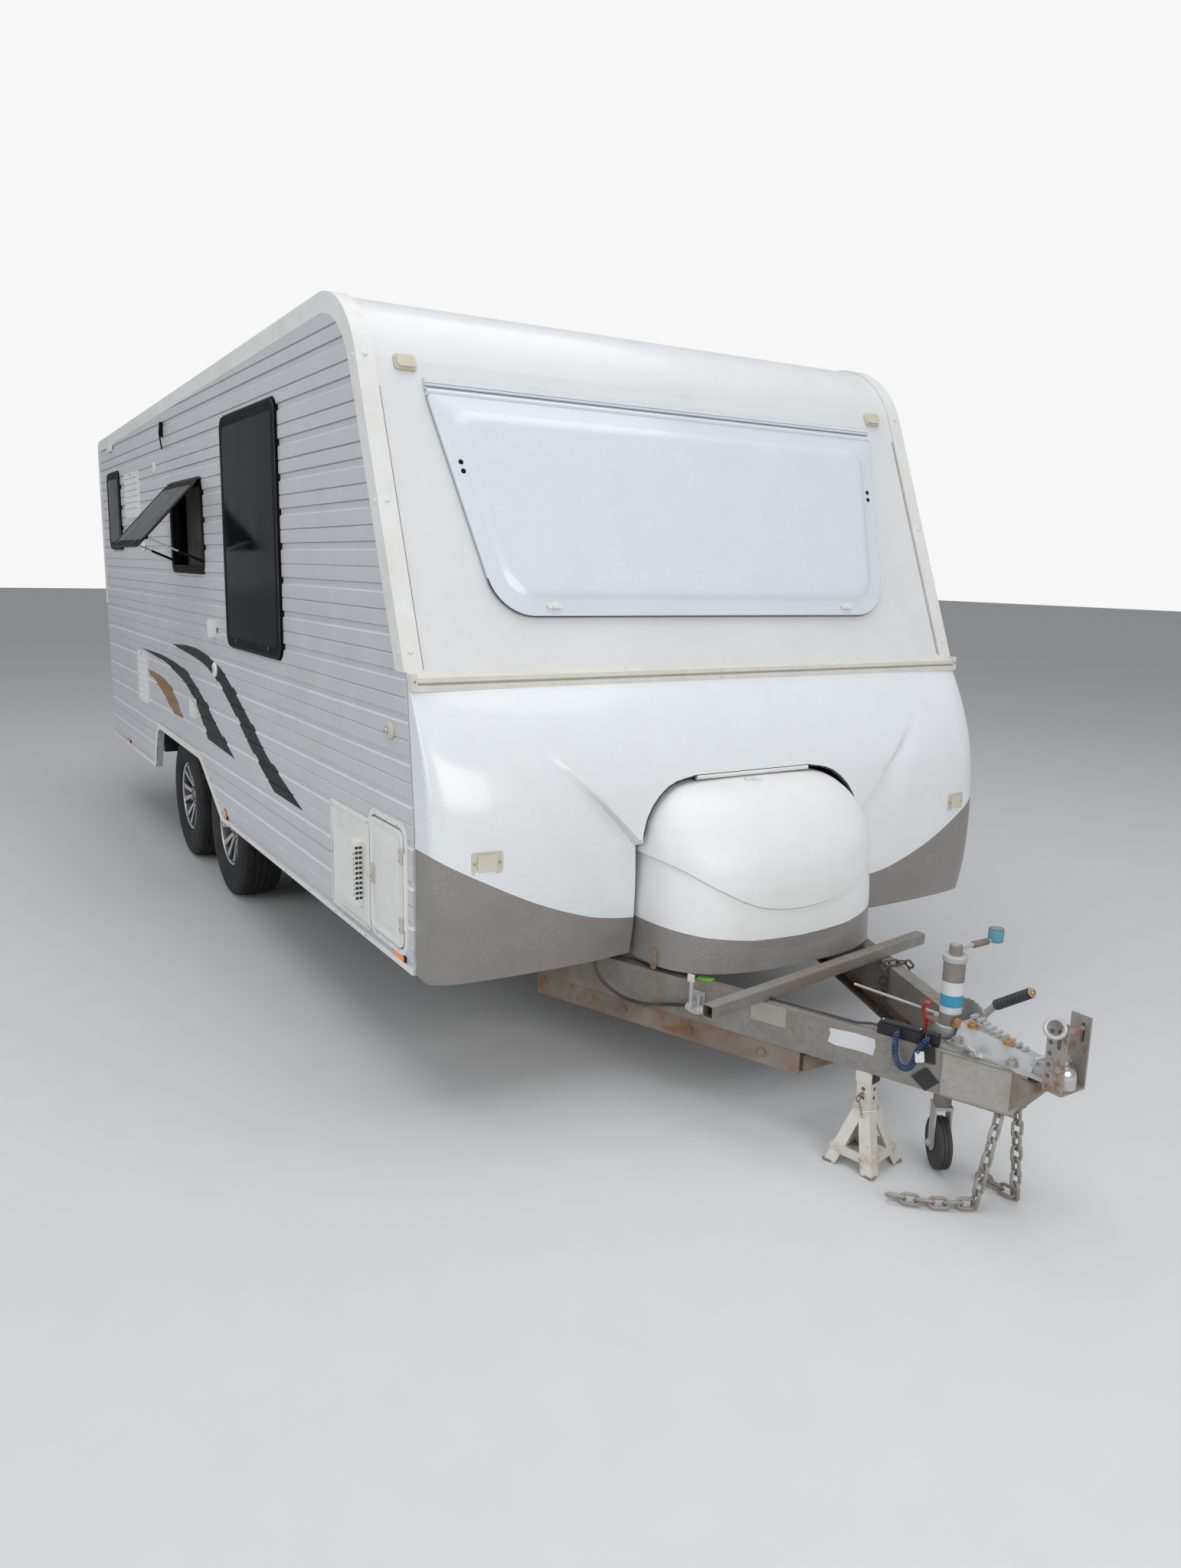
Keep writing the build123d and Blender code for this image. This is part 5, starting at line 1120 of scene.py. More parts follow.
for sign in (-1, 1):
    for v in (-0.2, -0.23):
        at = slope_frame @ Matrix.Translation((sign * (0.905 + v * 0.13), v - 0.03, 0.0199))
        details.lathe([(0.0085, 0), (0.0085, 0.0012), (0.0068, 0.0016), (0.006, 0.0008)], 1, at, 14)
    at = slope_frame @ Matrix.Translation((sign * 0.635, -LENGTH + 0.03, 0.0198))
    details.prism(rounded(0.052, 0.017, 0.008), 0, 0.011, 0, at)
    details.lathe([(0.012, 0), (0.012, 0.014), (0.009, 0.017)], 0, at, 16)
bead_line = [(u, v, 0.0125) for u, v in loop_outline(corners, 0.002, radii) if v < -0.05]
details.tube(on(slope_frame, *bead_line), 0.0042, 1, 6)
details.make("shield_fittings", ["trim", "frame"], body="stone_shield", bevel=0.001)
rail = Bits()
ribs = ((0.023, 0.0165, 0.0045), (0.032, 0.016, 0.0042), (0.04, 0.012, 0.005), (0.047, 0.006, 0.004))
for k, (v, out, r) in enumerate(ribs):
    rail.tube(on(slope_frame, (-0.957, v, out), (0.957, v, out)), r, k % 2)
for sign in (-1, 1):
    rail.screw(slope_frame @ Vector((sign * 0.945, 0.028, 0.02)), slope_normal, 0.004, 1)
rail.make("shield_rail_ribs", ["shield", "awning"])
print("shield loops:", len(loops), "of", len(loops[0]), "points")

# %% [markdown]
# ## Trims on the body
# Screw caps on the corner mouldings, the profile of the belt trim with its end caps, and the thin edge
# under the walls. They are small, but they tell how the body is put together.


# %% Trims
def roof_z(x):
    return 2.512 + (x + 0.9) * ROOF_FALL


caps = Bits()
for side in (-1, 1):
    for z in (1.41, 1.85, 2.29):
        caps.screw(slope_point(z, side * 1.139, 0.008), slope_normal, 0.0085)
    for x in (-1.0, -1.9, -2.8, -3.7, -4.6):
        caps.screw(place(x, side * 1.139, roof_z(x) + 0.008), (0, 0, 1), 0.0085)
    for z in (1.5, 1.9, 2.25):
        caps.screw(place(-5.388, side * 1.139, z), (-1, 0, 0), 0.0085)
    for x, z in ((-0.052, 1.41), (-0.222, 1.85), (-0.392, 2.29)):
        caps.screw(place(x, side * 1.168, z), (0, side, 0), 0.006)
caps.make("corner_screw_caps", ["trim"])
belt = Bits()
for out, z, r, slot in ((0.029, 1.308, 0.005, 0), (0.03, 1.322, 0.0042, 1), (0.0255, 1.337, 0.005, 0)):
    belt.tube(places((out, -1.15, z), (out, 1.15, z)), r, slot, 10)
for side in (-1, 1):
    belt.box((0, 0, 0), (0.034, 0.018, 0.05), 0, frame_at(place(0.019, side * 1.152, 1.327)))
    belt.screw(place(0.036, side * 1.152, 1.33), (1, 0, 0), 0.0045, 1)
for k in range(9):
    belt.screw(place(0.0335, -1.04 + k * 0.26, 1.3225), (1, 0, 0), 0.0032, 1)
belt.make("belt_trim_profile", ["trim_aged", "plate"], bevel=0.0015)
skirt = Bits()
for side in (-1, 1):
    for x0, x1 in ((-5.378, -3.915), (-2.3, 0.046)):
        skirt.box((0, 0, 0), (x1 - x0, 0.004, 0.02), 0, frame_at(place((x0 + x1) / 2, side * 1.169, 0.446)))
        for k in range(int((x1 - x0) / 0.3)):
            skirt.screw(place(x0 + 0.15 + 0.3 * k, side * 1.171, 0.447), (0, side, 0), 0.0035, 1)
skirt.make("skirt_edges", ["trim", "plate"], bevel=0.001)
seam = Bits()
for side in (-1, 1):
    seam.tube([slope_point(z, side * 1.1035, 0.001) for z in (1.36, 1.6, 1.9, 2.2)], 0.0018, 0, 6)
seam.make("moulding_seal_lines", ["plate"])
print("trims:", len(caps.faces) + len(belt.faces) + len(skirt.faces), "faces")

# %% [markdown]
# ## Windows
# Acrylic panes with a dark printed border, rubber seals, stays and catches. The hinged pane is open as it
# is in the photograph, on its own stays; it has no joint, because window glass is not one of the moving
# pieces.


# %% Windows
def pane_look(bits, at, width, height, thick, border, catches=0):
    bits.prism(rounded(width, height, 0.052), 0, thick, 0, at)
    bits.prism(rounded(width - 2 * border, height - 2 * border, 0.03), thick, thick + 0.0006, 1, at)
    outer, inner = rounded(width, height, 0.052), rounded(width - 0.014, height - 0.014, 0.046)
    bits.tube([at @ Vector((x, y, thick)) for x, y in outer + outer[:1]], 0.0016, 2, 6)
    bits.tube([at @ Vector((x, y, thick + 0.0003)) for x, y in inner + inner[:1]], 0.0007, 2, 5)
    for k in range(catches):
        x = (k - (catches - 1) / 2) * width / max(catches, 2) * 1.2
        bits.lathe([(0.011, 0), (0.011, 0.003), (0.008, 0.005)], 2,
                   at @ Matrix.Translation((x, -height / 2 + 0.03, thick)), 14)


glass = Bits()
PANE_OUT, HINGE_GAP = 0.0101, 0.012
for window in WINDOWS:
    side, x0, x1, z0, z1 = window
    if window is not HINGED:
        at = wall_frame(side, (x0 + x1) / 2, side * (HALF + PANE_OUT), (z0 + z1) / 2)
        pane_look(glass, at, x1 - x0 - 0.016, z1 - z0 - 0.016, 0.0072, 0.042, 2)
pane_look(glass, rear_frame(REAR_X - PANE_OUT, 0, 1.74), 1.084, 0.464, 0.0072, 0.042, 3)
at = slope_frame @ Matrix.Translation((0, -(SHIELD_TOP - 1.845) / math.cos(SLOPE), 0.0022))
pane_look(glass, at, 1.484, 0.5095, 0.0026, 0.045)
open_angle = math.radians(42)
hinge_out = 0.01 + 0.004 * (math.sin(open_angle) + math.cos(open_angle)) + 0.0003
width, height = 0.726, 0.451
middle_x = (HINGED[1] + HINGED[2]) / 2
at = (wall_frame(-1, middle_x, -HALF, 1.8205) @ Matrix.Translation((0, height / 2 - HINGE_GAP, hinge_out))
      @ Matrix.Rotation(-open_angle, 4, "X") @ Matrix.Translation((0, -height / 2 + HINGE_GAP, -0.0038)))
pane_look(glass, at, width - 0.016, height - 0.021, 0.0064, 0.042, 2)
glass.make("window_panes_look", ["frame", "glass", "rubber"], replaces=("window_panes",), bevel=0.0012)
stays = Bits()
for sign in (-1, 1):
    low = at @ Vector((sign * 0.315, -0.15, -0.004))
    high = place(middle_x + sign * 0.315, -HALF - 0.004, 1.655)
    middle = low.lerp(high, 0.55)
    stays.tube([high, middle], 0.0065, 1, 10)
    stays.tube([middle, low], 0.0045, 0, 10)
    stays.bolt(low, (sign, 0, 0), 0.006, 0.008, 1)
    stays.bolt(high, (sign, 0, 0), 0.006, 0.008, 1)
stays.tube([place(middle_x + x, -HALF - 0.0135, 2.037) for x in (-0.352, 0.352)], 0.005, 2, 10)
stays.make("window_stays", ["machined", "frame", "rubber"])
# Dark pleated blinds behind the windows; their dark colour is painted shade of the unlit cabin.
curtains = Bits()
for side, x0, x1, z0, z1 in WINDOWS:
    lines = [x0 + 0.03 + (x1 - x0 - 0.06) * k / 60 for k in range(61)]
    verts = [place(x, side * (1.085 + 0.01 * math.sin(k * 1.15 + (0.3 if z < 1.7 else 0))), z)
             for z in (z0 + 0.02, z1 - 0.02) for k, x in enumerate(lines)]
    curtains.add(verts, [(k, k + 1, 62 + k, 61 + k) for k in range(60)])
curtains.make("window_blinds", ["dark_painted_shade"])
print("windows:", len(glass.faces), "faces")

# %% [markdown]
# ## Doors, vents and wall fittings
# Raised rims, hinges and latches on the access door and the entry door, the heater cover with its slotted
# side, the louvred fridge vents, and the small fittings on the side wall.


# %% Access door
def flat_frame(bits, at, outer, inner, outer_rise, inner_rise, slot=0):
    heights = ((outer, 0), (outer, outer_rise), (inner, inner_rise), (inner, 0))
    bits.shell([at_height(outline, z) for outline, z in heights], slot, at)


door = Bits()
DOOR_X, DOOR_Z = -0.155, 0.685
at = wall_frame(-1, DOOR_X, -1.1721, DOOR_Z)
rings = [(0, 0.0), (0, 0.0028), (0.004, 0.0042), (0.013, 0.0042), (0.017, 0.0022), (0.03, 0.0022),
         (0.036, 0.0038), (0.06, 0.0042)]
loops = [at_height(rounded(0.274 - 2 * inset, 0.374 - 2 * inset, max(0.008, 0.032 - inset * 0.5), steps=6),
                   out) for inset, out in rings]
door.shell(loops, 0, at, cap=True)
latch = at @ Matrix.Translation((-0.105, 0.0, 0.0042))
door.prism(rounded(0.03, 0.066, 0.006), 0, 0.004, 1, latch)
door.prism(rounded(0.017, 0.048, 0.005), 0.004, 0.0095, 1, latch)
door.lathe([(0.006, 0.009), (0.006, 0.0105), (0.0035, 0.011)], 2,
           latch @ Matrix.Translation((0, -0.008, 0)), 14)
for z in (0.11, -0.11):
    hinge = at @ Matrix.Translation((0.128, z, 0.0042))
    door.prism(rounded(0.026, 0.05, 0.004), 0, 0.003, 1, hinge)
    for y in (0.014, -0.014):
        door.screw(hinge @ Vector((-0.004, y, 0.003)), (0, -1, 0), 0.0032, 2)
door.make("access_door_face", ["trim", "cream", "plate"], body="access_door", bevel=0.0008, angle=30)

frame_bits = Bits()
at = wall_frame(-1, DOOR_X, -1.1605, DOOR_Z)
flat_frame(frame_bits, at, rounded(0.322, 0.422, 0.052, steps=8), rounded(0.286, 0.386, 0.038, steps=8),
           0.0095, 0.0105)
for k in range(-1, 2):
    for z in (-0.198, 0.198):
        frame_bits.screw(at @ Vector((k * 0.09, z, 0.0098)), (0, -1, 0), 0.0032, 1)
frame_bits.make("access_door_frame", ["trim", "plate"], bevel=0.0008)
print("access door:", len(door.faces) + len(frame_bits.faces), "faces")

# %% Heater cover
heater = Bits()
at = wall_frame(-1, -0.49, -1.1721, 0.665)
flat_frame(heater, at, rounded(0.38, 0.38, 0.02), rounded(0.35, 0.35, 0.014), 0.002, 0.004)
box = [(-0.08, -0.12), (0.122, -0.12), (0.122, 0.085), (0.095, 0.112), (-0.055, 0.112), (-0.08, 0.085)]
heater.prism(box, 0.0, 0.0285, 0, at)
for column in (0, 1):
    for k in range(11):
        heater.box((0.1222, -0.092 + 0.0172 * k, 0.0075 + 0.013 * column), (0.002, 0.0085, 0.0105), 1, at)
for k in range(9):
    heater.box((0.104, -0.08 + 0.0172 * k, 0.0286), (0.026, 0.008, 0.0016), 1, at)
heater.prism(rounded(0.042, 0.048, 0.003, -0.03, -0.018), 0.0285, 0.0291, 2, at)
for x, z in ((-0.182, 0.182), (0.182, 0.182), (-0.182, -0.182), (0.182, -0.182), (0.182, 0.0), (-0.182, 0.0)):
    heater.screw(at @ Vector((x * 0.97, z * 0.97, 0.003)), (0, -1, 0), 0.0036, 3)
heater.make("heater_cover_look", ["trim", "black", "cream", "plate"], bevel=0.0016, angle=30)
print("heater cover:", len(heater.faces), "faces")

# %% Fridge vents
vents = Bits()
for x, z, width, height, louvres in ((-4.145, 0.955, 0.31, 0.31, 7), (-4.195, 2.03, 0.45, 0.26, 6)):
    at = wall_frame(-1, x, -HALF, z)
    gap = (height - 0.05) / louvres
    reach = (width - 0.054) / 2
    for k in range(louvres):
        mid = (k - (louvres - 1) / 2) * gap
        slat = [(mid - gap * 0.42, 0.015), (mid - gap * 0.46, 0.0132), (mid + gap * 0.3, 0.0078),
                (mid + gap * 0.3, 0.0096)]
        vents.add([(sx * reach, y, d) for sx in (-1, 1) for y, d in slat],
                  [(0, 1, 2, 3), (4, 7, 6, 5), (0, 3, 7, 4), (1, 5, 6, 2), (0, 4, 5, 1), (3, 2, 6, 7)], 0, at)
    for sx in (-1, 1):
        for sz in (-1, 1):
            corner = (sx * (width / 2 - 0.012), sz * (height / 2 - 0.012), 0.0142)
            vents.screw(at @ Vector(corner), (0, -1, 0), 0.004, 1)
    vents.prism(rounded(0.022, 0.014, 0.003, 0, height / 2 - 0.012), 0.014, 0.017, 1, at)
vents.make("vent_louvres", ["trim", "plate"], bevel=0.0006)
print("fridge vents:", len(vents.faces), "faces")


# %% Wall fittings
def wall_at(x, z):
    return wall_frame(-1, x, -HALF - 0.006, z)


fittings = Bits()
at = wall_at(-2.3, 1.352)
fittings.prism(rounded(0.075, 0.085, 0.01), 0, 0.024, 0, at)
fittings.prism(rounded(0.055, 0.04, 0.006, 0, 0.012), 0.024, 0.029, 0, at)
at = wall_at(-2.309, 1.16)
fittings.lathe([(0.036, 0), (0.036, 0.006), (0.03, 0.011), (0.012, 0.012)], 0, at, 28)
fittings.lathe([(0.012, 0.012), (0.012, 0.015), (0.006, 0.016)], 2, at, 16)
at = wall_at(-2.79, 0.922)
fittings.prism(rounded(0.115, 0.105, 0.012), 0, 0.012, 0, at)
fittings.prism(rounded(0.09, 0.078, 0.01, 0, -0.004), 0.012, 0.019, 0, at)
fittings.tube([at @ Vector((x, 0.038, 0.017)) for x in (-0.04, 0.04)], 0.005, 0, 10)
at = wall_at(-0.112, 1.171)
fittings.lathe([(0.03, 0), (0.03, 0.007), (0.024, 0.014), (0.01, 0.016)], 1, at, 28)
fittings.lathe([(0.011, 0.015), (0.011, 0.022), (0.007, 0.024)], 2, at, 18)
at = wall_at(-3.241, 2.321)
fittings.prism(rounded(0.02, 0.075, 0.005), 0, 0.016, 3, at)
fittings.tube(on(at, (0, 0.03, 0.014), (0.004, -0.02, 0.02), (0.002, -0.1, 0.01)), 0.004, 3, 8)
for x, z in ((-3.503, 2.149), (-3.917, 1.733)):
    fittings.lathe([(0.03, 0), (0.03, 0.004), (0.026, 0.007), (0.012, 0.007)], 0, wall_at(x, z), 24)
at = wall_at(-4.858, 2.348)
fittings.prism(rounded(0.11, 0.05, 0.012), 0, 0.02, 0, at)
fittings.make("wall_fittings", ["trim", "cream", "machined", "frame"], bevel=0.0012)
print("wall fittings:", len(fittings.faces), "faces")

# %% Entry door
entry = Bits()
at = wall_frame(1, -4.66, 1.1722, 1.405)
rings = [(0, 0.0), (0, 0.0025), (0.005, 0.004), (0.022, 0.004), (0.027, 0.0012)]
loops = [at_height(rounded(0.604 - 2 * inset, 1.674 - 2 * inset, max(0.01, 0.062 - inset), steps=6), out)
         for inset, out in rings]
entry.shell(loops, 0, at)
flat_frame(entry, at, rounded(0.43, 0.66, 0.055, 0, 0.36, 6),
           rounded(0.402, 0.632, 0.042, 0, 0.36, 6), 0.005, 0.006, 1)
for k in range(4):
    entry.tube([at @ Vector((x, -0.3 - 0.09 * k, 0.0015)) for x in (-0.22, 0.22)], 0.0035, 0, 8)
handle = at @ Matrix.Translation((0.235, -0.1, 0.001))
entry.prism(rounded(0.062, 0.15, 0.012), 0, 0.008, 1, handle)
entry.tube(on(handle, (0.0, 0.045, 0.01), (0.0, 0.04, 0.028), (0.0, -0.03, 0.03), (0.0, -0.038, 0.01)),
           0.0085, 1, 10)
entry.lathe([(0.009, 0.008), (0.009, 0.011), (0.006, 0.0115)], 2,
            handle @ Matrix.Translation((0, -0.058, 0)), 16)
entry.make("entry_door_face", ["trim", "frame", "machined"], body="entry_door", bevel=0.0008, angle=30)
grab = Bits()
grab.tube(places((-4.3, 1.168, 1.1), (-4.3, 1.205, 1.12), (-4.3, 1.21, 1.2), (-4.3, 1.21, 1.38),
                 (-4.3, 1.205, 1.46), (-4.3, 1.168, 1.48)), 0.011, 0, 12)
for z in (1.1, 1.48):
    grab.lathe([(0.026, 0), (0.026, 0.004), (0.014, 0.01)], 0,
               frame_at(place(-4.3, 1.1665, z), z=(0, 1, 0)), 20)
grab.lathe([(0.055, 0), (0.055, 0.012), (0.045, 0.026), (0.02, 0.03)], 1,
           frame_at(place(-4.66, 1.1665, 2.33), z=(0, 1, 0)), 24)
grab.make("entry_grab_rail", ["trim", "lens"])
print("entry door:", len(entry.faces) + len(grab.faces), "faces")

# %% [markdown]
# ## Lamps
# The front lamps are blank cream lenses on white bases with two screws; the rear ones are banded red, amber
# and clear.

# %% Lamps
lamps = Bits()
for side in (-1, 1):
    facing = Vector((1, side * 0.13, 0)).normalized()
    at = frame_at(place(0.2065, side * 1.004, 0.8125), x=facing.cross(Vector((0, 0, 1))), z=facing)
    lamps.prism(rounded(0.098, 0.068, 0.01), 0, 0.012, 0, at)
    lamps.prism(rounded(0.06, 0.05, 0.006), 0.012, 0.0175, 1, at)
    for x in (-0.039, 0.039):
        lamps.screw(at @ Vector((x, 0, 0.012)), facing, 0.0045, 2)
    at = frame_at(slope_point(2.28, side * 1.008, 0.001), x=(0, 1, 0), z=slope_normal)
    lamps.prism(rounded(0.074, 0.052, 0.012), 0, 0.008, 0, at)
    lamps.prism(rounded(0.062, 0.04, 0.012), 0.008, 0.0195, 1, at)
    for k in range(4):
        lamps.tube(on(at, (-0.024, -0.012 + 0.008 * k, 0.0195), (0.024, -0.012 + 0.008 * k, 0.0195)), 0.0012,
                   1, 6)
lamps.make("front_lamps_look", ["cream", "lens", "plate"], replaces=("front_lamps",), bevel=0.0018)
tail = Bits()
for side in (-1, 1):
    at = rear_frame(-5.3865, side * 0.98, 0.8)
    tail.prism(rounded(0.178, 0.398, 0.034, steps=6), 0, 0.01, 3, at)
    for slot, z, height in ((0, 0.085, 0.2), (1, -0.065, 0.085), (2, -0.145, 0.06)):
        tail.prism(rounded(0.15, height, 0.016, 0, z, 5), 0.01, 0.0215, slot, at)
        for k in range(int(height / 0.012)):
            rib_z = z - height / 2 + 0.01 + 0.012 * k
            if rib_z < z + height / 2 - 0.006:
                tail.tube(on(at, (-0.068, rib_z, 0.0215), (0.068, rib_z, 0.0215)), 0.0014, slot, 6)
tail.make("rear_lamps_look", ["red", "amber", "clear", "black"], replaces=("rear_lamps",), bevel=0.002)
side_lamps = Bits()
for side in (-1, 1):
    for x, z, width, height in ((-0.068, 0.458, 0.095, 0.04), (-2.23, 0.48, 0.05, 0.05),
                                (-4.8, 0.46, 0.095, 0.04)):
        at = wall_frame(side, x, side * 1.1605, z)
        side_lamps.prism(rounded(width, height, 0.006), 0, 0.0082, 1, at)
        side_lamps.prism(rounded(width - 0.01, height - 0.008, 0.005), 0.0082, 0.0098, 0, at)
side_lamps.make("side_markers_look", ["amber", "black"], replaces=("side_markers",), bevel=0.0012)
print("lamps:", len(lamps.faces) + len(tail.faces) + len(side_lamps.faces), "faces")

# %% [markdown]
# ## Wheels
# Each tyre is one turned section with grooves, shoulder blocks and raised sidewall bands. Each rim has
# twelve spokes in pairs, with bright machined faces on dark flanks. Like pieces come from one loop over the
# four corners.


# %% Wheels
TYRE_SIDES, WHEEL_Y, WHEEL_Z = 144, 0.9975, 0.345
TREAD = [(0.0, 0.345), (0.01, 0.345), (0.0115, 0.3385), (0.0185, 0.3385), (0.02, 0.345), (0.043, 0.3446),
         (0.0445, 0.338), (0.052, 0.338), (0.0535, 0.344), (0.07, 0.3425), (0.084, 0.3385), (0.092, 0.33),
         (0.0965, 0.318), (0.0975, 0.311), (0.099, 0.3105), (0.101, 0.29), (0.102, 0.268), (0.1024, 0.245),
         (0.1012, 0.233), (0.1012, 0.229), (0.099, 0.215), (0.0955, 0.202), (0.09, 0.1935), (0.082, 0.1905)]
SPOKE = [(0.06, 0.056, 0.011), (0.1, 0.065, 0.0105), (0.14, 0.073, 0.012), (0.172, 0.079, 0.015)]


def tyre_bits(at):
    profile = [(-y, r) for y, r in reversed(TREAD[1:])] + TREAD
    verts = []
    for y, r in profile:
        for k in range(TYRE_SIDES):
            drop = 0.0
            if r > 0.341 and abs(y) > 0.052 and k % 4 == (0 if y > 0 else 2):
                drop = 0.006
            if 0.02 < abs(y) < 0.044 and k % 6 == 3:
                drop = 0.0035
            verts.append((*polar(r - drop, 2 * math.pi * k / TYRE_SIDES), y))
    bits = Bits()
    bits.add(verts, loop_faces(len(profile), TYRE_SIDES), 0, at)
    return bits


def add_spoke(bits, at, lean):
    verts = []
    for r, top, w in SPOKE:
        shift = lean * 0.1 * (r - SPOKE[0][0])
        verts += [(r, shift - w, top), (r, shift + w, top), (r, shift + w + 0.004, top - 0.006),
                  (r, shift + w + 0.002, top - 0.034), (r, shift - w - 0.002, top - 0.034),
                  (r, shift - w - 0.004, top - 0.006)]
    for i in range(len(SPOKE) - 1):
        for j in range(6):
            a, b = i * 6 + j, i * 6 + (j + 1) % 6
            bits.add([verts[v] for v in (a, b, b + 6, a + 6)], QUAD, 1 if j == 0 else 0, at)


for row, x in (("front", -2.52), ("rear", -3.4)):
    for hand, side in (("right", -1), ("left", 1)):
        corner = row + "_" + hand
        at = frame_at(place(x, side * WHEEL_Y, WHEEL_Z), z=(0, side, 0))
        at = at @ Matrix.Rotation(0.31 * (2 + side) + x, 4, "Z")
        tyre = tyre_bits(at)
        tyre.ring(0.262, 0.0012, 0, at @ Matrix.Translation((0, 0, 0.1016)), 96, 4)
        tyre.make("tyre_look_" + corner, ["tyre"], "wheel_" + corner, ["tyre_" + corner], angle=32)
        rim = Bits()
        rim.lathe([(0.1885, -0.082), (0.18, -0.076), (0.17, -0.04), (0.166, 0.03), (0.17, 0.064),
                   (0.179, 0.078), (0.184, 0.083), (0.189, 0.085), (0.1905, 0.082), (0.189, 0.078)],
                  0, at, 72, False)
        rim.lathe([(0.18, 0.08), (0.1845, 0.0838), (0.1885, 0.0856), (0.1902, 0.0843)], 1, at, 72, False)
        rim.lathe([(0.166, -0.03), (0.15, -0.012), (0.13, 0.0), (0.07, 0.006), (0.02, 0.008)], 2, at, 48)
        rim.lathe([(0.074, 0.01), (0.074, 0.04), (0.066, 0.052), (0.044, 0.056), (0.044, 0.05)], 0, at, 48)
        rim.lathe([(0.04, 0.05), (0.04, 0.064), (0.037, 0.068), (0.035, 0.066)], 3, at, 40)
        rim.lathe([(0.0345, 0.06), (0.0345, 0.0662), (0.03, 0.07), (0.008, 0.072)], 0, at, 32)
        for k in range(6):
            nut = at @ (Matrix.Rotation(math.pi * (2 * k + 1) / 6, 4, "Z") @ Vector((0.0575, 0, 0.049)))
            rim.bolt(nut, (0, side, 0), 0.0085, 0.014, 1)
            for lean in (-1, 1):
                add_spoke(rim, at @ Matrix.Rotation(2 * math.pi * k / 6 + lean * 0.17, 4, "Z"), lean)
        rim.tube(on(at, (0.15, 0.06, 0.06), (0.158, 0.063, 0.074), (0.16, 0.064, 0.084)), 0.004, 2)
        rim.make("rim_look_" + corner, ["alloy", "machined", "rubber", "gold"], "wheel_" + corner,
                 ["rim_" + corner], bevel=0.0012)
print("wheels: 4 tyres of", len(tyre.faces), "faces")

# %% [markdown]
# ## Chains
# Round steel links in place of the CAD model's flat ones, on the same centres, so that each link passes
# through its neighbour. The safety chains hang from the nose and run out on the floor.


# %% Chains
LINK, HALF_PITCH, ON_FLOOR = (0.0132, 0.0049), 0.01865, 0.0145


def link_frame(centre, way, roll):
    way = Vector(way).normalized()
    flat = Vector((0, 0, 1)) if abs(way.z) < 0.5 else Vector((1, 0, 0))
    across = way.cross(flat).normalized()
    return frame_at(place(*centre), x=way, z=Matrix.Rotation(math.radians(roll), 3, way) @ across)


chains = Bits()
for top, drop, headings in (((1.308, -0.036, 0.25), (-0.012, -0.044, -0.224),
                             (-118, -122, -128, -134, -139, -143)),
                            ((1.318, 0.032, 0.25), (0.002, 0.02, -0.224), (187, 181, 176))):
    top, drop = Vector(top), Vector(drop)
    for number in range(7):
        centre = top + drop * number / 6
        at = link_frame(centre, drop, 90 * number + 20 + random.uniform(-7, 7))
        chains.ring(*LINK, 0, at, 20, 8, 0.0225)
    centre.z = ON_FLOOR
    reach = 0.024
    for number, heading in enumerate(headings):
        way = Vector((*polar(1, math.radians(heading)), 0))
        centre = centre + way * reach
        chains.ring(*LINK, 0, link_frame(centre, way, 45 + 90 * number), 20, 8, 0.0225)
        centre = centre + way * HALF_PITCH
        reach = HALF_PITCH
    eye = places((top.x - 0.002, top.y - 0.01, 0.272), (top.x, top.y, 0.262), (top.x, top.y + 0.012, 0.27))
    chains.tube(eye, 0.0055)
chains.make("safety_chain_links", ["chain"], replaces=("safety_chains",))
dark = Bits()
rail_way = Vector((RAIL_SLOPE, 1, 0)).normalized()
rail_mid = Vector((0.632, -rail_y(0.632) - 0.0268, 0))
run = [(-43, 252), (-43, 278), (-43, 304), (-43, 330), (-43, 356), (-43, 382), (-38, 409), (-10, 417),
       (17, 417), (46, 409), (48, 382), (48, 356), (48, 330)]
run = [rail_mid + rail_way * (out / 1000) + Vector((0, 0, z / 1000)) for out, z in run]
for number, centre in enumerate(run):
    way = run[min(number + 1, len(run) - 1)] - run[max(number - 1, 0)]
    dark.ring(0.0092, 0.0034, 0, link_frame(centre, way, 45 + 90 * number), 18, 8, 0.015)
dark.make("rail_chain_links", ["dark_chain"], replaces=("rail_chain",))
print("chains:", len(chains.faces) + len(dark.faces), "faces")

# %% [markdown]
# ## Drawbar fittings
# Weld beads, the bare nose plate, blank plates and stickers, black tape, the coupling's bolts and ridge,
# the chrome ball cup, the handbrake's grip, and the tap's connectors. Their places were measured in the
# photograph.


# %% Drawbar fittings
along = Vector((math.cos(BAR_TURN), math.sin(BAR_TURN), 0))
outward = Vector((math.sin(BAR_TURN), -math.cos(BAR_TURN), 0))


def rail_face(x, z, out=0.0):
    return frame_at(place(x, rail_y(x), z) + outward * out, x=along, z=outward)


def bead(bits, start, end, radius, slot):
    start, end = Vector(start), Vector(end)
    count = max(3, int((end - start).length / 0.006))
    line = [start.lerp(end, k / count) + Vector((0, 0, random.uniform(-0.0006, 0.0006)))
            for k in range(count + 1)]
    bits.tube(line, [radius * (1 + 0.3 * (k % 2)) for k in range(count + 1)], slot, 7)


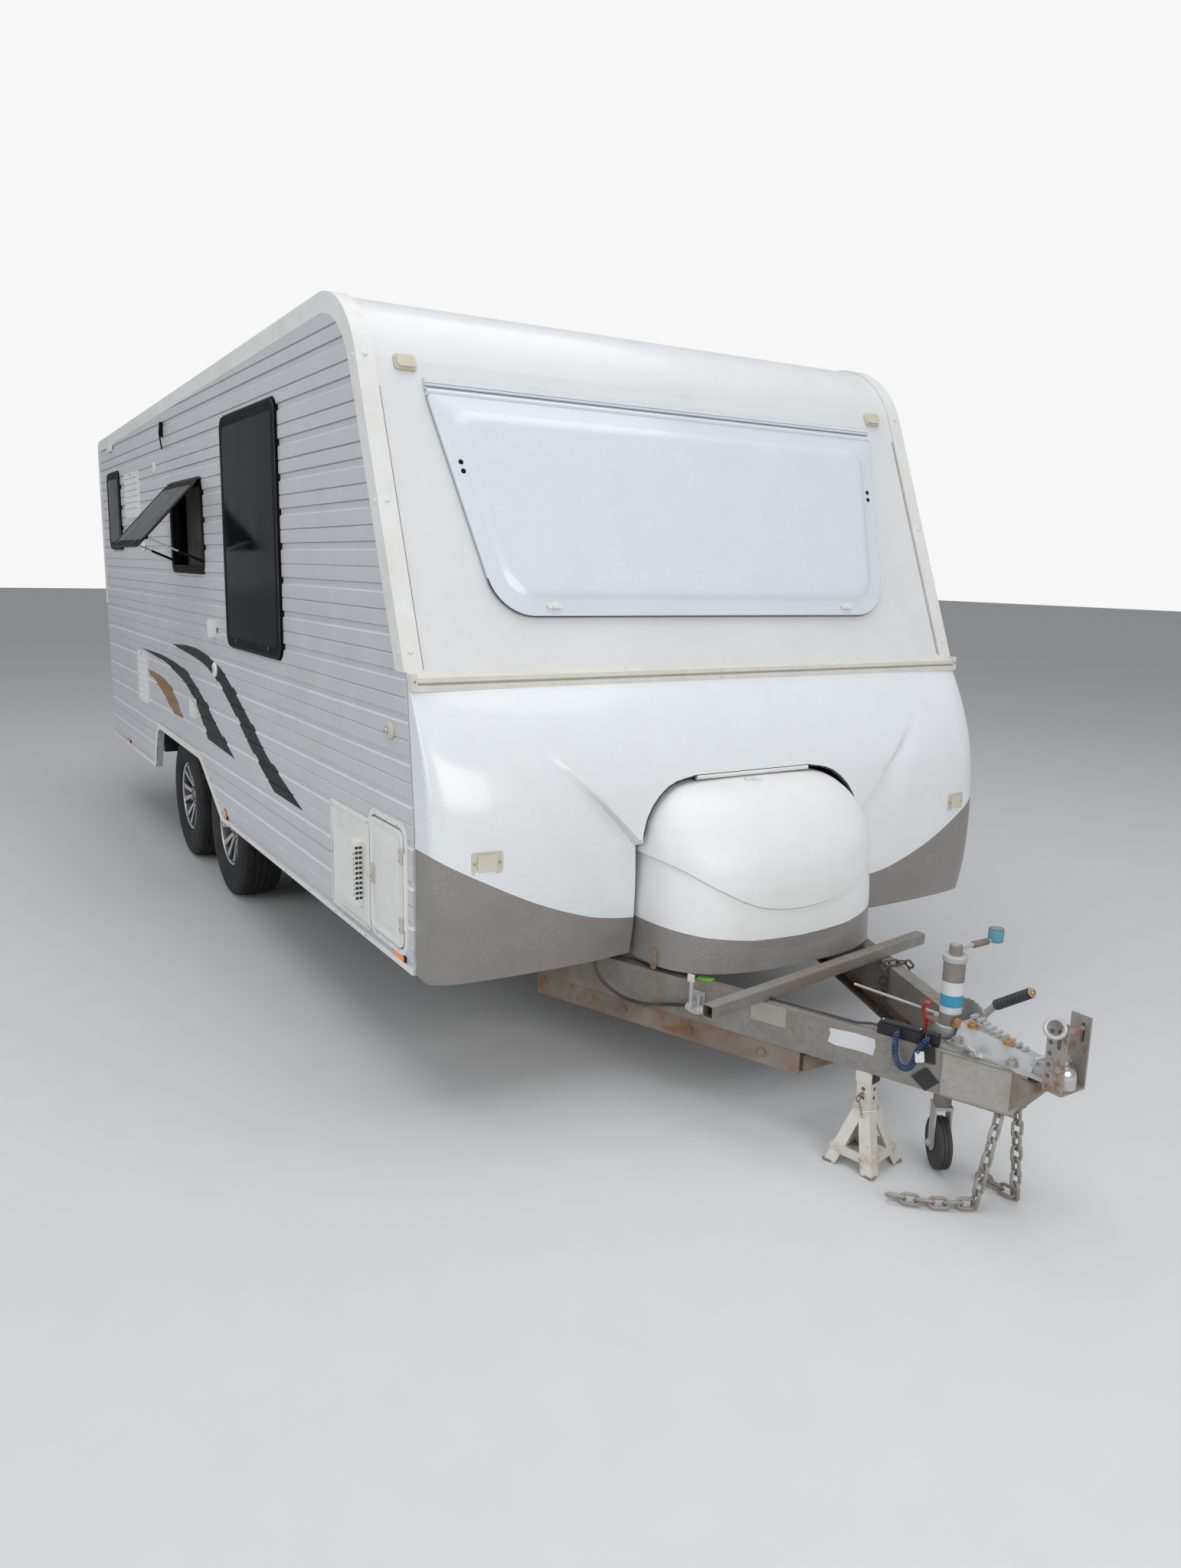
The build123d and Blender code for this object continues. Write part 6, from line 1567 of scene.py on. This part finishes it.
bar = Bits()
bar.prism([(1.128, -0.12), (1.335, -0.041), (1.392, -0.019), (1.392, 0.019), (1.335, 0.041), (1.128, 0.12)],
          0.4051, 0.4072, 0, standing(0, 0, 0))
face = rail_face(1.245, 0.3425)
bar.prism([(-0.082, -0.06), (0.112, -0.06), (0.142, 0.0), (0.142, 0.06), (-0.082, 0.06)],
          0.0002, 0.002, 0, face)
for y in (0.062, -0.061):
    bead(bar, face @ Vector((-0.082, y, 0.001)), face @ Vector((0.118, y, 0.001)), 0.003, 1)
bead(bar, face @ Vector((-0.082, -0.058, 0.001)), face @ Vector((-0.082, 0.06, 0.001)), 0.002, 1)
bead(bar, place(1.128, -0.119, 0.408), place(1.128, 0.119, 0.408), 0.0032, 1)
for side in (-1, 1):
    bead(bar, place(1.124, side * 0.104, 0.4085), place(1.36, side * 0.024, 0.4085), 0.003, 1)
bar.make("nose_plate", ["nose", "galvanised"], bevel=0.0006)
labels = Bits()
labels.prism(rounded(0.118, 0.062, 0.004), 0.0003, 0.0016, 0, rail_face(0.676, 0.372))
for sx in (-1, 1):
    for sz in (-1, 1):
        labels.screw(rail_face(0.676, 0.372) @ Vector((sx * 0.053, sz * 0.025, 0.0016)), outward, 0.0025, 0)
ragged = [(-0.072, -0.022), (-0.05, -0.027), (0.03, -0.024), (0.066, -0.026), (0.072, 0.004), (0.068, 0.024),
          (0.01, 0.026), (-0.04, 0.022), (-0.07, 0.02), (-0.066, 0.002)]
labels.prism(ragged, 0.0003, 0.0008, 1, rail_face(0.925, 0.362))
labels.prism([(-0.024, -0.026), (0.026, -0.022), (0.022, 0.028), (-0.026, 0.026)], 0.0021, 0.003, 2,
             rail_face(1.128, 0.385))
labels.prism([(-0.04, -0.004), (0.002, -0.036), (0.038, 0.0), (0.0, 0.034)], 0.0021, 0.003, 2,
             rail_face(1.13, 0.315))
labels.make("rail_labels", ["plate", "sticker", "tape"])
print("nose plate and labels:", len(bar.faces) + len(labels.faces), "faces")

# %% Coupling
coupler = Bits()
for k in range(9):
    ridge_z = 0.4885 - 0.0275 * k / 8
    coupler.box((1.176 + 0.021 * k, 0, ridge_z), (0.009, 0.026 - 0.001 * k, 0.01), 0, standing(0, 0, 0))
for x, y in ((1.162, -0.048), (1.162, 0.048), (1.33, -0.034), (1.33, 0.034)):
    coupler.bolt(place(x, y, 0.4172), (0, 0, 1), 0.0118, 0.0128, 1)
for x, y, z in ((1.141, -0.02, 0.455), (1.189, -0.02, 0.468), (1.3, -0.014, 0.462)):
    coupler.bolt(place(x, y, z), (0, -0.25, 1), 0.0105, 0.012, 2)
coupler.tube(places((1.39, -0.03, 0.44), (1.4, -0.032, 0.462), (1.425, -0.012, 0.474), (1.425, 0.012, 0.474),
                    (1.4, 0.032, 0.462), (1.39, 0.03, 0.44)), 0.0062, 0, 10)
coupler.lathe([(0.0338, -0.022), (0.0339, 0.002), (0.0335, 0.012), (0.03, 0.022), (0.0225, 0.03),
               (0.013, 0.0345), (0.0118, 0.036), (0.0118, 0.046), (0.009, 0.049)], 3,
              standing(1.456, 0, 0.431), 36)
coupler.lathe([(0.0338, 0.0), (0.0338, 0.005), (0.032, 0.006)], 1, standing(1.456, 0, 0.4065), 36)
coupler.bolt(place(1.456, 0, 0.4765), (0, 0, 1), 0.012, 0.0125, 1)
coupler.tube(places((1.205, -0.07, 0.412), (1.212, -0.078, 0.43), (1.228, -0.08, 0.437),
                    (1.242, -0.072, 0.43), (1.246, -0.064, 0.412)), 0.0055, 0, 10)
coupler.bolt(place(1.226, -0.066, 0.412), (1, 0.4, 0), 0.0075, 0.034, 0)
coupler.make("coupling_fittings", ["zinc", "nose", "copper", "chrome"], bevel=0.0012)
print("coupling:", len(coupler.faces), "faces")

# %% Lock bracket and handbrake
lock = Bits()
# On each side, five dark discs and a long slot stand for the bracket's holes; their dark colour is painted
# shade.
for side in (-1, 1):
    for k in range(5):
        z = 0.44 + 0.03 * k
        lock.lathe([(0.0062, 0.0), (0.0062, 0.0006)], 1,
                   frame_at(place(1.446, side * 0.048, z), x=(0, 0, 1), z=(0, side, 0)), 16)
    lock.prism(rounded(0.0115, 0.054, 0.0055), 0.0, 0.0007, 1,
               frame_at(place(1.47, side * 0.0481, 0.545), z=(0, side, 0)))
    bead(lock, place(1.436, side * 0.047, 0.4015), place(1.486, side * 0.047, 0.4015), 0.0028, 0)
lock.lathe([(0.0085, 0), (0.0085, 0.014), (0.006, 0.017)], 0,
           frame_at(place(1.47, 0.052, 0.558), x=(0, 0, 1), z=(0, 1, 0)), 18)
lock.ring(0.0232, 0.006, 2, frame_at(place(1.465, -0.065, 0.577), z=(0.5, -0.75, 0.42)), 32, 10)
lock.make("lock_bracket_fittings", ["bracket", "dark_painted_shade", "zinc"], bevel=0.0008)
brake = Bits()
grip_start, grip_end = Vector(place(1.178, 0.082, 0.505)), Vector(place(1.282, 0.09, 0.577))
way = (grip_end - grip_start).normalized()
sleeve = [(0.0125, 0.0)]
for k in range(9):
    sleeve += [(0.015, 0.004 + 0.0125 * k), (0.015, 0.01 + 0.0125 * k), (0.0142, 0.0115 + 0.0125 * k),
               (0.0142, 0.0145 + 0.0125 * k)]
sleeve += [(0.0152, 0.118), (0.014, 0.1265)]
brake.lathe(sleeve, 0, frame_at(grip_start, x=(0, 0, 1), z=way), 18)
brake.lathe([(0.009, 0), (0.009, 0.006), (0.0065, 0.008)], 1,
            frame_at(grip_start + way * 0.1262, x=(0, 0, 1), z=way), 14)
brake.bolt(place(1.138, 0.086, 0.453), (0, 1, 0), 0.009, 0.009, 2)
brake.tube(places((1.12, 0.08, 0.43), (1.06, 0.078, 0.416), (0.9, 0.06, 0.414), (0.7, 0.03, 0.413)), 0.0045,
           2, 8)
brake.make("handbrake_fittings", ["rubber", "copper", "zinc"], bevel=0.0006)
print("lock bracket and handbrake:", len(lock.faces) + len(brake.faces), "faces")

# %% Tap and switch box
tap = Bits()
tap_frame = frame_at(place(0.45, rail_y(0.45), 0.345), x=along)
for sign in (-1, 1):
    at = tap_frame @ frame_at((sign * 0.01, -0.018, -0.016), x=(0, 1, 0), z=(sign, 0, 0))
    tap.lathe([(0.015, 0), (0.015, 0.01), (0.012, 0.012), (0.012, 0.02), (0.01, 0.0235)], 0, at, 20)
    tap.prism(hexagon(0.0155), 0.004, 0.012, 1, at)
tap.lathe([(0.0105, 0), (0.0105, 0.012), (0.0085, 0.03)], 1,
          tap_frame @ frame_at((0, -0.028, 0.004), z=(0, -1, 0)), 18)
tap.lathe([(0.007, 0), (0.007, 0.035), (0.0062, 0.08)], 1,
          tap_frame @ Matrix.Translation((-0.002, -0.046, 0.006)), 14)
tap.prism(rounded(0.024, 0.01, 0.004), 0.078, 0.1015, 2,
          tap_frame @ Matrix.Translation((-0.004, -0.046, 0.0)))
tap.prism(rounded(0.05, 0.034, 0.004), 0, 0.003, 3, frame_at(place(0.43, -0.345, 0.4056), x=along))
tap.make("gas_tap_look", ["cream", "zinc", "stand", "green"], replaces=("gas_tap",), bevel=0.001)
tap_body = Bits()
tap_body.prism(rounded(0.034, 0.03, 0.005, 0, -0.0155), -0.03, 0.03, 0, tap_frame)
tap_body.prism(rounded(0.044, 0.006, 0.002, 0, -0.0032), -0.036, 0.036, 0, tap_frame)
tap_body.make("gas_tap_body", ["zinc"], bevel=0.0015)
switch = Bits()
box_frame = frame_at(place(SWITCH_X, SWITCH_Y, 0.4055), x=along)
switch.prism(rounded(0.13, 0.034, 0.006, 0, 0.021), 0, 0.03, 0, box_frame)
switch.prism(rounded(0.118, 0.026, 0.005, 0, 0.021), 0.03, 0.0375, 0, box_frame)
switch.prism(rounded(0.036, 0.02, 0.005, 0.092, 0.018), 0, 0.0375, 0, box_frame)
switch.tube(on(box_frame, (-0.064, 0.02, 0.016), (-0.09, 0.024, 0.014), (-0.13, 0.02, 0.006),
               (-0.26, 0.024, 0.0055), (-0.42, 0.026, 0.0055)), 0.0038, 1, 8)
for x in (-0.054, 0.054):
    switch.screw(box_frame @ Vector((x, 0.021, 0.0375)), (0, 0, 1), 0.0035, 2)
tag = frame_at(from_switch(0.075, -0.03, -0.02), x=(0.35, 0.9, 0), z=(0.85, -0.45, 0.25))
switch.prism(rounded(0.026, 0.03, 0.004), -0.0008, 0.0008, 3, tag)
switch.make("breakaway_box_look", ["black", "cable", "machined", "sticker"],
            replaces=("breakaway_box",), bevel=0.001)
print("tap and switch box:", len(tap.faces) + len(switch.faces), "faces")

# %% Cross tube and underslung frame
tube_bits = Bits()
CROSS_TURN, CROSS_REACH = math.radians(9.3), 0.54
cross_way = Vector((-math.sin(CROSS_TURN), math.cos(CROSS_TURN), 0))
cross_side = Vector((math.cos(CROSS_TURN), math.sin(CROSS_TURN), 0))
at = frame_at(place(0.592, 0.003, 0.425), x=cross_side, z=cross_way)
outer, inner = rounded(0.04, 0.04, 0.005), rounded(0.034, 0.034, 0.003)
# The tube's inner faces (slot 1) are dark as painted shade.
for outline, slot in ((outer, 0), (inner, 1)):
    verts = at_height(outline, -CROSS_REACH) + at_height(outline, CROSS_REACH)
    faces = loop_faces(2, len(outline))
    tube_bits.add(verts, [face[::-1] for face in faces] if slot else faces, slot, at)
for z in (-CROSS_REACH, CROSS_REACH):
    tube_bits.shell([at_height(outer, z), at_height(inner, z)], 0, at)
tube_bits.make("cross_tube_look", ["galvanised", "dark_painted_shade"], replaces=("cross_tube",), angle=30)
under_bits = Bits()
for x in (0.18, 0.42, 0.66):
    under_bits.bolt(rail_face(x, 0.243, 0.001).translation, outward, 0.0085, 0.009)
under_bits.make("underslung_bolts", ["rusty"], bevel=0.0006)
print("cross tube and bolts:", len(tube_bits.faces) + len(under_bits.faces), "faces")

# %% [markdown]
# ## Jockey wheel and axle stand
# The jockey's clamp handle, blank label, crank sleeve and blue knob, its ribbed solid tyre, and the worn
# white axle stand with its black block, pin and short chain.

# %% Jockey wheel
JOCKEY_X, JOCKEY_TOP = 1.095, 0.623
jockey = Bits()
tall = standing(JOCKEY_X, 0, 0)
jockey.lathe([(0.0335, JOCKEY_TOP), (0.0345, JOCKEY_TOP + 0.003), (0.0345, JOCKEY_TOP + 0.015),
              (0.032, JOCKEY_TOP + 0.0185), (0.01, JOCKEY_TOP + 0.02)], 0, tall, 36, False)
jockey.lathe([(0.0304, 0.474), (0.0304, 0.566)], 3, tall, 36, False)
jockey.lathe([(0.0306, 0.494), (0.0306, 0.528)], 4, tall, 36, False)
jockey.lathe([(0.0375, 0.4065), (0.0385, 0.41), (0.0385, 0.436), (0.0375, 0.44), (0.0305, 0.448)], 0, tall,
             36, False)
jockey.prism(rounded(0.03, 0.012, 0.003), 0.402, 0.446, 0, standing(JOCKEY_X - 0.04, 0, 0))
jockey.tube(places((JOCKEY_X - 0.038, 0, 0.426), (JOCKEY_X - 0.06, -0.002, 0.424),
                   (JOCKEY_X - 0.078, -0.006, 0.43), (JOCKEY_X - 0.086, -0.01, 0.446),
                   (JOCKEY_X - 0.084, -0.014, 0.466), (JOCKEY_X - 0.07, -0.018, 0.478),
                   (JOCKEY_X - 0.052, -0.02, 0.48)), 0.0066, 2, 12)
jockey.tube(places((JOCKEY_X - 0.084, 0, 0.44), (JOCKEY_X - 0.084, 0, 0.38)), 0.007, 2, 12)
crank_z = JOCKEY_TOP + 0.034
jockey.tube([place(JOCKEY_X, y, crank_z) for y in (0.0, 0.09, 0.16)], 0.0064, 0, 12)
jockey.lathe([(0.0095, 0.07), (0.0098, 0.072), (0.0098, 0.128), (0.009, 0.13)], 5,
             frame_at(place(JOCKEY_X, 0, crank_z), z=(0, 1, 0)), 16)
jockey.lathe([(0.015, 0), (0.0215, 0.003), (0.0222, 0.008), (0.0214, 0.014), (0.0222, 0.019), (0.0214, 0.024),
              (0.0222, 0.03), (0.0205, 0.0365), (0.012, 0.0385)], 1,
             standing(JOCKEY_X, 0.165, JOCKEY_TOP + 0.0292), 24)
jockey.bolt(place(JOCKEY_X, 0, JOCKEY_TOP + 0.044), (0, 0, 1), 0.008, 0.008, 0)
jockey.make("jockey_fittings", ["zinc", "knob", "red_paint", "sticker", "knob", "rusty"], bevel=0.0008)
FORK = math.radians(-32)
fork_axis = Vector((-math.sin(FORK), math.cos(FORK), 0))
at = frame_at(place(JOCKEY_X, 0, 0.075), x=(math.cos(FORK), math.sin(FORK), 0), z=fork_axis)
roller = Bits()
roller.lathe([(0.046, -0.0185), (0.069, -0.0188), (0.0735, -0.0165), (0.0748, -0.012), (0.0748, -0.0075),
              (0.0725, -0.0065), (0.0725, -0.0045), (0.075, -0.0035), (0.075, 0.0035), (0.0725, 0.0045),
              (0.0725, 0.0065), (0.0748, 0.0075), (0.0748, 0.012), (0.0735, 0.0165), (0.069, 0.0188),
              (0.046, 0.0185)], 0, at, 48)
roller.lathe([(0.0465, -0.017), (0.0465, 0.017)], 1, at, 40)
for end in (-1, 1):
    roller.lathe([(0.013, end * 0.018), (0.013, end * 0.0205), (0.009, end * 0.0208)], 1, at, 20)
    roller.lathe([(0.044, end * 0.015), (0.04, end * 0.0172), (0.016, end * 0.0172)], 1, at, 32)
    for k in range(5):
        a = 2 * math.pi * k / 5
        roller.lathe([(0.0065, end * 0.0172), (0.0065, end * 0.0177)], 2,
                     at @ Matrix.Translation((0.029 * math.cos(a), 0.029 * math.sin(a), 0)), 14)
roller.make("jockey_wheel_look", ["rubber", "plate", "black"], body="jockey_wheel",
            replaces=("jockey_wheel",), bevel=0.0008)
fork = Bits()
for end in (-1, 1):
    fork.bolt(at @ Vector((0, 0, end * 0.0252)), fork_axis * end, 0.0095, 0.009, 0)
fork.lathe([(0.0255, 0), (0.0255, 0.004), (0.012, 0.006)], 0, standing(JOCKEY_X, 0, 0.1895), 24)
fork.make("jockey_fork_fittings", ["zinc"], body="jockey_fork", bevel=0.0006)
print("jockey wheel:", len(jockey.faces) + len(roller.faces) + len(fork.faces), "faces")

# %% Axle stand
STAND_X, STAND_Y, STAND_TURN = 0.96, rail_y(0.96) + 0.0268, math.radians(-32)
stand = Bits()
foot = standing(STAND_X, STAND_Y, 0)
post = foot @ Matrix.Rotation(STAND_TURN + math.pi / 4, 4, "Z")
stand.prism(rounded(0.05, 0.05, 0.004), 0.2462, 0.2796, 1, post)
# Dark discs on the four faces of the post stand for its pin holes; their dark colour is painted shade.
for z in (0.2, 0.227):
    for quarter in range(4):
        pin_hole = post @ Matrix.Rotation(math.pi / 2 * quarter, 4,
                                          "Z") @ frame_at((0, -0.0221, z), z=(0, -1, 0))
        stand.lathe([(0.006, 0.0), (0.006, 0.0005)], 2, pin_hole, 14)
stand.tube(on(post, (0, -0.042, 0.2135), (0, 0.04, 0.2135)), 0.0048, 3, 10)
stand.ring(0.0095, 0.0022, 3, post @ frame_at((0, -0.046, 0.206), x=(0, 0, 1), z=(1, 0, 0)), 18, 6)
chain_at = [post @ Vector((0.004 + 0.002 * k, -0.046 + 0.0015 * k, 0.196 - 0.0105 * k)) for k in range(5)]
for k, point in enumerate(chain_at):
    stand.ring(0.0032, 0.0012, 3, frame_at(point, x=(0, 0, 1), z=(1, 0, 0) if k % 2 else (0, 1, 0)), 10, 5,
               0.006)
for k in range(4):
    way = foot @ Matrix.Rotation(STAND_TURN + math.pi / 2 * k, 4, "Z")
    bead(stand, way @ Vector((0.036, -0.02, 0.168)), way @ Vector((0.036, 0.02, 0.168)), 0.0026, 0)
    stand.prism([(0.08, -0.026), (0.114, -0.005), (0.114, 0.005), (0.08, 0.026)], 0.0003, 0.0035, 4, way)
stand.make("axle_stand_fittings", ["stand", "black", "dark_painted_shade", "rusty", "rusty"], bevel=0.0008)
print("axle stand:", len(stand.faces), "faces")

# %% [markdown]
# ## Roof, rear, left side and underside
# What the photograph doesn't show follows the type: ribbed hatch lids, an awning roll with its end plates,
# a blank number plate, and brackets and bolts under the floor.

# %% Roof
roof_bits = Bits()
for x in (-1.5, -4.15):
    at = frame_at(place(x, 0, roof_z(x)), x=(0, 1, 0), z=(-ROOF_FALL, 0, 1))
    shells = [(0.4, -0.004), (0.4, 0.01), (0.392, 0.013), (0.38, 0.014), (0.372, 0.058), (0.362, 0.068),
              (0.34, 0.0725)]
    outlines = [at_height(rounded(size, size, 0.04), z) for size, z in shells]
    for low, high in zip(outlines, outlines[1:]):
        roof_bits.shell([low, high], 0, at)
    roof_bits.add(outlines[-1], [tuple(range(len(outlines[-1])))], 0, at)
    for k in range(7):
        roof_bits.tube([at @ Vector((u, -0.12 + 0.04 * k, 0.073)) for u in (-0.135, 0.135)], 0.0038, 0, 8)
    for k in range(4):
        for s in (-1, 1):
            roof_bits.screw(at @ Vector((s * 0.1945, -0.15 + 0.1 * k, 0.0105)), (0, 0, 1), 0.0035, 1)
            roof_bits.screw(at @ Vector((-0.15 + 0.1 * k, s * 0.1945, 0.0105)), (0, 0, 1), 0.0035, 1)
for k in range(1, 9):
    x = -0.75 - 0.55 * k
    roof_bits.tube(places((x, -1.095, roof_z(x) + 0.0005), (x, 1.095, roof_z(x) + 0.0005)), 0.0022, 2, 6)
roof_bits.make("roof_details", ["trim", "plate", "slope"], replaces=("roof_hatches",), bevel=0.0012)
print("roof:", len(roof_bits.faces), "faces")

# %% Awning and rear wall
far = Bits()
axis = frame_at(place(-3.0, 1.202, 2.316), x=(0, 0, 1), z=(1, 0, 0))
for k in range(9):
    a = 2 * math.pi * k / 9
    far.tube([axis @ Vector((0.0406 * math.cos(a), 0.0406 * math.sin(a), z)) for z in (-1.98, 1.98)], 0.0016,
             0, 6)
for x in (-1.0, -5.0):
    far.prism(rounded(0.022, 0.07, 0.004), 0.0, 0.0022, 1, frame_at(place(x, 1.2405, 2.316), z=(0, 1, 0)))
far.make("awning_ribs", ["awning", "plate"])
rear_bits = Bits()
at = rear_frame(-5.3885, 0, 0.64)
rear_bits.prism(rounded(0.4, 0.135, 0.01), 0, 0.006, 1, at)
rear_bits.prism(rounded(0.372, 0.107, 0.006), 0.006, 0.0085, 0, at)
for s in (-1, 1):
    rear_bits.screw(at @ Vector((s * 0.15, 0.03, 0.0085)), (-1, 0, 0), 0.005, 2)
rear_bits.tube([place(-5.39, y, 1.3) for y in (-1.14, 1.14)], 0.008, 3, 10)
rear_bits.tube([place(-5.39, y, 2.03) for y in (-0.52, 0.52)], 0.006, 1, 10)
for y in (-0.35, 0.35):
    rear_bits.prism(rounded(0.09, 0.05, 0.012), 0, 0.018, 3, rear_frame(-5.388, y, 2.22))
rear_bits.make("rear_details", ["plate", "black", "machined", "trim"], bevel=0.0012)
print("awning and rear wall:", len(far.faces) + len(rear_bits.faces), "faces")

# %% Underside and step
below = Bits()
for x in (-0.9, -1.7, -4.2, -5.0):
    for side in (-1, 1):
        below.bolt(place(x, side * 0.766, 0.47), (0, side, 0), 0.011, 0.012, 0)
for x in (-2.52, -3.4):
    for side in (-1, 1):
        for dx in (-0.055, 0.055):
            below.tube(places((x + dx, side * 0.7, 0.405), (x + dx, side * 0.7, 0.312),
                              (x + dx, side * 0.742, 0.306), (x + dx, side * 0.78, 0.312),
                              (x + dx, side * 0.78, 0.405)), 0.0065, 0, 8)
below.tube(places((-1.9, 0.3, 0.52), (-1.4, 0.28, 0.5), (-0.7, 0.26, 0.515)), 0.012, 1, 8)
below.make("underside_details", ["rusty", "cable"], bevel=0.0008)
step_bits = Bits()
for k in range(8):
    step_bits.tube([place(x, 0.785 + 0.04 * k, 0.4005) for x in (-4.86, -4.48)], 0.003, 0, 6)
edge = [(-0.2, -0.012), (0.2, -0.012), (0.2, 0.012), (-0.2, 0.012)]
step_bits.prism(edge, 0, 0.0018, 1, wall_frame(1, -4.67, 1.1095, 0.39))
step_bits.make("step_treads", ["step", "rubber"], body="entry_step")
print("underside and step:", len(below.faces) + len(step_bits.faces), "faces")
